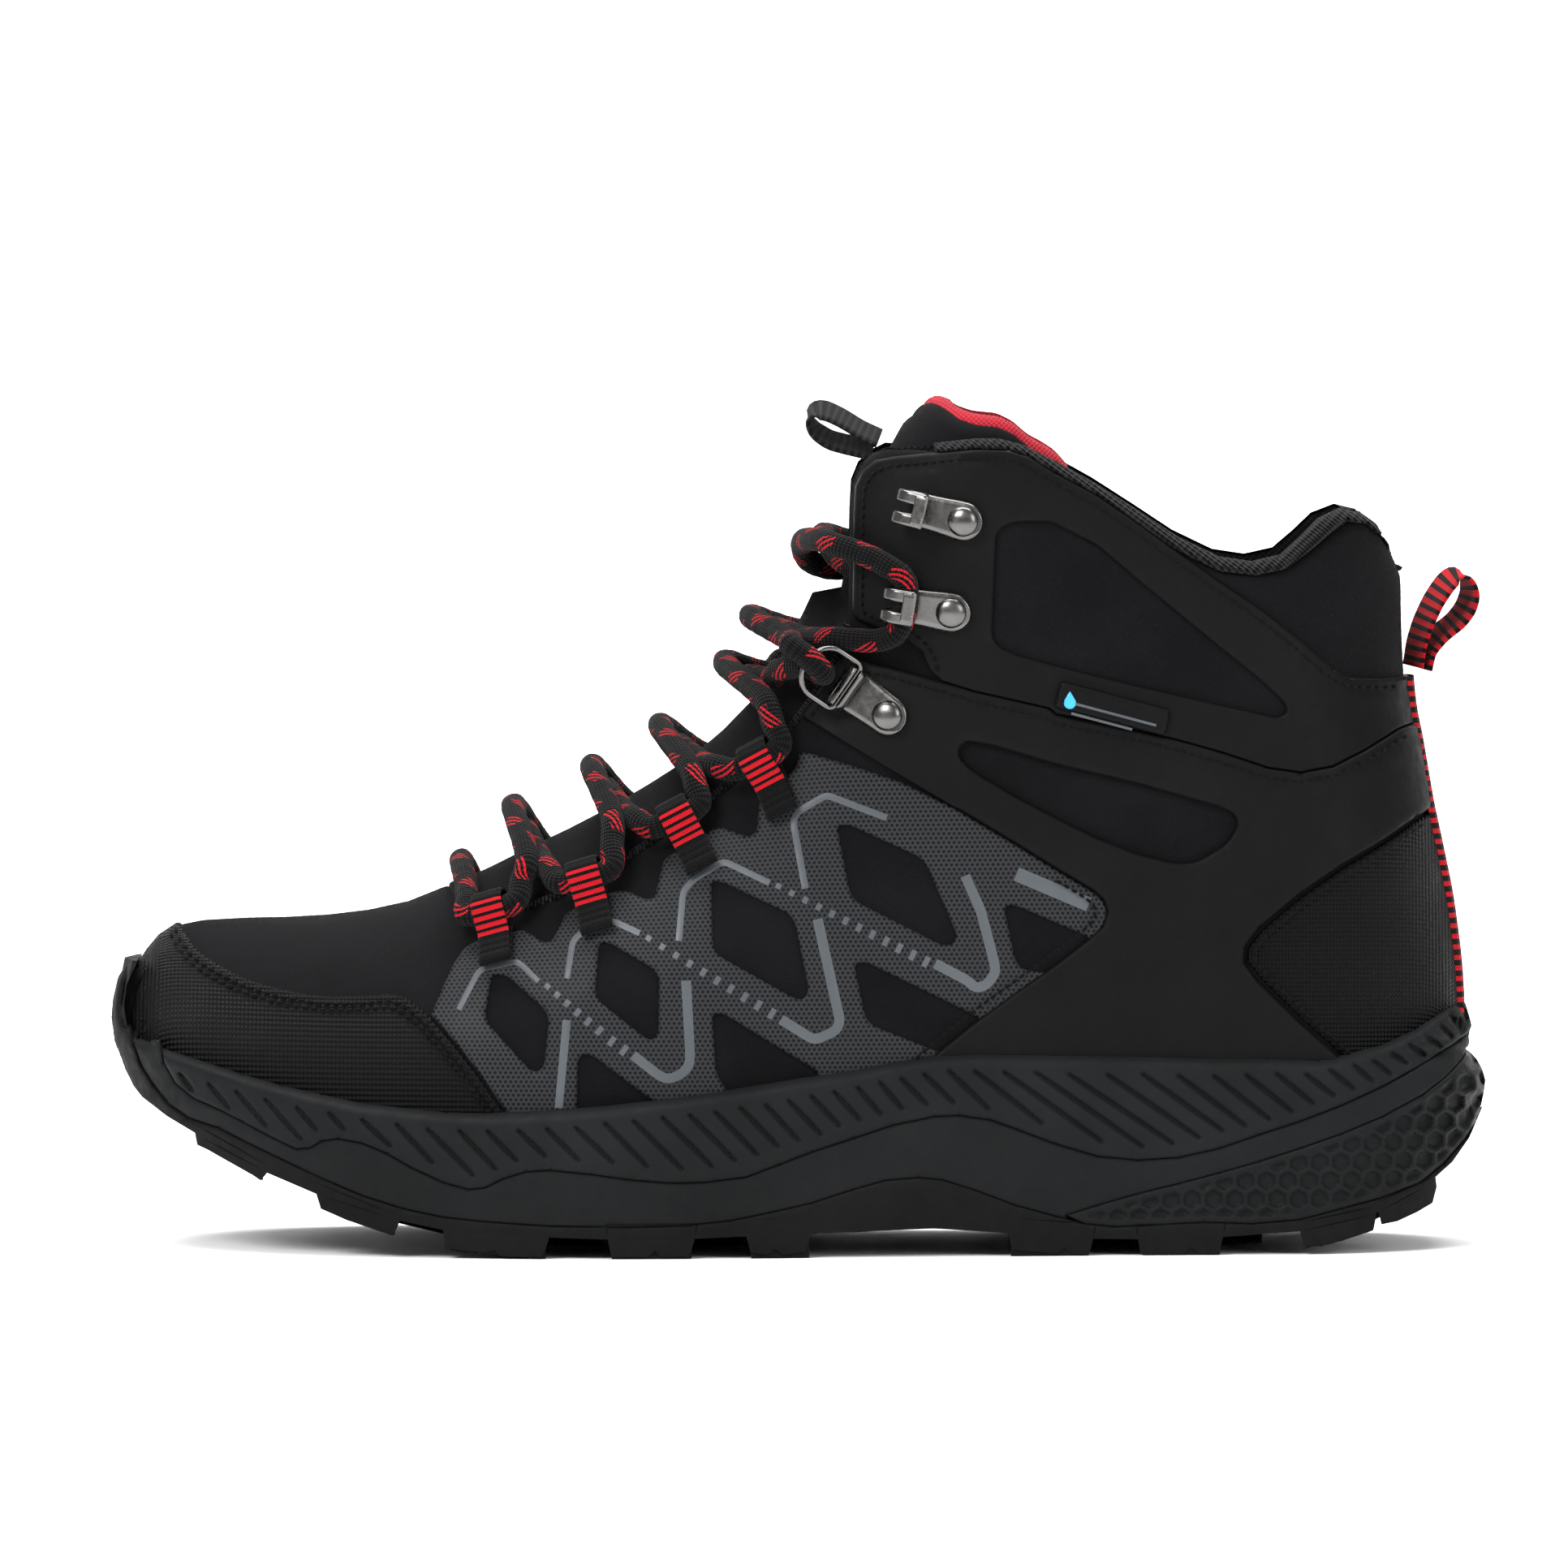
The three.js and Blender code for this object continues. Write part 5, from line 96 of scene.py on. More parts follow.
SLASHES = [[(-134.31, 38.34), (-131.49, 34.81)], [(-127.97, 36.57), (-123.21, 31.29)], [(-121.97, 35.34), (-115.1, 27.76)], [(-115.63, 33.93), (-107.34, 24.94)], [(-108.58, 32.17), (-104.17, 27.23)], [(-101.53, 31.11), (-98.0, 27.41)], [(-94.48, 29.88), (-87.96, 23.88)], [(-87.07, 29.0), (-78.79, 20.36)], [(-80.38, 28.11), (-69.8, 17.54)], [(-73.5, 27.76), (-65.04, 18.95)], [(-67.33, 27.59), (-60.63, 20.89)], [(-60.63, 27.76), (-54.47, 21.94)], [(-54.64, 28.29), (-47.24, 21.06)], [(-48.3, 28.47), (-39.84, 20.53)], [(-42.13, 29.52), (-32.43, 19.65)], [(-35.96, 30.05), (-24.85, 18.95)], [(-29.79, 30.76), (-18.33, 19.48)], [(-23.97, 31.29), (-13.4, 20.71)], [(-18.33, 31.82), (-8.64, 21.94)], [(-12.87, 32.7), (-4.23, 23.71)], [(-7.4, 33.23), (0.18, 24.94)], [(-2.47, 34.11), (4.94, 26.35)], [(2.47, 34.99), (8.99, 28.11)], [(7.4, 35.87), (13.4, 29.35)], [(12.51, 36.75), (17.8, 30.58)], [(17.27, 37.81), (22.56, 31.64)], [(21.86, 38.69), (27.85, 32.52)], [(26.79, 39.57), (33.67, 32.87)], [(32.08, 40.28), (41.25, 31.46)], [(37.54, 40.28), (53.06, 28.11)], [(43.71, 40.1), (66.1, 24.06)], [(50.41, 40.1), (75.09, 22.83)], [(57.64, 39.57), (81.61, 23.53)], [(66.1, 39.39), (87.25, 24.76)], [(73.85, 39.39), (92.19, 26.35)], [(81.61, 39.04), (97.12, 27.41)], [(89.37, 38.87), (102.23, 28.82)], [(96.42, 39.04), (106.99, 30.58)], [(103.11, 39.22), (111.57, 32.34)], [(109.46, 39.04), (115.98, 34.11)], [(114.75, 39.92), (120.21, 35.52)], [(120.04, 40.8), (124.27, 37.1)], [(124.27, 41.69), (128.32, 38.51)], [(128.32, 43.1), (132.02, 40.63)], [(132.2, 44.86), (135.9, 42.39)], [(135.9, 46.62), (139.6, 43.98)], [(139.25, 48.74), (142.07, 45.92)], [(141.72, 50.68), (144.71, 46.97)], [(144.18, 52.09), (146.65, 47.68)]]
LUG_SIDES = [[(-137.31, 27.41), (-137.31, 26.0), (-134.14, 24.59), (-133.25, 26.88)], [(-131.49, 27.76), (-130.61, 22.83), (-122.33, 19.48), (-116.51, 15.78), (-115.28, 17.19), (-114.22, 18.95)], [(-105.41, 16.3), (-104.35, 13.66), (-103.29, 10.14), (-97.65, 7.84), (-87.6, 4.67), (-86.55, 6.61), (-85.84, 8.73)], [(-77.03, 8.37), (-76.67, 5.73), (-76.15, 2.2), (-67.69, 1.32), (-65.57, 1.85), (-64.16, 0.44), (-55.35, 0.44), (-53.94, 3.97), (-53.58, 6.61)], [(-41.6, 7.49), (-41.25, 4.49), (-40.36, 0.44), (-32.43, 0.44), (-31.02, 1.85), (-29.79, 0.44), (-23.62, 0.44), (-22.39, 4.32), (-21.86, 7.49)], [(-11.63, 8.37), (-11.28, 4.49), (-10.4, 1.32), (-6.87, 0.79), (-5.11, 2.03), (-3.35, 0.79), (1.41, 1.32), (2.82, 5.73), (2.82, 8.37)], [(45.12, 8.37), (45.12, 5.73), (46.0, 1.32), (55.7, 0.44), (57.46, 1.67), (58.87, 0.44), (62.75, 0.26), (63.63, 3.61), (64.16, 6.61)], [(72.97, 6.61), (73.33, 3.61), (73.85, 0.09), (83.02, 0.09), (84.78, 1.67), (86.55, 0.26), (90.95, 0.26), (91.83, 4.32), (92.36, 6.96)], [(108.23, 6.96), (108.58, 3.97), (109.11, 1.85), (112.98, 1.67), (117.39, 2.73), (124.44, 4.85), (124.97, 7.49), (124.97, 10.14)], [(125.32, 11.02), (125.68, 8.37), (126.2, 6.08), (129.73, 6.61), (134.14, 8.37), (137.66, 10.14), (138.54, 13.66), (138.19, 16.3)]]
HEEL_LOOP = [(134.14, 125.94), (134.84, 130.7), (136.25, 135.28), (138.54, 140.22), (141.36, 144.45), (143.83, 146.39), (145.77, 145.15), (146.65, 141.98), (145.77, 138.81), (143.48, 135.81), (139.95, 133.17), (136.96, 129.82), (136.08, 125.41)]
TAB = [(16.22, 173.0), (11.63, 174.06), (6.7, 175.29), (3.35, 177.59), (2.12, 180.41), (3.35, 181.99), (5.99, 181.82), (9.87, 179.88), (13.75, 177.41), (17.63, 175.65)]
W_LAT = [[-150, 45], [-120, 47.5], [-94, 49.5], [-68, 51], [-41, 51], [-15, 48], [20, 42.5], [56, 38], [91, 35.5], [126, 34.5], [150, 34]]
W_MED = [[-150, 46], [-120, 48.5], [-94, 49.5], [-68, 49], [-41, 46], [-15, 41.5], [20, 37.5], [56, 35.5], [91, 34.5], [126, 34], [150, 34]]
Y_CENTRE = [[-150, 7], [-94, 4.5], [-41, 0.8], [20, -1], [91, 0], [150, 0]]
W_SHAFT = [[40, 34], [80, 35], [105, 37], [130, 37.5], [160, 39.5], [190, 41]]
RIDGE_R = [[-150, 33], [-120, 36], [-94, 40], [-41, 46], [20, 47], [60, 44], [150, 40]]
SHIFT = [[-76, 0], [-50, 3.2], [-14, 3.6], [-2, 5.5], [5, 9], [12, 12], [31, 13]]
TOE_ROUND, HEEL_ROUND, WALL, SHAFT_INSET = 58.0, 36.0, 5.3, 13.6


def table(tab, v):
    t = np.asarray(tab, float)
    xs, ys, n = t[:, 0], t[:, 1], len(t)
    v = np.clip(np.asarray(v, float), xs[0], xs[-1])
    i = np.clip(np.searchsorted(xs, v, side="right") - 1, 0, n - 2)
    sl = np.array([(ys[min(n - 1, k + 1)] - ys[max(0, k - 1)]) / (xs[min(n - 1, k + 1)] - xs[max(0, k - 1)]) for k in range(n)])
    h = xs[i + 1] - xs[i]
    u = (v - xs[i]) / h
    u2, u3 = u * u, u * u * u
    return (2 * u3 - 3 * u2 + 1) * ys[i] + (u3 - 2 * u2 + u) * h * sl[i] + (3 * u2 - 2 * u3) * ys[i + 1] + (u3 - u2) * h * sl[i + 1]


def linear(tab, v):
    t = np.asarray(tab, float)
    return np.interp(v, t[:, 0], t[:, 1])


def smooth(a, b, v):
    t = np.clip((np.asarray(v, float) - a) / (b - a), 0, 1)
    return t * t * (3 - 2 * t)


def cap(u, p=2.1):
    v = 1 - np.clip(u, 0, 1)
    return np.power(np.maximum(0, 1 - np.power(v, p)), 1 / p)


def normals(line):
    p = np.asarray(line, float)
    a = np.vstack([p[:1], p[:-1]])
    b = np.vstack([p[1:], p[-1:]])
    d = b - a
    l = np.hypot(d[:, 0], d[:, 1])
    return np.stack([-d[:, 1] / l, d[:, 0] / l], 1)


CF = np.array(C["CF"], float)
_o = np.where(CF[:, 1] > 60, table(SHIFT, CF[:, 0]), 0)
QUARTER_RIDGE = (CF + normals(CF) * _o[:, None])[8:]
TONGUE_RIDGE = CF[8:]
TOE_X = [[z, x] for x, z in C["CF"][:9]]
HEEL_X = [[35.7, 140.8], [40.1, 142.4], [45.4, 143.1], [50.7, 143.3], [56.8, 143.1]] + [[z, x] for x, z in C["HEELBACK"][::-1][1:]] + [[152, 130.4], [158.2, 129.4], [165.2, 128], [174, 126.2]]
SOLE_TOE = [[z, x] for x, z in C["TOETIP"][::-1]]
SOLE_HEEL = [[z, x] for x, z in C["HEELTIP"][::-1]]


def ridge_distance(ridge, x, z):
    best = np.full(x.shape, np.inf)
    sign = np.ones(x.shape)
    n = len(ridge)
    for i in range(n - 1):
        ax, az = ridge[i]
        dx, dz = ridge[i + 1][0] - ax, ridge[i + 1][1] - az
        t = ((x - ax) * dx + (z - az) * dz) / (dx * dx + dz * dz)
        if i > 0:
            t = np.maximum(0, t)
        if i < n - 2:
            t = np.minimum(1, t)
        d = np.hypot(x - ax - t * dx, z - az - t * dz)
        m = d < best
        best = np.where(m, d, best)
        sign = np.where(m, np.where((x - ax) * dz - (z - az) * dx >= 0, 1, -1), sign)
    return sign * best


def toe_x(z):
    z = np.asarray(z, float)
    return np.where(z > TOE_X[8][0], TOE_X[8][1] + 16 * (1 - np.exp(np.minimum(0, (TOE_X[8][0] - z) / 10))), linear(TOE_X, z))


def centre(x):
    return table(Y_CENTRE, x)


def H(kind, x, z, side, o):
    """Half width at (x, z) of the upper's outer face (q), the tongue's (t) or the sole's side (s), moved out by o."""
    x, z = np.broadcast_arrays(np.asarray(x, float), np.asarray(z, float))
    wt = W_LAT if side < 0 else W_MED
    if kind == "s":
        st = np.where(z < SOLE_TOE[0][0], SOLE_TOE[0][1] + (SOLE_TOE[0][0] - z) * 0.5, linear(SOLE_TOE, z))
        sh = np.where(z < SOLE_HEEL[0][0], SOLE_HEEL[0][1] - (SOLE_HEEL[0][0] - z) * 0.35, linear(SOLE_HEEL, z))
        flare = 2.2 * smooth(42, 14, z) - 0.14 * np.maximum(0, z - 42)
        w = table(wt, x) + WALL + flare + o
        return w * cap((x - st + o) / (TOE_ROUND + o)) * cap((sh + o - x) / (HEEL_ROUND + 3 + o))
    b = smooth(55, 112, z)
    w = table(wt, x) * (1 - b) + table(W_SHAFT, z) * b
    r = table(RIDGE_R, x) * (1 - b) + 36 * b

    def shape(ridge, oo):
        return (w + oo) * cap((ridge_distance(ridge, x, z) + oo) / (r + oo)) * cap((x - toe_x(z) + oo) / (TOE_ROUND + oo)) * cap((table(HEEL_X, z) + oo - x) / (HEEL_ROUND + oo))

    if kind == "q":
        return shape(QUARTER_RIDGE, o)
    return np.minimum(shape(TONGUE_RIDGE, o), shape(QUARTER_RIDGE, o - SHAFT_INSET) + (1 - smooth(122, 143, z)) * 40)


def P3(x, y, z):
    """Drawing millimetres to row-frame metres."""
    return np.stack([(np.asarray(x) + DX) / 1000, (np.asarray(y) + DY) / 1000, np.asarray(z) / 1000], -1)


def spot(x, z, side, o, kind="q"):
    y = centre(x) + side * np.maximum(0, H(kind, x, z, side, o))
    return np.stack([np.asarray(x, float) + 0 * y, y, np.asarray(z, float) + 0 * y], -1)


# ---- outlines ----
def resample(line, step, closed=False):
    p = np.asarray(line, float)
    if closed:
        p = np.vstack([p, p[:1]])
    d = np.hypot(*np.diff(p, axis=0).T) if p.shape[1] == 2 else np.linalg.norm(np.diff(p, axis=0), axis=1)
    keep = np.concatenate([[True], d > 1e-9])
    p = p[keep]
    d = np.linalg.norm(np.diff(p, axis=0), axis=1)
    s = np.concatenate([[0], np.cumsum(d)])
    n = max(2, int(round(s[-1] / step)))
    q = np.linspace(0, s[-1], n + 1)
    out = np.stack([np.interp(q, s, p[:, k]) for k in range(p.shape[1])], 1)
    return out[:-1] if closed else out


def soften(line, step, sigma, closed=False):
    """Resampled and smoothed, so traced corners get a small radius."""
    p = resample(line, step, closed)
    if sigma <= 0:
        return p
    k = int(math.ceil(3 * sigma / step))
    w = np.exp(-0.5 * (np.arange(-k, k + 1) * step / sigma) ** 2)
    w /= w.sum()
    n = len(p)
    if closed:
        e = np.vstack([p[-k:], p, p[:k]]) if n > k else p[np.arange(-k, n + k) % n]
    else:
        e = np.vstack([2 * p[0] - p[1:k + 1][::-1] if n > k else np.repeat(p[:1], k, 0), p, 2 * p[-1] - p[-k - 1:-1][::-1] if n > k else np.repeat(p[-1:], k, 0)])
    out = np.stack([np.convolve(e[:, c], w, "valid") for c in range(p.shape[1])], 1)
    return out[:n]


def area2(p):
    return 0.5 * float(np.sum(p[:, 0] * np.roll(p[:, 1], -1) - np.roll(p[:, 0], -1) * p[:, 1]))


def dist_to(pts, line, closed=False):
    p = np.asarray(line, float)
    if closed:
        p = np.vstack([p, p[:1]])
    best = np.full(len(pts), 1e9)
    for a, b in zip(p[:-1], p[1:]):
        d = b - a
        l2 = float(d @ d) or 1e-12
        t = np.clip(((pts - a) @ d) / l2, 0, 1)
        best = np.minimum(best, np.hypot(pts[:, 0] - a[0] - t * d[0], pts[:, 1] - a[1] - t * d[1]))
    return best


def inward(pts, ring, flat=()):
    """Distance to a counterclockwise ring and the ring's inward normal there."""
    p = np.vstack([ring, ring[:1]])
    best = np.full(len(pts), 1e9)
    nx, nz = np.zeros(len(pts)), np.zeros(len(pts))
    for a, b in zip(p[:-1], p[1:]):
        if any(abs(a[1] - z) < 0.3 and abs(b[1] - z) < 0.3 for z in flat):
            continue
        d = b - a
        l2 = float(d @ d) or 1e-12
        t = np.clip(((pts - a) @ d) / l2, 0, 1)
        q = np.hypot(pts[:, 0] - a[0] - t * d[0], pts[:, 1] - a[1] - t * d[1])
        m = q < best
        l = math.sqrt(l2)
        best = np.where(m, q, best)
        nx, nz = np.where(m, -d[1] / l, nx), np.where(m, d[0] / l, nz)
    return best, nx, nz


_regions = {}


def bisect(f, lo, hi, n=40):
    """Boundary of f > 0 between lo (outside) and hi (inside)."""
    lo, hi = np.asarray(lo, float).copy(), np.asarray(hi, float).copy()
    for _ in range(n):
        m = (lo + hi) / 2
        inside = f(m) > 0.002
        hi = np.where(inside, m, hi)
        lo = np.where(inside, lo, m)
    return hi


def region(kind, side, o, zlo, zhi):
    key = (kind, side, round(o, 3), zlo, zhi)
    if key in _regions:
        return _regions[key]
    f = lambda x, z: H(kind, x, z, side, o)
    top = 58 if kind != "s" else zhi
    zs = np.arange(zlo, min(top, zhi) + 0.01, 1.2)
    xin = 60.0 if kind != "t" else 40.0
    front = np.stack([bisect(lambda x: f(x, zs), np.full(len(zs), -175.0), np.full(len(zs), xin)), zs], 1)
    parts = [front]
    if kind != "s":
        xs = np.arange(front[-1, 0] + 0.6, -58, 1.3)
        zt = bisect(lambda z: f(xs, z), np.full(len(xs), 140.0), np.full(len(xs), 36.0))
        parts.append(np.stack([xs, zt], 1))
        zz = np.arange(zt[-1] + 0.8, zhi + 0.01, 1.2)
        xi = np.full(len(zz), xin)
        parts.append(np.stack([bisect(lambda x: f(x, zz), np.full(len(zz), -175.0), xi), zz], 1))
    zb = np.arange(zhi, zlo - 0.01, -1.2)
    parts.append(np.stack([bisect(lambda x: f(x, zb), np.full(len(zb), 175.0), np.full(len(zb), xin)), zb], 1))
    _regions[key] = np.vstack(parts)
    return _regions[key]


def inside_poly(pts, poly):
    x, y = pts[:, 0], pts[:, 1]
    r = np.zeros(len(pts), bool)
    n = len(poly)
    for i in range(n):
        x0, y0 = poly[i]
        x1, y1 = poly[(i + 1) % n]
        if y0 == y1:
            continue
        c = ((y0 > y) != (y1 > y)) & (x < (x1 - x0) * (y - y0) / (y1 - y0) + x0)
        r ^= c
    return r


def bump_in(d, rad):
    t = np.clip(d / rad, 0, 1)
    return 1 - np.sqrt(np.clip(1 - (1 - t) ** 2, 0, 1))


_arc = {}


def arc_v(kind, side, x, z):
    """Length up the surface from the feather line, so textures don't stretch on the rounded parts."""
    key = (kind, side)
    if key not in _arc:
        xs = np.arange(-152, 153, 3.0)
        zs = np.arange(0, 200, 1.0)
        X, Z = np.meshgrid(xs, zs, indexing="ij")
        Y = np.maximum(0, H(kind, X, Z, side, 0))
        dv = np.hypot(1.0, np.clip(np.diff(Y, axis=1), -6, 6))
        V = np.concatenate([np.zeros((len(xs), 1)), np.cumsum(dv, 1)], 1)
        _arc[key] = (xs, zs, V)
    xs, zs, V = _arc[key]
    fx = np.clip((np.asarray(x) - xs[0]) / 3.0, 0, len(xs) - 1.001)
    fz = np.clip(np.asarray(z), 0, 198.99)
    i, j = fx.astype(int), fz.astype(int)
    a, b = fx - i, fz - j
    return (V[i, j] * (1 - a) + V[i + 1, j] * a) * (1 - b) + (V[i, j + 1] * (1 - a) + V[i + 1, j + 1] * a) * b


def patch(kind, side, outer, holes=(), o1=1.0, edges=None, h=1.7, zlo=8, zhi=192, union=(), disp=None, skip=None, sil=True, rows=(0.14, 0.4, 0.85)):
    """A piece of the surface inside a side-view outline, lifted by o1, its edges rolled down by (drop, radius)."""
    outer = np.asarray(outer, float)
    reg = region(kind, side, o1, zlo, zhi)
    rings = [reg, outer] + [np.asarray(u, float) for u in union] + [np.asarray(q, float) for q in holes]
    rings = [r if area2(r) > 0 else r[::-1] for r in rings]
    verts, faces = [], []
    for r in rings:
        faces.append(list(range(len(verts), len(verts) + len(r))))
        verts += [tuple(p) for p in r]
    lo, hi = outer.min(0), outer.max(0)
    for u in union:
        lo, hi = np.minimum(lo, np.min(u, 0)), np.maximum(hi, np.max(u, 0))
    lo, hi = np.maximum(lo, reg.min(0)), np.minimum(hi, reg.max(0))
    gx, gz = np.arange(lo[0], hi[0] + h, h), np.arange(lo[1], hi[1] + h, h * 0.87)
    G = np.array([(x + (0.5 * h if j % 2 else 0), z) for j, z in enumerate(gz) for x in gx])
    use = inside_poly(G, reg)
    um = inside_poly(G, outer)
    for u in union:
        um |= inside_poly(G, np.asarray(u, float))
    for q in holes:
        um &= ~inside_poly(G, np.asarray(q, float))
    G = G[use & um]
    loose = []
    if len(G):
        dr = dist_to(G, reg, True)
        dro = np.full(len(G), 9.0)
        for r in rings[1:]:
            dro = np.minimum(dro, dist_to(G, r, True))
        loose.append(G[(dr > (4.2 if sil else 0.6)) & (dro > 0.75 * h + 0.3)])
    # rows that follow the silhouette, close together where the surface turns over
    if sil:
        rp = resample(reg, 1.7, True)
        d = np.roll(rp, -1, 0) - np.roll(rp, 1, 0)
        l = np.hypot(d[:, 0], d[:, 1])
        n2 = np.stack([-d[:, 1] / l, d[:, 0] / l], 1) * (1 if area2(rp) > 0 else -1)
        for k, dd in enumerate((0.05, 0.16, 0.35, 0.62, 1.0, 1.5, 2.15, 2.9, 3.8)):
            q = rp + n2 * dd
            q = q[(k % 2)::1]
            m = inside_poly(q, reg)
            mm_ = inside_poly(q, outer)
            for u in union:
                mm_ |= inside_poly(q, np.asarray(u, float))
            for g in holes:
                mm_ &= ~inside_poly(q, np.asarray(g, float))
            q = q[m & mm_]
            if len(q):
                dro = np.full(len(q), 9.0)
                for r in rings[1:]:
                    dro = np.minimum(dro, dist_to(q, r, True))
                q = q[(dro > 0.25) & (dist_to(q, reg, True) > dd * 0.8)]
                loose.append(q)
    # rows just inside each outline, for the rolled edge
    for r in rings[1:]:
        rp = resample(r, 1.1, True)
        d = np.roll(rp, -1, 0) - np.roll(rp, 1, 0)
        l = np.hypot(d[:, 0], d[:, 1]) + 1e-9
        n2 = np.stack([-d[:, 1] / l, d[:, 0] / l], 1)
        for sgn in (1, -1):
            for dd in rows:
                q = rp + sgn * n2 * dd
                m = inside_poly(q, reg)
                mm_ = inside_poly(q, outer)
                for u in union:
                    mm_ |= inside_poly(q, np.asarray(u, float))
                for g in holes:
                    mm_ &= ~inside_poly(q, np.asarray(g, float))
                q = q[m & mm_]
                if len(q):
                    dro = np.full(len(q), 9.0)
                    for r2 in rings[1:]:
                        dro = np.minimum(dro, dist_to(q, r2, True))
                    q = q[(dro > dd * 0.7) & (dist_to(q, reg, True) > 0.05)]
                    loose.append(q)
    for q in loose:
        verts += [tuple(p) for p in q]
    cons = [(f[i], f[(i + 1) % len(f)]) for f in faces for i in range(len(f))]
    if kind != "s":
        fl = [(-170.0, C["FEATHER"][0][1])] + C["FEATHER"] + [(170.0, C["FEATHER"][-1][1])]
        cons += [(len(verts) + i, len(verts) + i + 1) for i in range(len(fl) - 1)]
        verts += fl
    vo, _, fo, _, _, _ = delaunay_2d_cdt([Vector(v) for v in verts], cons, [], 0, 1e-4, False)
    tri = np.array([(f[0], f[k], f[k + 1]) for f in fo for k in range(1, len(f) - 1)], int)
    V = np.array([tuple(v) for v in vo])
    mid = V[tri].mean(1)
    ok = inside_poly(mid, rings[1])
    for u in rings[2:2 + len(union)]:
        ok |= inside_poly(mid, u)
    ok &= inside_poly(mid, rings[0])
    for q in rings[2 + len(union):]:
        ok &= ~inside_poly(mid, q)
    if kind != "s":
        ok &= mid[:, 1] > linear(C["FEATHER"], mid[:, 0])
    tri = tri[ok]
    ar = (V[tri[:, 1]] - V[tri[:, 0]])[:, 0] * (V[tri[:, 2]] - V[tri[:, 0]])[:, 1] - (V[tri[:, 1]] - V[tri[:, 0]])[:, 1] * (V[tri[:, 2]] - V[tri[:, 0]])[:, 0]
    tri = np.where((ar < 0)[:, None], tri[:, ::-1], tri)
    if not len(tri):
        raise RuntimeError("an empty piece")
    used = np.unique(tri)
    remap = -np.ones(len(V), int)
    remap[used] = np.arange(len(used))
    V, tri = V[used], remap[tri]
    off = np.full(len(V), float(o1))
    if edges is None:
        edges = [(r, 1.2, 0.8, True) for r in rings[1:]]
    drop = np.zeros(len(V))
    for line, dd, rad, closed in edges:
        drop = np.maximum(drop, dd * bump_in(dist_to(V, line, closed), rad))
    off -= drop
    ring = rings[0]
    di, nx, nz = inward(V, ring, (zlo, zhi))
    onb = (di < 0.012) & (np.abs(V[:, 1] - zlo) > 0.05) & (np.abs(V[:, 1] - zhi) > 0.05)
    near_ = drop * (1 - smooth(0.0, 1.0, di / np.maximum(1.0, 1.6 * drop)))
    U0 = V.copy()
    V = V + np.stack([nx, nz], 1) * near_[:, None]
    if disp is not None:
        off += disp(U0[:, 0], U0[:, 1])
    hw = np.maximum(0, H(kind, V[:, 0], V[:, 1], side, off))
    hw[onb] = 0
    y = centre(V[:, 0]) + side * hw
    if side > 0:
        tri = tri[:, ::-1]
    uv = np.stack([V[:, 0], arc_v(kind, side, V[:, 0], V[:, 1]) * (1 if side < 0 else 1)], 1)
    return np.stack([V[:, 0], y, V[:, 1]], 1), tri, uv


def merge(*parts):
    v, f, u, n = [], [], [], 0
    for a in parts:
        v.append(a[0])
        f += [tuple(int(i) + n for i in t) for t in a[1]]
        u.append(a[2])
        n += len(a[0])
    return np.vstack(v), f, np.vstack(u)


def make(name, geo, mat, body=BOOT, replaces=(), weld=True, flat=False, mm=True, mats=None, fmat=None):
    v, f, u = geo
    co = P3(v[:, 0], v[:, 1], v[:, 2]) if mm else v
    me = bpy.data.meshes.new(name)
    me.from_pydata([tuple(c) for c in co.tolist()], [], [tuple(int(i) for i in t) for t in f])
    uvl = me.uv_layers.new(name="UVMap")
    idx = np.empty(len(me.loops), np.int32)
    me.loops.foreach_get("vertex_index", idx)
    uvl.data.foreach_set("uv", np.ascontiguousarray(u[idx], np.float32).ravel())
    if fmat is not None:
        me.polygons.foreach_set("material_index", np.asarray(fmat, np.int32))
    if weld:
        bm = bmesh.new()
        bm.from_mesh(me)
        bmesh.ops.remove_doubles(bm, verts=bm.verts, dist=2e-5)
        bmesh.ops.dissolve_degenerate(bm, dist=1e-6, edges=bm.edges)
        bm.to_mesh(me)
        bm.free()
    me.polygons.foreach_set("use_smooth", np.full(len(me.polygons), not flat))
    for m in (mats or [mat]):
        me.materials.append(m)
    me.update()
    ob = bpy.data.objects.new(name + "_look", me)
    bpy.context.scene.collection.objects.link(ob)
    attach(ob, body)
    if replaces:
        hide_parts(*replaces)
    return ob


# ---- swept shapes ----
def unit(v):
    return v / (np.linalg.norm(v, axis=-1, keepdims=True) + 1e-12)


def spline(pts, step, tension=0.5):
    p = np.asarray(pts, float)
    n = len(p)
    e = np.vstack([2 * p[0] - p[1], p, 2 * p[-1] - p[-2]])
    d = np.linalg.norm(np.diff(e, axis=0), axis=1) ** tension + 1e-9
    t = np.concatenate([[0], np.cumsum(d)])
    out = []
    for i in range(1, n):
        p0, p1, p2, p3 = e[i - 1], e[i], e[i + 1], e[i + 2]
        t0, t1, t2, t3 = t[i - 1], t[i], t[i + 1], t[i + 2]
        m = max(1, int(round(np.linalg.norm(p2 - p1) / step)))
        u = np.linspace(t1, t2, m, endpoint=False)[:, None]
        a1 = (t1 - u) / (t1 - t0) * p0 + (u - t0) / (t1 - t0) * p1
        a2 = (t2 - u) / (t2 - t1) * p1 + (u - t1) / (t2 - t1) * p2
        a3 = (t3 - u) / (t3 - t2) * p2 + (u - t2) / (t3 - t2) * p3
        b1 = (t2 - u) / (t2 - t0) * a1 + (u - t0) / (t2 - t0) * a2
        b2 = (t3 - u) / (t3 - t1) * a2 + (u - t1) / (t3 - t1) * a3
        out.append((t2 - u) / (t2 - t1) * b1 + (u - t1) / (t2 - t1) * b2)
    out.append(p[-1:])
    return np.vstack(out)


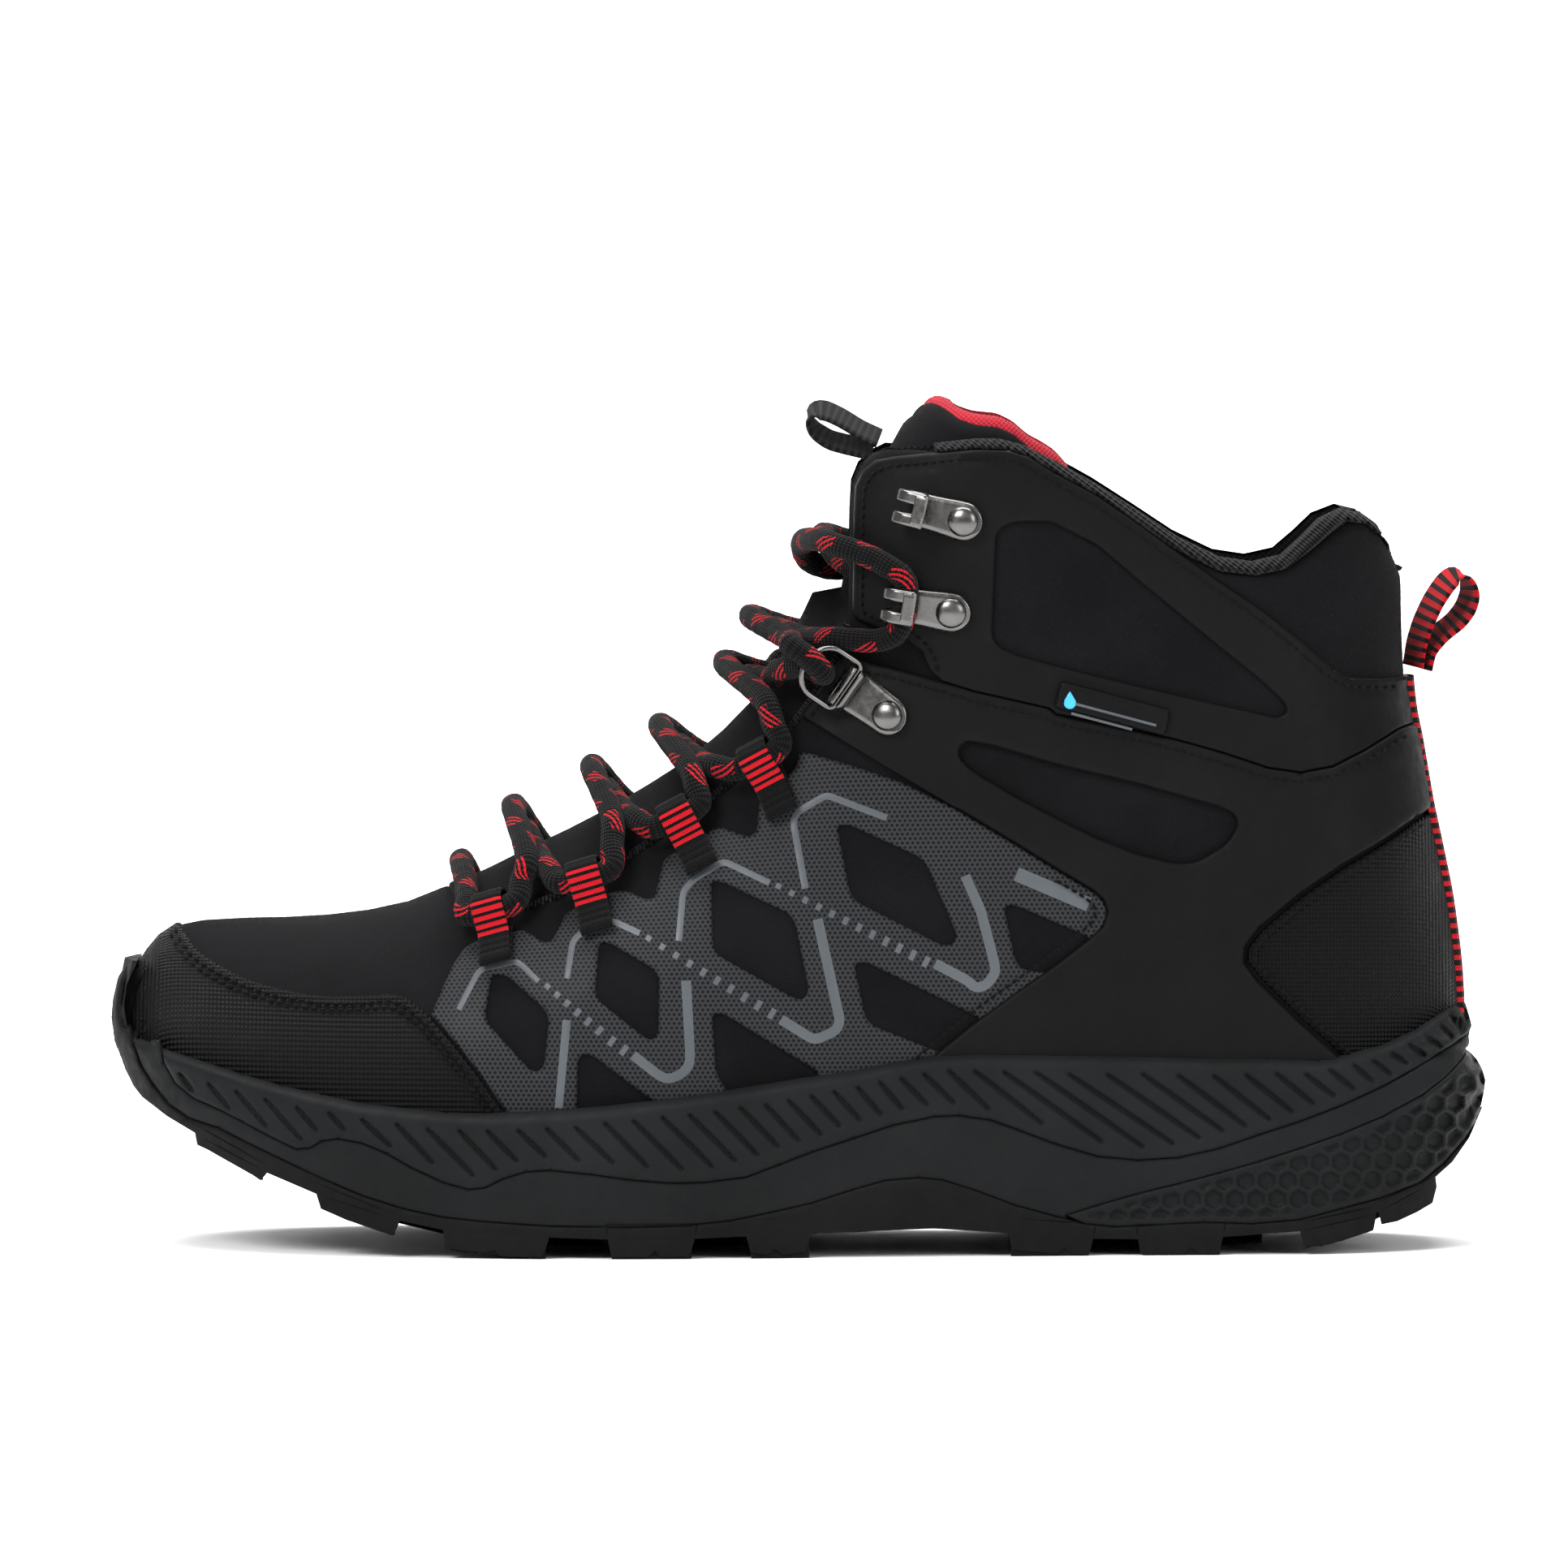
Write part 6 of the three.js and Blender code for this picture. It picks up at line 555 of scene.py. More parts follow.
def tube(path, radius, sides=16, closed=False, ripple=None, ends=True):
    p = np.asarray(path, float)
    n = len(p)
    t = unit(np.roll(p, -1, 0) - np.roll(p, 1, 0)) if closed else unit(np.gradient(p, axis=0))
    ref = np.array([0.0, 0.0, 1.0]) if abs(t[0][2]) < 0.9 else np.array([0.0, 1.0, 0.0])
    nn = [unit(np.cross(t[0], ref))]
    for i in range(1, n):
        v = nn[-1] - t[i] * float(nn[-1] @ t[i])
        nn.append(unit(v))
    nn = np.array(nn)
    bb = np.cross(t, nn)
    s = np.concatenate([[0], np.cumsum(np.linalg.norm(np.diff(p, axis=0), axis=1))])
    a = np.linspace(0, 2 * np.pi, sides + 1)
    r = np.broadcast_to(np.asarray(radius, float), (n,))[:, None] * np.ones((1, sides + 1))
    if ripple is not None:
        r = r + ripple(s[:, None], a[None, :])
    v = p[:, None, :] + r[..., None] * (np.cos(a)[None, :, None] * nn[:, None, :] + np.sin(a)[None, :, None] * bb[:, None, :])
    uv = np.stack([np.broadcast_to(a / (2 * np.pi), (n, sides + 1)), np.broadcast_to(s[:, None], (n, sides + 1))], -1)
    k = sides + 1
    f = []
    m = n if closed else n - 1
    for i in range(m):
        j = (i + 1) % n
        for c in range(sides):
            f.append((i * k + c, j * k + c, j * k + c + 1, i * k + c + 1))
    v, uv = v.reshape(-1, 3), uv.reshape(-1, 2)
    if ends and not closed:
        v = np.vstack([v, p[:1], p[-1:]])
        uv = np.vstack([uv, [[0.5, s[0]]], [[0.5, s[-1]]]])
        c0, c1 = len(v) - 2, len(v) - 1
        for c in range(sides):
            f.append((c0, c, c + 1))
            f.append((c1, (n - 1) * k + c + 1, (n - 1) * k + c))
    return v, [tuple(q[::-1]) for q in f], uv


def ribbon(path, across_dir, width, thick, closed=False, round_=0.35, cols=10, crown=0.0):
    """A flat strap swept along path; across_dir is its width direction, one vector or one a point."""
    p = np.asarray(path, float)
    n = len(p)
    t = unit(np.roll(p, -1, 0) - np.roll(p, 1, 0)) if closed else unit(np.gradient(p, axis=0))
    w = np.broadcast_to(np.asarray(across_dir, float), (n, 3))
    w = unit(w - t * np.sum(w * t, 1, keepdims=True))
    nrm = np.cross(t, w)
    s = np.concatenate([[0], np.cumsum(np.linalg.norm(np.diff(p, axis=0), axis=1))])
    wd = np.broadcast_to(np.asarray(width, float), (n,))
    prof = []
    hw = 0.5
    xs = np.linspace(-1, 1, cols)
    for x in xs:
        prof.append((x, 1.0))
    for x in xs[::-1]:
        prof.append((x, -1.0))
    prof = np.array(prof)
    k = len(prof)
    ax = prof[:, 0]
    edge = np.clip((1 - np.abs(ax)) / round_, 0, 1)
    lift = np.sqrt(np.clip(1 - (1 - edge) ** 2, 0, 1)) * 0.75 + 0.25
    v = p[:, None, :] + (wd[:, None, None] / 2) * ax[None, :, None] * w[:, None, :] + (thick / 2 * prof[:, 1] * lift + crown * (1 - ax ** 2))[None, :, None] * nrm[:, None, :]
    uv = np.stack([np.broadcast_to(ax[None, :] * wd[:, None] / 2, (n, k)), np.broadcast_to(s[:, None], (n, k))], -1)
    f = []
    m = n if closed else n - 1
    for i in range(m):
        j = (i + 1) % n
        for c in range(k):
            d = (c + 1) % k
            f.append((i * k + c, i * k + d, j * k + d, j * k + c))
    if not closed:
        for c in range(cols - 1):
            f.append((c, k - 1 - c, k - 2 - c, c + 1))
            b = (n - 1) * k
            f.append((b + c, b + c + 1, b + k - 2 - c, b + k - 1 - c))
    return v.reshape(-1, 3), f, uv.reshape(-1, 2)


def placed(geo, M):
    m = np.array(M, float)
    return geo[0] @ m[:, :3].T + m[:, 3], geo[1], geo[2]


def lathe(profile, sides=36):
    pr = np.asarray(profile, float)
    a = np.linspace(0, 2 * np.pi, sides, endpoint=False)
    v = np.stack([pr[:, None, 0] * np.cos(a), pr[:, None, 0] * np.sin(a), np.broadcast_to(pr[:, None, 1], (len(pr), sides))], -1)
    f = []
    for i in range(len(pr) - 1):
        for c in range(sides):
            d = (c + 1) % sides
            f.append((i * sides + c, i * sides + d, (i + 1) * sides + d, (i + 1) * sides + c))
    uv = np.stack([v[..., 0], v[..., 1]], -1).reshape(-1, 2)
    return v.reshape(-1, 3), f, uv

# ---- materials ----
def srgb(h):
    c = [int(h[i:i + 2], 16) / 255 for i in (1, 3, 5)]
    return [x / 12.92 if x <= 0.04045 else ((x + 0.055) / 1.055) ** 2.4 for x in c]


class Mat:
    def __init__(self, name, color, rough=0.7, metal=0.0, spec=0.5, sheen=0.0, coat=0.0):
        self.m = bpy.data.materials.new(name)
        self.m.use_nodes = True
        self.nt = self.m.node_tree
        self.b = self.nt.nodes["Principled BSDF"]
        self.color = srgb(color) if isinstance(color, str) else list(color)
        if max(self.color) < 0.07 and metal == 0 and name != "grey_print":
            # near-black cloth and rubber: most of what is seen is the sheen of the surface, so both are kept low
            self.color = [c * 0.5 for c in self.color]
            spec, sheen = spec * 0.16, sheen * 0.15
        self.b.inputs["Base Color"].default_value = (*self.color, 1)
        self.b.inputs["Roughness"].default_value = rough
        self.b.inputs["Metallic"].default_value = metal
        self.b.inputs["Specular IOR Level"].default_value = spec
        if sheen:
            self.b.inputs["Sheen Weight"].default_value = sheen
            self.b.inputs["Sheen Roughness"].default_value = 0.45
        if coat:
            self.b.inputs["Coat Weight"].default_value = coat
            self.b.inputs["Coat Roughness"].default_value = 0.3
        self.uv = self.node("ShaderNodeUVMap")
        self.uv.uv_map = "UVMap"
        self.uvs = self.uv.outputs["UV"]
        self.obj = self.node("ShaderNodeTexCoord").outputs["Object"]
        self.height = None

    def node(self, kind):
        return self.nt.nodes.new(kind)

    def put(self, a, socket):
        if isinstance(a, (int, float)):
            socket.default_value = a
        elif isinstance(a, (tuple, list)):
            socket.default_value = a
        else:
            self.nt.links.new(a, socket)

    def math(self, op, a, b=None, c=None):
        n = self.node("ShaderNodeMath")
        n.operation = op
        self.put(a, n.inputs[0])
        if b is not None:
            self.put(b, n.inputs[1])
        if c is not None:
            self.put(c, n.inputs[2])
        return n.outputs[0]

    def dot(self, vec, d):
        n = self.node("ShaderNodeVectorMath")
        n.operation = "DOT_PRODUCT"
        self.put(vec, n.inputs[0])
        n.inputs[1].default_value = (*d, 0) if len(d) == 2 else d
        return n.outputs["Value"]

    def wave(self, d, pitch, phase=0.0, vec=None):
        """cos of the distance along d, one turn each pitch, from -1 to 1."""
        k = 2 * math.pi / pitch
        v = self.dot(self.uvs if vec is None else vec, (d[0] * k, d[1] * k))
        return self.math("COSINE", self.math("ADD", v, phase) if phase else v)

    def noise(self, scale, detail=3.0, rough=0.55, vec=None):
        n = self.node("ShaderNodeTexNoise")
        n.inputs["Scale"].default_value = scale
        n.inputs["Detail"].default_value = detail
        n.inputs["Roughness"].default_value = rough
        self.put(self.obj if vec is None else vec, n.inputs["Vector"])
        return n.outputs["Fac"]

    def ramp(self, v, lo, hi, a=0.0, b=1.0):
        n = self.node("ShaderNodeMapRange")
        n.interpolation_type = "SMOOTHSTEP"
        self.put(v, n.inputs["Value"])
        n.inputs["From Min"].default_value = lo
        n.inputs["From Max"].default_value = hi
        n.inputs["To Min"].default_value = a
        n.inputs["To Max"].default_value = b
        return n.outputs["Result"]

    def mix(self, fac, a, b):
        n = self.node("ShaderNodeMix")
        n.data_type = "RGBA"
        self.put(fac, n.inputs["Factor"])
        ca = [*a, 1] if isinstance(a, (list, tuple)) else a
        cb = [*b, 1] if isinstance(b, (list, tuple)) else b
        self.put(ca, n.inputs["A"])
        self.put(cb, n.inputs["B"])
        return n.outputs["Result"]

    def base(self, s):
        self.nt.links.new(s, self.b.inputs["Base Color"])

    def rough(self, s):
        self.nt.links.new(s, self.b.inputs["Roughness"])

    def bump(self, s, dist, strength=1.0):
        n = self.node("ShaderNodeBump")
        n.inputs["Strength"].default_value = strength
        n.inputs["Distance"].default_value = dist
        self.nt.links.new(s, n.inputs["Height"])
        if self.height is not None:
            self.nt.links.new(self.height, n.inputs["Normal"])
        self.height = n.outputs["Normal"]
        self.nt.links.new(self.height, self.b.inputs["Normal"])
        return self


def shade(c, k):
    return [min(1, x * k) for x in c]


def fabric(name, color, pitch=0.55, rough=0.85, sheen=0.25, depth=0.00012, blotch=0.35, spec=0.25):
    m = Mat(name, color, rough, sheen=sheen, spec=spec)
    a, b = m.wave((1, 0), pitch), m.wave((0, 1), pitch)
    w = m.math("MULTIPLY", a, b)
    n = m.noise(55, 4)
    t = m.ramp(n, 0.3, 0.7, 1 - blotch, 1 + blotch)
    # painted shade and highlight: the colour goes darker in the weave's hollows and lighter on its raised crossings,
    # following the same w as the bump
    c = m.mix(m.ramp(w, -1, 1), shade(m.color, 0.62), shade(m.color, 1.3))
    mixer = m.node("ShaderNodeVectorMath")
    mixer.operation = "SCALE"
    m.nt.links.new(c, mixer.inputs[0])
    m.nt.links.new(t, mixer.inputs["Scale"])
    m.base(mixer.outputs[0])
    m.bump(w, depth, 0.6)
    m.bump(m.noise(900, 2), 0.00008, 0.5)
    m.rough(m.ramp(n, 0.2, 0.8, rough - 0.08, min(1, rough + 0.08)))
    return m


def leather(name, color, rough=0.55, grain=1500, depth=0.00007, spec=0.4):
    m = Mat(name, color, rough, spec=spec)
    v = m.node("ShaderNodeTexVoronoi")
    v.inputs["Scale"].default_value = grain
    m.nt.links.new(m.obj, v.inputs["Vector"])
    n = m.noise(40, 5)
    m.base(m.mix(m.ramp(n, 0.3, 0.7), shade(m.color, 0.86), shade(m.color, 1.16)))
    m.bump(v.outputs["Distance"], depth, 0.35)
    m.bump(m.noise(120, 4), 0.0002, 0.22)
    m.rough(m.ramp(m.noise(260, 3), 0.3, 0.7, rough - 0.07, rough + 0.08))
    return m


def foam(name, color, rough=0.62, spec=0.35):
    m = Mat(name, color, rough, spec=spec)
    n = m.noise(34, 4)
    m.base(m.mix(m.ramp(n, 0.3, 0.7), shade(m.color, 0.85), shade(m.color, 1.18)))
    m.bump(m.noise(2400, 2), 0.00006, 0.5)
    m.bump(m.noise(90, 3), 0.00015, 0.2)
    m.rough(m.ramp(m.noise(300, 3), 0.3, 0.7, rough - 0.06, rough + 0.1))
    return m


def emboss(name, color, pitch=1.4, rough=0.5):
    m = Mat(name, color, rough, spec=0.4)
    a, b = m.wave((0.80, 0.6), pitch), m.wave((0.80, -0.6), pitch)
    w = m.math("MULTIPLY", a, b)
    n = m.noise(45, 4)
    # painted shade and highlight: the colour goes darker in the embossed grooves and lighter on the raised cells,
    # following the same w as the bump
    m.base(m.mix(m.ramp(w, -0.7, 0.8), shade(m.color, 0.6), shade(m.color, 1.25)))
    m.bump(w, 0.0005, 0.85)
    m.bump(m.noise(1500, 2), 0.00005, 0.4)
    m.rough(m.ramp(n, 0.3, 0.7, rough - 0.06, rough + 0.1))
    return m


def steel(name, color=(0.125, 0.122, 0.118), rough=0.25):
    m = Mat(name, color, rough, metal=1.0)
    n = m.noise(220, 5)
    m.base(m.mix(m.ramp(n, 0.3, 0.7), shade(m.color, 0.93), shade(m.color, 1.06)))
    m.rough(m.ramp(m.noise(700, 4), 0.25, 0.75, rough - 0.05, rough + 0.08))
    m.bump(m.noise(1200, 2), 0.00001, 0.15)
    return m


M = {}
M["softshell"] = fabric("softshell", "#1b1a1c", 0.42, 0.9, 0.12, 0.00007, 0.18, 0.2).m
M["tongue"] = fabric("tongue_cloth", "#1d1c1e", 0.45, 0.9, 0.12, 0.00008, 0.18, 0.2).m
M["overlay"] = leather("smooth_overlay", "#141415", 0.52).m
M["toecap"] = emboss("toe_emboss", "#1d1d1e").m
M["patch"] = emboss("heel_emboss", "#1b1b1c", 1.2).m
M["lining"] = fabric("lining_mesh", "#1b1a1b", 1.4, 0.95, 0.2, 0.0003, 0.2).m
M["red_lining"] = fabric("red_lining", (0.27, 0.004, 0.014), 1.1, 0.85, 0.0, 0.0002, 0.15).m
M["midsole"] = foam("midsole_foam", "#212223").m
M["midsole_top"] = foam("midsole_foam_upper", "#232425").m
M["hexfoam"] = foam("stabilizer", "#202122", 0.5).m
M["rubber"] = foam("outsole_rubber", "#1a1a1b", 0.66).m
M["footbed"] = fabric("footbed_cloth", "#7c1c22", 0.8, 0.9, 0.2, 0.0002, 0.2).m
M["steel"] = steel("dark_steel").m
M["print"] = leather("grey_print", (0.046, 0.053, 0.060), 0.5, 900).m
M["thread"] = fabric("thread", "#141414", 0.5, 0.8, 0.2, 0.0001, 0.1).m
M["aglet"] = leather("aglet_plastic", "#0e0e0f", 0.25).m
M["tag"] = leather("tag_plastic", "#151516", 0.45).m
M["drop"] = leather("drop_blue", "#2f9fd8", 0.4).m
M["inner"] = foam("inner_board", "#75695a", 0.8).m

# cage film: satin film with a honeycomb of small dark dots
m = Mat("cage_film", "#3b3c3e", 0.5, spec=0.4)
p = 1.12
k = p * math.sqrt(3) / 2
w = m.math("ADD", m.math("ADD", m.wave((0, 1), k), m.wave((math.sqrt(3) / 2, 0.5), k)), m.wave((math.sqrt(3) / 2, -0.5), k))
dots = m.ramp(w, 0.15, 0.75)
m.base(m.mix(dots, srgb("#292a2c"), srgb("#0e0e0f")))
m.bump(m.math("MULTIPLY", dots, -1.0), 0.0001, 0.5)
m.bump(m.noise(1200, 2), 0.00004, 0.3)
m.rough(m.ramp(m.noise(80, 3), 0.3, 0.7, 0.42, 0.58))
M["film"] = m.m

# knit collar: ribs with a zigzag, coloured with painted shade between the ribs and painted highlight on their crests
m = Mat("collar_knit", "#1d1b1d", 0.92, sheen=0.3, spec=0.2)
a = m.math("MULTIPLY", m.wave((1, 0.45), 1.5), m.wave((0.2, 1), 1.2))
# painted shade and highlight: the colour follows the rib height a that the bump uses, from 0.3 to 2.6 times the yarn
# colour
m.base(m.mix(m.ramp(a, -0.5, 0.7), shade(m.color, 0.3), shade(m.color, 2.6)))
m.bump(a, 0.0007, 1.0)
m.bump(m.noise(1500, 2), 0.0001, 0.5)
M["knit"] = m.m

# braided lace: crossed strands with painted shade where they dip and painted highlight on top, red ticks in groups
m = Mat("lace_braid", "#171718", 0.82, sheen=0.25, spec=0.25)
U = m.node("ShaderNodeSeparateXYZ")
m.nt.links.new(m.uvs, U.inputs[0])
u, v = U.outputs[0], U.outputs[1]
s1 = m.math("SINE", m.math("ADD", m.math("MULTIPLY", u, 2 * math.pi * 12), m.math("MULTIPLY", v, 2 * math.pi / 1.8)))
s2 = m.math("SINE", m.math("SUBTRACT", m.math("MULTIPLY", u, 2 * math.pi * 12), m.math("MULTIPLY", v, 2 * math.pi / 1.8)))
braid = m.math("MULTIPLY", s1, s2)
tick = m.math("MULTIPLY", m.math("GREATER_THAN", s1, 0.2), m.math("GREATER_THAN", m.math("ABSOLUTE", s2), 0.3))
strip_ = m.math("GREATER_THAN", m.math("SINE", m.math("MULTIPLY", m.math("ADD", u, m.math("DIVIDE", v, 34.0)), 2 * math.pi * 2)), 0.35)
gap_ = m.math("GREATER_THAN", m.math("SINE", m.math("MULTIPLY", v, 2 * math.pi / 9.8)), -0.1)
red = m.math("MULTIPLY", tick, m.math("MULTIPLY", strip_, gap_))
# painted shade and highlight on the black strands: darker where the braid dips, lighter on the crossings, following the
# braid field of the bump
strands_with_painted_shade = m.mix(m.ramp(braid, -0.9, 0.9), shade(m.color, 0.4), shade(m.color, 1.6))
m.base(m.mix(red, strands_with_painted_shade, srgb("#b41722")))
m.bump(braid, 0.0003, 0.8)
m.bump(m.noise(2000, 2), 0.00006, 0.5)
M["lace"] = m.m


def webbing(name, dark, light, pitch, duty, lo=None, hi=None, weave=0.55):
    """Webbing whose bars lie across it; uv is (across, along) in millimetres."""
    m = Mat(name, dark, 0.8, sheen=0.2, spec=0.25)
    U = m.node("ShaderNodeSeparateXYZ")
    m.nt.links.new(m.uvs, U.inputs[0])
    u, v = U.outputs[0], U.outputs[1]
    bar = m.math("GREATER_THAN", m.math("SINE", m.math("MULTIPLY", v, 2 * math.pi / pitch)), duty)
    if lo is not None:
        bar = m.math("MULTIPLY", bar, m.math("MULTIPLY", m.math("GREATER_THAN", v, lo), m.math("LESS_THAN", v, hi)))
    th = m.math("MULTIPLY", m.wave((1, 0), weave), m.wave((0, 1), weave * 1.3))
    # painted shade and highlight: both the black and the red threads go darker in the weave's hollows and lighter on
    # its crossings, following the bump's th
    d = m.mix(m.ramp(th, -0.8, 0.8), shade(m.color, 0.45), shade(m.color, 1.5))
    lc = srgb(light)
    l = m.mix(m.ramp(th, -0.8, 0.8), shade(lc, 0.6), shade(lc, 1.15))
    m.base(m.mix(bar, d, l))
    m.bump(th, 0.00018, 0.7)
    m.bump(m.math("SINE", m.math("MULTIPLY", v, 2 * math.pi / pitch)), 0.0002, 0.4)
    return m.m


M["loop"] = webbing("loop_webbing", "#171718", "#b81822", 1.75, -0.25, 6.2, 14.6)
M["red_strap"] = webbing("pull_webbing", "#1a1516", "#ae1620", 2.3, -0.15)
M["strap"] = webbing("black_webbing", "#1a1a1b", "#262627", 1.6, 0.2)
M["backstay"] = webbing("heel_webbing", "#1a1516", "#ae1620", 2.3, 0.1)

# ---- camera, light and floor ----
scene = bpy.context.scene
scene.view_settings.view_transform = "Standard"
W_FRAME = 0.3405
LENS, SENSOR = 420.0, 36.0
dist = W_FRAME * LENS / SENSOR
el = math.radians(2.2)
target = Vector(((-3.2 + DX) / 1000, -0.012, 0.1006))
cam_d = bpy.data.cameras.new("camera")
cam_d.lens, cam_d.sensor_width, cam_d.clip_end = LENS, SENSOR, 50
cam = bpy.data.objects.new("camera", cam_d)
scene.collection.objects.link(cam)
back = Vector((0, -math.cos(el), math.sin(el)))
cam.location = target + back * (dist + 0.012)
cam.rotation_euler = (-back).to_track_quat("-Z", "Y").to_euler()
scene.camera = cam

world = bpy.data.worlds.new("studio")
scene.world = world
world.use_nodes = True
world.node_tree.nodes["Background"].inputs[0].default_value = (1, 1, 1, 1)
world.node_tree.nodes["Background"].inputs[1].default_value = 0.42


def area(name, loc, size, energy, aim=(0, 0, 0.09), size_y=None):
    d = bpy.data.lights.new(name, "AREA")
    d.energy, d.size = energy, size
    d.shape = "RECTANGLE"
    d.size_y = size_y or size
    o = bpy.data.objects.new(name, d)
    o.location = loc
    o.rotation_euler = (Vector(aim) - Vector(loc)).to_track_quat("-Z", "Y").to_euler()
    scene.collection.objects.link(o)
    return o


area("key", (-0.75, -1.25, 1.15), 0.8, 30)
area("fill", (1.0, -1.1, 0.6), 0.7, 9)
area("top", (0.0, 0.15, 1.5), 1.5, 44, size_y=1.1)
area("wall", (0.0, 0.9, 1.2), 1.2, 30, aim=(0, 2.2, 0.5))

fm = Mat("pale_floor", (0.9, 0.9, 0.9), 0.9, spec=0.1)
n = fm.noise(3, 3)
fm.base(fm.mix(n, [0.93, 0.93, 0.93], [0.96, 0.96, 0.96]))
prof = [(-4.0, 0.0), (1.4, 0.0)] + [(1.4 + 0.9 * math.sin(a), 0.9 - 0.9 * math.cos(a)) for a in np.linspace(0, math.pi / 2, 14)[1:]] + [(2.3, 3.5)]
fme = bpy.data.meshes.new("floor")
fv = [(x, y, z - 0.0001) for y, z in prof for x in (-4.5, 4.5)]
fme.from_pydata(fv, [], [(2 * i, 2 * i + 1, 2 * i + 3, 2 * i + 2) for i in range(len(prof) - 1)])
fme.polygons.foreach_set("use_smooth", np.full(len(fme.polygons), True))
fme.materials.append(fm.m)
floor = bpy.data.objects.new("floor", fme)
scene.collection.objects.link(floor)

# ---- pieces of the upper ----
HG = 1.7
SIDES = (("lateral", -1), ("medial", 1))
arr = lambda k: np.array(C[k], float)


def between(line, a, b):
    return line[(line[:, 0] > a) & (line[:, 0] < b)]


def L2(*parts):
    return np.vstack([np.asarray(p, float).reshape(-1, 2) for p in parts])


def both(kind, outer, holes=(), **kw):
    return merge(*[patch(kind, s, outer, holes, **kw) for s in (-1, 1)])


THROAT, FLAP, KNIT, COLLAR = arr("THROAT"), arr("FLAP"), arr("KNIT"), arr("COLLAR")
quarter = L2([[-170, 5]], [[-170, 100]], THROAT, FLAP, between(KNIT, 25, 200), [[160, 143.5]], [[160, 5]])
throat_line = soften(L2(THROAT, FLAP[:-1]), 1.0, 1.2)
knit_line = soften(L2(FLAP[-2:], between(KNIT, 25, 200), [[160, 143.5]]), 1.0, 1.0)
FEATHER = arr("FEATHER")
zlo_up = 17

g = both("q", quarter, o1=0.0, h=HG, zlo=zlo_up, zhi=186, edges=[(throat_line, 2.3, 2.2, False), (knit_line, 2.3, 2.0, False)])
make("softshell_upper", g, M["softshell"], replaces=("softshell_upper", "toe_puff", "heel_counter", "collar_foam"))

inner_area = L2([[-170, 5]], [[-170, 100]], THROAT, FLAP, between(COLLAR, 25, 200) - [0, 0.6], [[160, 146]], [[160, 5]])
parts = []
for s in (-1, 1):
    v, f, u = patch("q", s, inner_area, o1=-6.4, h=3.0, zlo=zlo_up, zhi=186, edges=[(throat_line, -4.0, 1.6, False)])
    parts.append((v, [t[::-1] for t in f], u))
make("lining", merge(*parts), M["lining"], replaces=("lining",))

# the knit collar: rolled over the top edge from outside to inside
band = L2(between(KNIT, 25, 133.5) + [0, -0.3], [[160, 143.0]], [[160, 146.0]], between(COLLAR, 20, 133.5)[::-1])
top_edge = L2(between(COLLAR, 20, 133.5), [[160, 146.0]])
low_edge = L2(between(KNIT, 25, 133.5) + [0, -0.3], [[160, 143.0]])
g = both("q", band, o1=1.2, h=0.9, zlo=zlo_up, zhi=186, edges=[(top_edge, 7.6, 2.3, False), (low_edge, 2.0, 0.8, False)])
make("collar_band", g, M["knit"], replaces=("collar_band",))

def groove_of(*lines):
    def f(x, z):
        q = np.stack([x, z], 1)
        d = np.full(len(q), 9.0)
        for l in lines:
            d = np.minimum(d, dist_to(q, l))
        return -0.45 * np.exp(-(d / 0.6) ** 2)
    return f


def offset(line, d, s=0.9):
    p = soften(line, 1.0, s)
    return soften(p + normals(p) * d, 1.0, 0.6)


toecap = arr("TOECAP")
cap_line = soften(L2([[-136, 110]], toecap, [[-56, 8]]), 0.8, 1.2)
cap_area = L2([[-170, 6]], [[-170, 110]], cap_line, [[-170, 6]])
g = both("q", cap_area, o1=1.5, h=HG, zlo=zlo_up, zhi=186, edges=[(cap_line, 1.5, 0.9, False)], disp=groove_of(offset(cap_line, -1.4), offset(cap_line, -2.7)))
make("toe_cap", g, M["toecap"], replaces=("toe_cap",))

FILM, FILM2 = arr("FILM"), arr("FILM2")
tc = between(toecap, -81, 0)[::-1] + [0.6, 0]
film_area = soften(L2(FILM, FILM2 + [0.4, -0.4], [[30, 10]], [[-57.5, 5]], tc), 0.8, 0.7, True)
wins = [soften(arr("W%d" % k), 0.8, 0.75, True) for k in range(1, 9)]
for nm, s in SIDES:
    g = patch("q", s, film_area, wins, o1=1.15, h=HG, zlo=zlo_up, zhi=186, edges=[(film_area, 1.1, 0.7, True)] + [(w, 1.1, 0.75, True) for w in wins])
    make("cage_film_" + nm, g, M["film"], replaces=("cage_film_" + nm,))

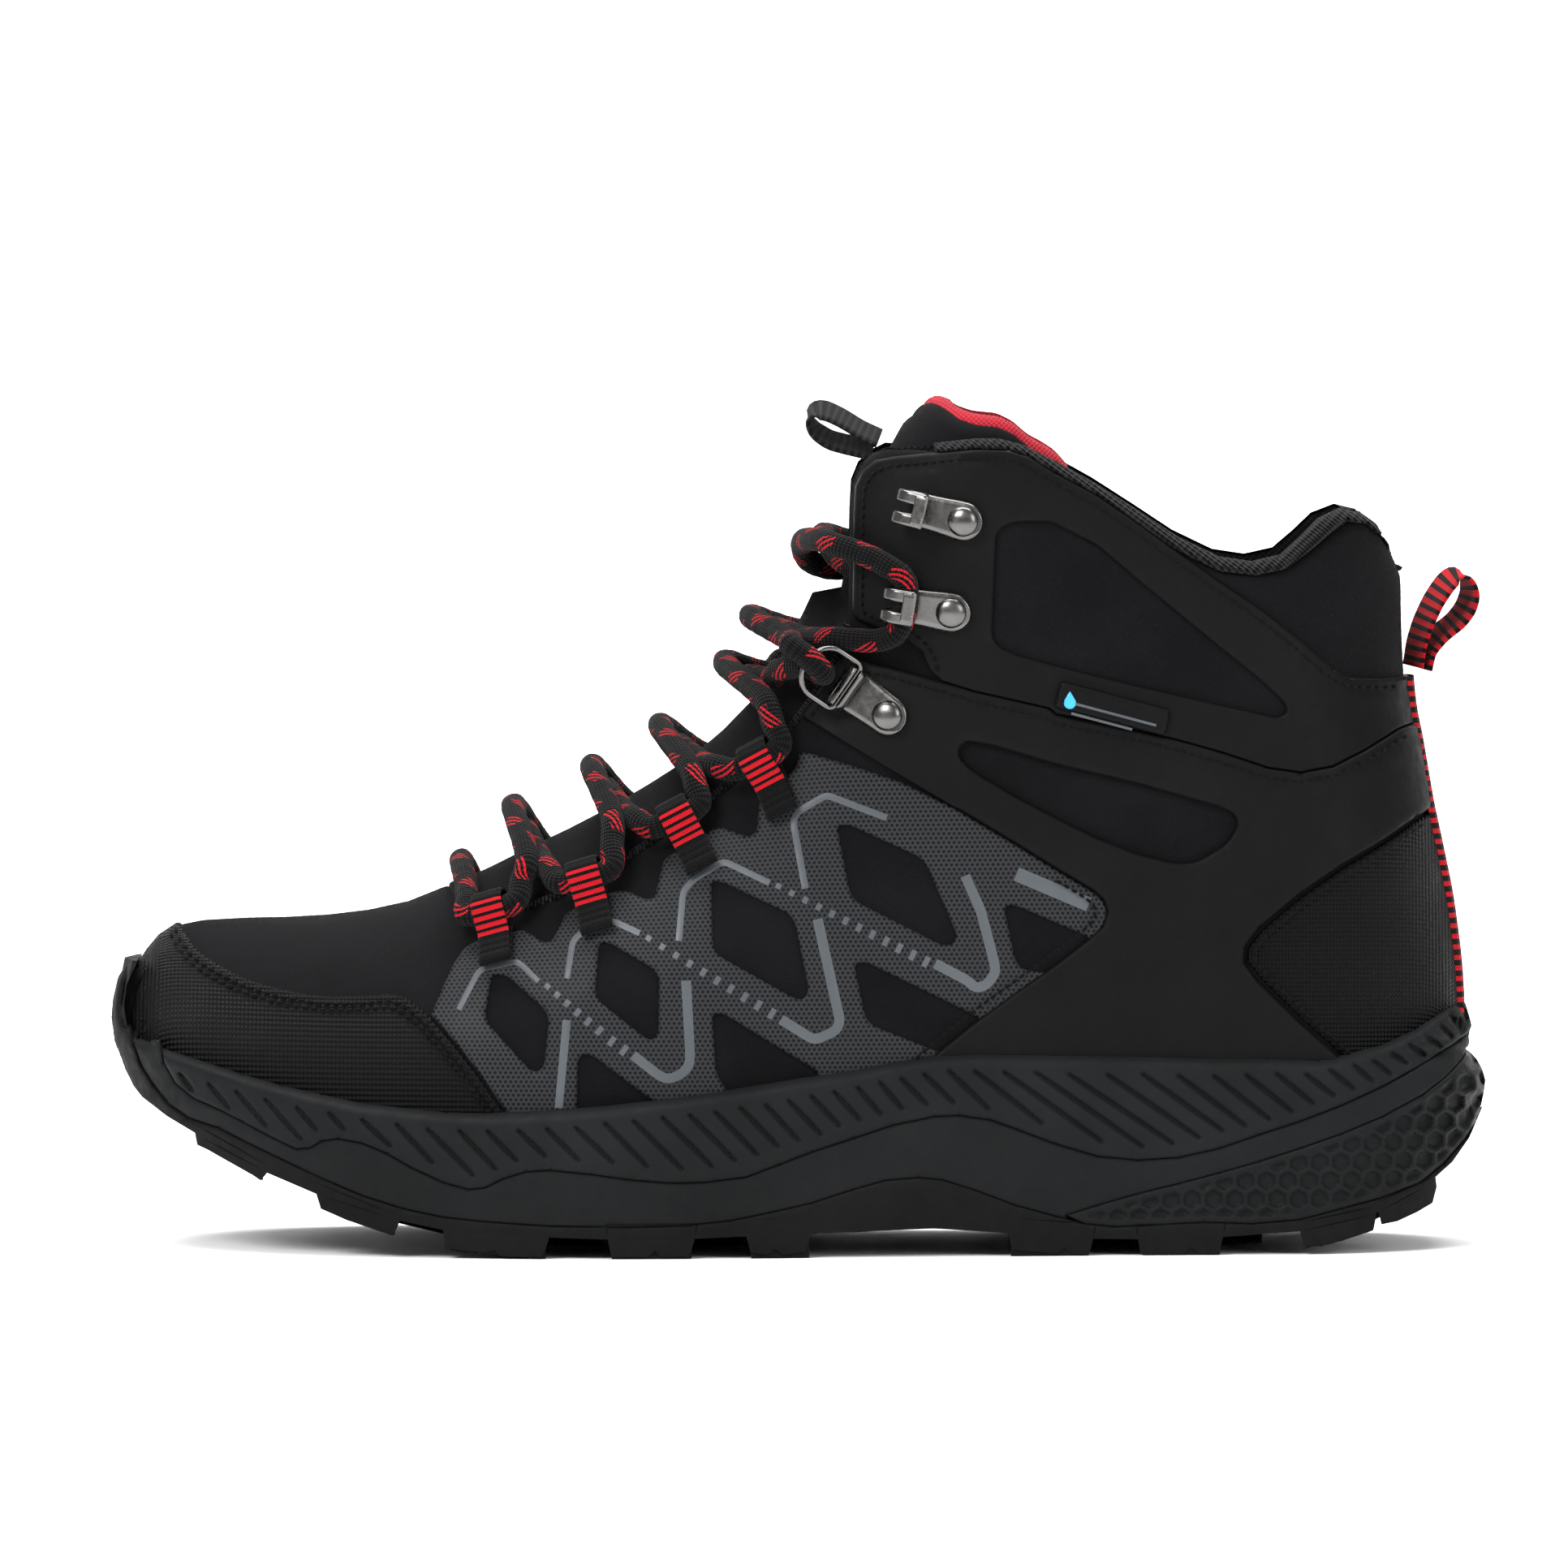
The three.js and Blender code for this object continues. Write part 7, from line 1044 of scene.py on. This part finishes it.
ANKLE, ANKLE2 = arr("ANKLE"), arr("ANKLE2")
ankle_top = L2(ANKLE, [[160, 113]])
ankle_low = L2(ANKLE2, [[123, 16]])
ankle_front = L2(FILM2)
ankle_area = L2(ankle_top, [[160, 99.5]], ankle_low, [[20, 16]], ankle_front[::-1])
awin = soften(arr("ANKLEWIN"), 0.8, 0.9, True)
eye_front = L2(arr("EYEFRONT"), arr("EYETOP"))
eye_low = between(ANKLE, 28, 135)
eye_area = L2(arr("EYEFRONT")[1:], arr("EYETOP"), [[160, 124]], [[160, 113.4]], eye_low[::-1] + [0, 0.2])
ewin = soften(arr("EYEWIN"), 0.8, 0.9, True)
eye_front_s = soften(eye_front, 0.8, 0.8)
for nm, s in SIDES:
    g = patch("q", s, ankle_area, [awin], o1=2.0, h=HG, zlo=zlo_up, zhi=186, edges=[(ankle_top, 1.8, 0.8, False), (ankle_low, 1.6, 0.8, False), (ankle_front, 1.9, 0.8, False), (awin, 1.9, 0.9, True)], disp=groove_of(offset(ankle_top, -2.1), offset(ankle_front[3:], -2.1), offset(ankle_low, 2.1)))
    make("ankle_overlay_" + nm, g, M["overlay"], replaces=("ankle_overlay_" + nm,))
    g = patch("q", s, eye_area, [ewin], o1=1.4, h=HG, zlo=zlo_up, zhi=186, edges=[(eye_front, 1.4, 0.8, False), (eye_low, 0.8, 0.6, False), (ewin, 1.4, 0.9, True)], disp=groove_of(offset(eye_front, -2.0)))
    make("eyestay_overlay_" + nm, g, M["overlay"], replaces=("eyestay_overlay_" + nm,))

HP = arr("HEELPATCH")
hp_area = L2(HP, [[126, 16]], [[160, 16]], [[160, 94.5]])
hp_line = L2(HP, [[126, 16]])
g = both("q", hp_area, o1=1.3, h=HG, zlo=zlo_up, zhi=186, edges=[(L2(HP, [[126, 16]]), 1.3, 0.8, False), (L2([[160, 94.5]], HP[:1]), 1.3, 0.8, False)])
make("heel_patch", g, M["patch"], replaces=("heel_patch",))


def heel_grid(y0, y1, z0, z1, o, ny, nz):
    """Points on the back of the heel, by height and distance from the middle."""
    zs = np.linspace(z0, z1, nz)
    ys = np.linspace(y0, y1, ny)
    Z, Y = np.meshgrid(zs, ys, indexing="ij")
    X = np.empty_like(Z)
    for s in (-1, 1):
        m = (Y * s >= 0)
        a = np.abs(Y[m])
        X[m] = bisect(lambda x: H("q", x, Z[m], s, o) - a, np.full(a.shape, 175.0), np.full(a.shape, 100.0))
    return np.stack([X, Y + 0.0, Z], -1)


G = heel_grid(-9, 9, 50, 124, 2.2, 19, 60)
e = np.clip((9 - np.abs(np.linspace(-9, 9, 19))) / 1.4, 0, 1)
G[..., 0] -= (1 - np.sqrt(1 - (1 - e) ** 2))[None, :] * 1.0
f = [(i * 19 + j, i * 19 + j + 1, (i + 1) * 19 + j + 1, (i + 1) * 19 + j) for i in range(59) for j in range(18)]
uvg = np.stack([G[..., 1], G[..., 2]], -1)
make("backstay_strap", (G.reshape(-1, 3), f, uvg.reshape(-1, 2)), M["backstay"], replaces=("backstay_strap",))

# the side tag with a plain drop on it
LB = soften(arr("LABEL"), 0.6, 0.5, True)
g = patch("q", -1, LB, o1=3.0, h=1.0, zlo=zlo_up, zhi=186, sil=False, edges=[(LB, 1.0, 0.5, True)])
make("side_label", g, M["tag"], replaces=("side_label",))
rim = resample(LB, 0.8, True)
dc = np.array([58.6, 119.3])
dr = np.array([dc + [1.35 * math.cos(a), 1.35 * math.sin(a)] for a in np.linspace(math.radians(150), math.radians(390), 18)] + [dc + [0.0, 2.6]])
g = patch("q", -1, dr, o1=3.25, h=0.6, zlo=zlo_up, zhi=186, sil=False, edges=[(dr, 0.3, 0.3, True)], rows=(0.2,))
make("side_label_drop", g, M["drop"])
bars = []
for k, (w0, w1) in enumerate(((3.9, 22.3), (3.9, 17.5))):
    dirv = np.array([23.8, -6.34]) / 24.63
    dn = np.array([-dirv[1], dirv[0]])
    st = np.array([56.0, 121.3]) - dn * (0.9 + 2.2 * k) + dirv * 0
    a, b = st + dirv * w0, st + dirv * w1
    bar = np.array([a, b, b - dn * 0.55, a - dn * 0.55])
    bars.append(patch("q", -1, bar[::-1], o1=3.15, h=1.2, zlo=zlo_up, zhi=186, sil=False, edges=[(bar, 0.12, 0.15, True)], rows=(0.2,)))
make("side_label_lines", merge(*bars), M["print"])

# ---- tongue ----
tongue_area = L2([[-60, 100]], [[-74.4, 78.9]], between(THROAT, -73, 200) + [-0.4, -3.2], [[12, 135]], [[36, 137.5]], [[50, 147]], [[55, 157.6]], [[-40, 157.6]])
g = both("t", tongue_area, o1=0.0, h=HG, zlo=40, zhi=190, edges=[])
make("tongue", g, M["tongue"], replaces=("tongue",))
pad_area = L2([[-60, 100]], [[-72, 78.9]], between(THROAT, -73, 200) + [-0.4, -5.0], [[12, 135.5]], [[36, 138]], [[49, 147]], [[54, 157.2]], [[-40, 157.2]])
parts = []
for s in (-1, 1):
    v, f, u = patch("t", s, pad_area, o1=-5.4, h=2.2, zlo=40, zhi=190, edges=[])
    parts.append((v, [t[::-1] for t in f], u))
make("tongue_padding", merge(*parts), M["lining"], replaces=("tongue_padding",))

TT = arr("TONGUETOP")
tt = soften(TT, 0.7, 0.8)
up_line = between(COLLAR, 25, 57)
top_area = L2([[-20, 158.3]], [[40, 158.3]], [[56, 165]], tt[::-1][(tt[::-1][:, 0] < 58.5)], [[-20, 183.6]])
tt_low = tt - [0, 2.1]
out_area = L2([[-20, 158.3]], [[40, 158.3]], [[56, 163]], tt_low[::-1][(tt_low[::-1][:, 0] < 57.0)], [[-20, 181.5]])
g = both("t", out_area, o1=0.35, h=1.5, zlo=40, zhi=190, edges=[(L2([[-20, 181.5]], tt_low), 2.6, 3.0, False)])
make("tongue_top", g, M["tongue"], body="tongue_collar", replaces=("tongue_top",))
gi = []
for s in (-1, 1):
    gi.append(patch("t", s, top_area, o1=-1.4, h=1.5, zlo=40, zhi=190, edges=[(L2([[-20, 183.6]], tt), 3.6, 2.4, False)]))
    v, f, u = patch("t", s, top_area, o1=-5.0, h=1.8, zlo=40, zhi=190, edges=[])
    gi.append((v, [t[::-1] for t in f], u))
make("tongue_top_lining", merge(*gi), M["red_lining"], body="tongue_collar", replaces=("tongue_top_lining",))

# ---- piping along the throat and the print on the cage ----
for nm, s in SIDES:
    ln = soften(L2(THROAT[1:]), 1.5, 1.5)
    pp = spot(ln[:, 0], ln[:, 1], s, -0.9)
    g = tube(pp, 1.05, 10)
    make("throat_piping_" + nm, g, M["knit"], weld=False)


def strip(line, w, s, o, cols=4, step=0.8):
    p = soften(np.array(line, float), step, 0.8)
    n = normals(p)
    k = np.linspace(-0.5, 0.5, cols)
    X = p[:, None, 0] + n[:, None, 0] * k * w
    Z = p[:, None, 1] + n[:, None, 1] * k * w
    lift_ = np.where(np.abs(k) > 0.45, o - 0.14, o)[None, :] + 0 * X
    Y = centre(X) + s * H("q", X, Z, s, lift_)
    V = np.stack([X, Y, Z], -1).reshape(-1, 3)
    f = []
    for i in range(len(p) - 1):
        for c in range(cols - 1):
            q = (i * cols + c, i * cols + c + 1, (i + 1) * cols + c + 1, (i + 1) * cols + c)
            f.append(q if s > 0 else q[::-1])
    return V, f, np.stack([X, Z], -1).reshape(-1, 2)



for nm, s in SIDES:
    parts = [strip(line, w, s, 1.27) for line, w in PRINTS]
    parts += [strip(line, w, s, 1.27, step=0.45) for line, w in DASHES]
    make("cage_print_" + nm, merge(*parts), M["print"], weld=False)


# ---- stitches: small slanted beads along a line ----
def stitches(line, s, o, pitch=1.9, length=1.4, r=0.3, step=0, kind="q"):
    p = resample(np.asarray(line, float), pitch)
    d = np.gradient(p, axis=0)
    d = d / (np.hypot(d[:, 0], d[:, 1])[:, None] + 1e-9)
    V, F, U = [], [], []
    n = 0
    sides = 6
    for (x, z), (dx, dz) in zip(p, d):
        t = np.array([-0.5, -0.3, 0, 0.3, 0.5]) * length
        rr = np.array([0.25, 0.85, 1, 0.85, 0.25]) * r
        lift_ = np.array([-0.22, -0.02, 0.06, -0.02, -0.22])
        xs, zs = x + dx * t, z + dz * t
        c = spot(xs, zs, s, o + lift_, kind)
        tt = unit(np.gradient(c, axis=0))
        b = np.array([-dz, 0.0, dx])
        e = unit(np.cross(tt, b))
        b = unit(np.cross(e, tt))
        a = np.linspace(0, 2 * np.pi, sides, endpoint=False)
        q = c[:, None] + rr[:, None, None] * (np.cos(a)[None, :, None] * b[:, None] * 1.25 + np.sin(a)[None, :, None] * e[:, None])
        V.append(q.reshape(-1, 3))
        U.append(np.stack([np.tile(a, 5), np.repeat(t, sides)], 1))
        for i in range(4):
            for k in range(sides):
                F.append((n + i * sides + k, n + i * sides + (k + 1) % sides, n + (i + 1) * sides + (k + 1) % sides, n + (i + 1) * sides + k))
        n += 5 * sides
    return np.vstack(V), F, np.vstack(U)


def clip_in(line, a, b):
    """The part of a line between two fractions of its length."""
    p = resample(line, 0.6)
    n = len(p)
    return p[int(n * a):int(math.ceil(n * b))]


def on_surface(p, s, o=0.5, m=1.2, zlo=24.0):
    ok = H("q", p[:, 0], p[:, 1], s, o) > m
    ok &= p[:, 1] > zlo
    return p[ok]


for nm, s in SIDES:
    sets = []
    for d in (1.4, 2.7):
        ln = on_surface(offset(cap_line, -d), s)
        sets.append(stitches(ln, s, 1.5))
    make("toe_cap_stitches_" + nm, merge(*sets), M["thread"], weld=False)
    sets = []
    for d in (-2.1,):
        sets.append(stitches(on_surface(offset(ankle_top, d), s)[2:-2], s, 2.0))
    sets.append(stitches(on_surface(offset(ankle_front[3:], -2.1), s)[2:-3], s, 2.0))
    sets.append(stitches(on_surface(offset(ankle_low, 2.1), s)[2:-2], s, 2.0))
    make("ankle_stitches_" + nm, merge(*sets), M["thread"], weld=False)
    make("eyestay_stitches_" + nm, merge(stitches(on_surface(offset(eye_front, -2.0), s)[3:-2], s, 1.4)), M["thread"], weld=False)
    make("heel_stitches_" + nm, merge(stitches(on_surface(offset(HP, 1.8), s, 0.5)[1:-1], s, 0.18, 1.6)), M["thread"], weld=False)

# ---- sole ----
MIDTOP, PART, OUTLINE, HEX, GROUND, LUGBASE = (arr(k) for k in ("MIDTOP", "PART", "OUTLINE", "HEXTOP", "GROUND", "LUGBASE"))


def seg_groove(x, z):
    d = np.full(x.shape, 9.0)
    for (a, b) in SLASHES:
        a, b = np.array(a), np.array(b)
        ab = b - a
        t = np.clip(((x - a[0]) * ab[0] + (z - a[1]) * ab[1]) / (ab @ ab), 0.03, 0.97)
        # the cut narrows towards its ends
        w = 0.55 + 0.45 * np.sin(np.pi * t) ** 0.6
        d = np.minimum(d, np.hypot(x - a[0] - t * ab[0], z - a[1] - t * ab[1]) / w)
    return -1.6 * np.exp(-(d / 0.46) ** 2)


MT = MIDTOP[MIDTOP[:, 0] > -139.5]
mid_up = L2(MT, [[160, MIDTOP[-1][1]]], [[160, PART[-1][1]]], PART[::-1])
mid_top_line = L2(MT, [[160, MIDTOP[-1][1]]])
part_line = L2(PART, [[160, PART[-1][1]]])
g = both("s", mid_up, o1=0.25, h=(0.5), zlo=-1, zhi=63, edges=[(mid_top_line, 6.4, 2.4, False), (part_line, 0.9, 0.7, False)], disp=seg_groove)
make("midsole_upper", g, M["midsole_top"], replaces=("midsole_upper",))

hex_area = L2(HEX, [[200, 20]], [[200, -20]], [[HEX[0][0], -20]])
OL = OUTLINE[~((OUTLINE[:, 0] < -138) & (OUTLINE[:, 1] > 48.0))]
toe_top = MIDTOP[MIDTOP[:, 0] <= -139.5]
mid_lo = L2(toe_top, PART, [[160, PART[-1][1]]], [[160, OUTLINE[-1][1]]], OL[::-1])
out_line = L2(OL, [[160, OUTLINE[-1][1]]])
hex_line = L2(HEX)


def hex_relief(x, z, pitch=4.6):
    """0 in the middle of a cell, 1 on the walls between cells."""
    k = np.array([[1.0, 0.0], [0.5, math.sqrt(3) / 2], [-0.5, math.sqrt(3) / 2]]) * (2 / pitch)
    a, b = pitch, pitch * math.sqrt(3)
    x, z = np.asarray(x, float), np.asarray(z, float)
    best = None
    bx = bz = None
    for ox, oz in ((0, 0), (a / 2, b / 2)):
        cx = (np.round((x - ox) / a)) * a + ox
        cz = (np.round((z - oz) / b)) * b + oz
        d = (x - cx) ** 2 + (z - cz) ** 2
        if best is None:
            best, bx, bz = d, x - cx, z - cz
        else:
            m = d < best
            best, bx, bz = np.where(m, d, best), np.where(m, x - cx, bx), np.where(m, z - cz, bz)
    r = np.max(np.abs(bx[..., None] * k[:, 0] + bz[..., None] * k[:, 1]), -1)
    return r


def hex_disp(x, z):
    r = hex_relief(x, z)
    return -1.1 * (1 - smooth(0.66, 0.84, r)) * smooth(0.9, 2.6, np.minimum(dist_to(np.stack([x, z], 1), hex_line), dist_to(np.stack([x, z], 1), out_line)))


g = both("s", mid_lo, [hex_area], o1=0.0, h=HG, zlo=-1, zhi=63, edges=[(part_line, 1.0, 0.8, False), (out_line, 0.7, 0.6, False), (hex_line, 0.6, 0.5, False), (L2(toe_top), 5.5, 2.2, False)])
make("midsole_lower", g, M["midsole"], replaces=("midsole_lower", "shank", "insole_board"))
stab = L2(HEX, [[160, HEX[-1][1]]], [[160, OUTLINE[-1][1]]], between(OUTLINE, HEX[0][0], 200)[::-1])
g = both("s", stab, o1=0.1, h=(0.55), zlo=-1, zhi=63, edges=[(hex_line, 0.9, 0.7, False), (out_line, 0.6, 0.5, False)], disp=hex_disp)
make("heel_stabilizer", g, M["hexfoam"], replaces=("heel_stabilizer",))

# side faces of the outsole and its lugs
slab = L2(OUTLINE, [[160, OUTLINE[-1][1]]], [[160, LUGBASE[-1][1]]], LUGBASE[::-1], [[-170, LUGBASE[0][1]]], [[-170, 62]], [[OUTLINE[0][0], 62]])
lugs = [np.array(q, float) for q in LUG_SIDES[1:]]
side_edges = [(L2([[OUTLINE[0][0], 62]], OUTLINE), 0.9, 0.7, False)] + [(q, 0.9, 0.7, True) for q in lugs]
toe_edge = L2([[-152, 62]], [[OUTLINE[0][0], 62]], OUTLINE[(OUTLINE[:, 0] < -138) & (OUTLINE[:, 1] > 46)])
g = both("s", slab, union=lugs, o1=0.45, h=HG, zlo=-1, zhi=63, edges=[(toe_edge, 3.6, 2.2, False), (OUTLINE, 0.9, 0.7, False)])
make("outsole_sidewall", g, M["rubber"])

# footbed
xs = np.linspace(-138, 132, 90)
fz = np.interp(xs, FEATHER[:, 0], FEATHER[:, 1])
ts = np.linspace(-1, 1, 25)
top, bot = [], []
for x, z in zip(xs, fz):
    zt = z + 5.0
    wl, wr = max(0.2, float(H("q", x, zt, -1, -9.9))), max(0.2, float(H("q", x, zt, 1, -9.9)))
    c = float(centre(x))
    y = np.where(ts < 0, ts * wl, ts * wr)
    top.append(np.stack([np.full(25, x), c + y, zt - 0.9 * np.clip(1 - ts ** 2, 0, 1) ** 1.0 - 0.6 * np.clip((np.abs(ts) - 0.93) / 0.07, 0, 1) ** 2], 1))
    wl, wr = max(0.1, float(H("q", x, z, -1, -9.9))), max(0.1, float(H("q", x, z, 1, -9.9)))
    y = np.where(ts < 0, ts * wl, ts * wr)
    bot.append(np.stack([np.full(25, x), c + y * 0.995, np.full(25, z + 0.2)], 1))
V = np.vstack([np.array(top).reshape(-1, 3), np.array(bot).reshape(-1, 3)])
n, k = len(xs), 25
F = []
N = n * k
for i in range(n - 1):
    for j in range(k - 1):
        F.append((i * k + j, (i + 1) * k + j, (i + 1) * k + j + 1, i * k + j + 1))
        F.append((N + i * k + j, N + i * k + j + 1, N + (i + 1) * k + j + 1, N + (i + 1) * k + j))
    F.append((i * k, N + i * k, N + (i + 1) * k, (i + 1) * k))
    F.append((i * k + k - 1, (i + 1) * k + k - 1, N + (i + 1) * k + k - 1, N + i * k + k - 1))
for j in range(k - 1):
    F.append((j, j + 1, N + j + 1, N + j))
    F.append(((n - 1) * k + j, N + (n - 1) * k + j, N + (n - 1) * k + j + 1, (n - 1) * k + j + 1))
make("footbed", (V, F, V[:, :2]), M["footbed"], body="footbed", replaces=("footbed",), weld=False)

# ---- lace ----
LP = np.array(LACE, float)
path = spline(LP, 1.0)
g = tube(path, 2.6, 20, ripple=lambda s, a: 0.10 * np.sin(8 * a + 2 * np.pi * s / 2.6) * np.sin(8 * a - 2 * np.pi * s / 2.6))
make("lace", g, M["lace"], replaces=("lace",), weld=False)

# the loops that carry the lace
loop_path = []
for a in np.linspace(0, 1, 8)[:-1]:
    loop_path.append((13 + (5.2 - 13) * a, 0.62 + 0.55 * a))
for a in np.linspace(math.radians(-68), math.radians(-68) - math.radians(275), 30):
    loop_path.append((0 + 3.6 * math.cos(a), 3.9 + 3.6 * math.sin(a)))
loop_path = []
# outer strand: from the stitched tail up over the lace and back under it
for a in np.linspace(0, 1, 9):
    loop_path.append((13.4 - 7.6 * a, 1.45 + 0.9 * a ** 2))
for a in np.linspace(math.radians(58), math.radians(270), 26):
    loop_path.append((3.55 * math.cos(a), 3.9 + 3.55 * math.sin(a)))
for a in np.linspace(0.08, 1, 12):
    loop_path.append((13.4 * a, 0.36 + 0.1 * a))
lp = soften(np.array(loop_path, float), 0.7, 0.55)
lp3 = np.stack([lp[:, 0], lp[:, 1], np.zeros(len(lp))], 1)
for k, side, B in LOOPS:
    g = ribbon(lp3, (0, 0, 1), 7.2, 0.8, cols=12, round_=0.16, crown=0.0)
    nm = "lace_loop_%d_%s" % (k, side)
    make(nm, placed(g, B), M["loop"], replaces=(nm,), weld=False)
    # the stitched bar across its tail
    V, F, U = [], [], []
    q = 0
    for row, xx in enumerate((9.4, 10.9)):
        for t in np.linspace(-2.7, 2.7, 5):
            g = tube(np.array([[xx, 1.62, t - 0.42], [xx, 1.98, t - 0.25], [xx, 2.04, t], [xx, 1.98, t + 0.25], [xx, 1.62, t + 0.42]]), 0.2, 6)
            V.append(g); q += 1
    make(nm + "_stitches", placed(merge(*V), B), M["thread"], weld=False)

# ---- pull straps ----
def strap_line(pts, step=0.8):
    p = soften(np.array(pts, float), step, 1.0)
    return np.stack([p[:, 0], np.zeros(len(p)), p[:, 1]], 1)


g = ribbon(strap_line(HEEL_LOOP), (-0.2, 1, 0.12), 17, 1.05, cols=16, round_=0.08)
make("heel_pull_loop", g, M["red_strap"], body="heel_pull_loop", replaces=("heel_pull_loop",), weld=False)
g = ribbon(strap_line(TAB), (0.03, 1, 0.2), 18, 1.2, cols=16, round_=0.08)
make("tongue_tab", g, M["strap"], body="tongue_tab", replaces=("tongue_tab",), weld=False)

# ---- hardware and hard parts that keep their frame mesh ----
def keep(node, mat, bevel=0.0, angle=35, segs=2):
    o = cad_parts[node]
    o.data.materials.clear()
    o.data.materials.append(mat)
    if bevel:
        b = o.modifiers.new("bevel", "BEVEL")
        b.width, b.segments, b.limit_method, b.angle_limit = bevel, segs, "ANGLE", math.radians(angle)
        b.harden_normals = False
    w = o.modifiers.new("normals", "WEIGHTED_NORMAL")
    w.keep_sharp = True
    return o


dome = [(3.3, -0.3), (3.3, 0.18), (3.1, 0.5), (2.7, 0.86), (2.1, 1.14), (1.4, 1.33), (0.7, 1.43), (0.0001, 1.46)]
for level, side, M0, MR, d, c in HOOKS:
    nm = "hook_rivet_%s_%s" % (level, side)
    make(nm, placed(lathe(dome, 40), MR), M["steel"], replaces=(nm,))
for row in RINGS:
    nm = "d_ring_rivet_%s" % row[0]
    make(nm, placed(lathe(dome, 40), row[2]), M["steel"], replaces=(nm,))


def hook_geo(d, c):
    """A pressed plate with a round end, its front split into two prongs that curl over the lace."""
    x0 = -d / 2
    xs = np.concatenate([x0 - 4.15 * np.cos(np.linspace(0.12, math.pi / 2, 9)), np.linspace(x0 + 0.6, c - 1.2, 9)])
    wd = np.where(xs < x0, 2 * np.sqrt(np.maximum(0.05, 4.2 ** 2 - (xs - x0) ** 2)), 8.4 - 0.8 * smooth(x0, c - 3, xs))
    base = ribbon(np.stack([xs, 0 * xs, np.full(len(xs), 0.45)], 1), (0, 1, 0), wd, 0.9, cols=12, round_=0.12)
    out = [base]
    a = np.linspace(-math.pi / 2, math.pi / 2, 16)
    rc = 3.45
    px = np.concatenate([[c - 2.4, c - 1.0], c + rc * np.cos(a), [c - 1.0, c - 2.2, c - 3.3]])
    pz = np.concatenate([[0.45, 0.45], 3.9 + rc * np.sin(a), [7.42, 7.55, 7.75]])
    for sg in (-1, 1):
        path_ = np.stack([px, np.full(len(px), sg * 2.42), pz], 1)
        out.append(ribbon(path_, (0, 1, 0), 2.75, 0.9, cols=8, round_=0.3))
    rear = np.stack([np.linspace(c - 3.4, c - 0.6, 8), np.zeros(8), 7.7 - 0.25 * smooth(c - 3.4, c - 0.6, np.linspace(c - 3.4, c - 0.6, 8))], 1)
    out.append(ribbon(rear, (0, 1, 0), 7.5, 0.9, cols=12, round_=0.12))
    return merge(*out)


for level, side, M0, MR, d, c in HOOKS:
    nm = "lace_hook_%s_%s" % (level, side)
    make(nm, placed(hook_geo(d, c), M0), M["steel"], replaces=(nm,), weld=False)
for row in RINGS:
    side, M0, MR, l, ax_, az_ = row
    x0 = -l / 2
    xs = np.concatenate([x0 - 4.25 * np.cos(np.linspace(0.12, math.pi / 2, 9)), np.linspace(x0 + 0.6, ax_ + 0.2, 9)])
    wd = np.where(xs < x0, 2 * np.sqrt(np.maximum(0.05, 4.3 ** 2 - (xs - x0) ** 2)), 8.6 + 1.0 * smooth(x0, ax_, xs))
    pl = ribbon(np.stack([xs, 0 * xs, np.full(len(xs), 0.45)], 1), (0, 1, 0), wd, 0.9, cols=12, round_=0.12)
    a = np.linspace(-2.6, math.pi / 2 + 1.5, 22)
    rb = 1.65
    bar = ribbon(np.stack([ax_ - rb * np.sin(-a), 0 * a, az_ - rb * np.cos(a)], 1), (0, 1, 0), 9.6, 0.75, cols=12, round_=0.06)
    make("d_ring_plate_" + side, placed(merge(pl, bar), M0), M["steel"], replaces=("d_ring_plate_" + side,), weld=False)
    q = [(0, y) for y in np.linspace(-5.2, 5.2, 12)] + [(x, 5.85) for x in np.linspace(0.65, 5.775, 7)]
    q += [(5.775 + 4.725 * math.cos(t), 5.85 * math.sin(t)) for t in np.linspace(math.pi / 2, -math.pi / 2, 25)[1:]]
    q += [(x, -5.85) for x in np.linspace(5.775, 0.65, 7)[1:]]
    q = soften(np.array(q, float), 0.6, 0.5, True)
    r3 = np.stack([q[:, 0], q[:, 1], 0 * q[:, 0]], 1)
    t = -0.42
    r3 = np.stack([r3[:, 0] * math.cos(t) + ax_, r3[:, 1], -r3[:, 0] * math.sin(t) + az_], 1)
    make("d_ring_" + side, placed(tube(r3, 0.66, 14, closed=True), M0), M["steel"], body="d_ring_" + side, replaces=("d_ring_" + side,), weld=False)
keep("outsole", M["rubber"], 0.0005, 28, 2)
for n in ("aglet_one", "aglet_two"):
    keep(n, M["aglet"], 0.0002, 30)
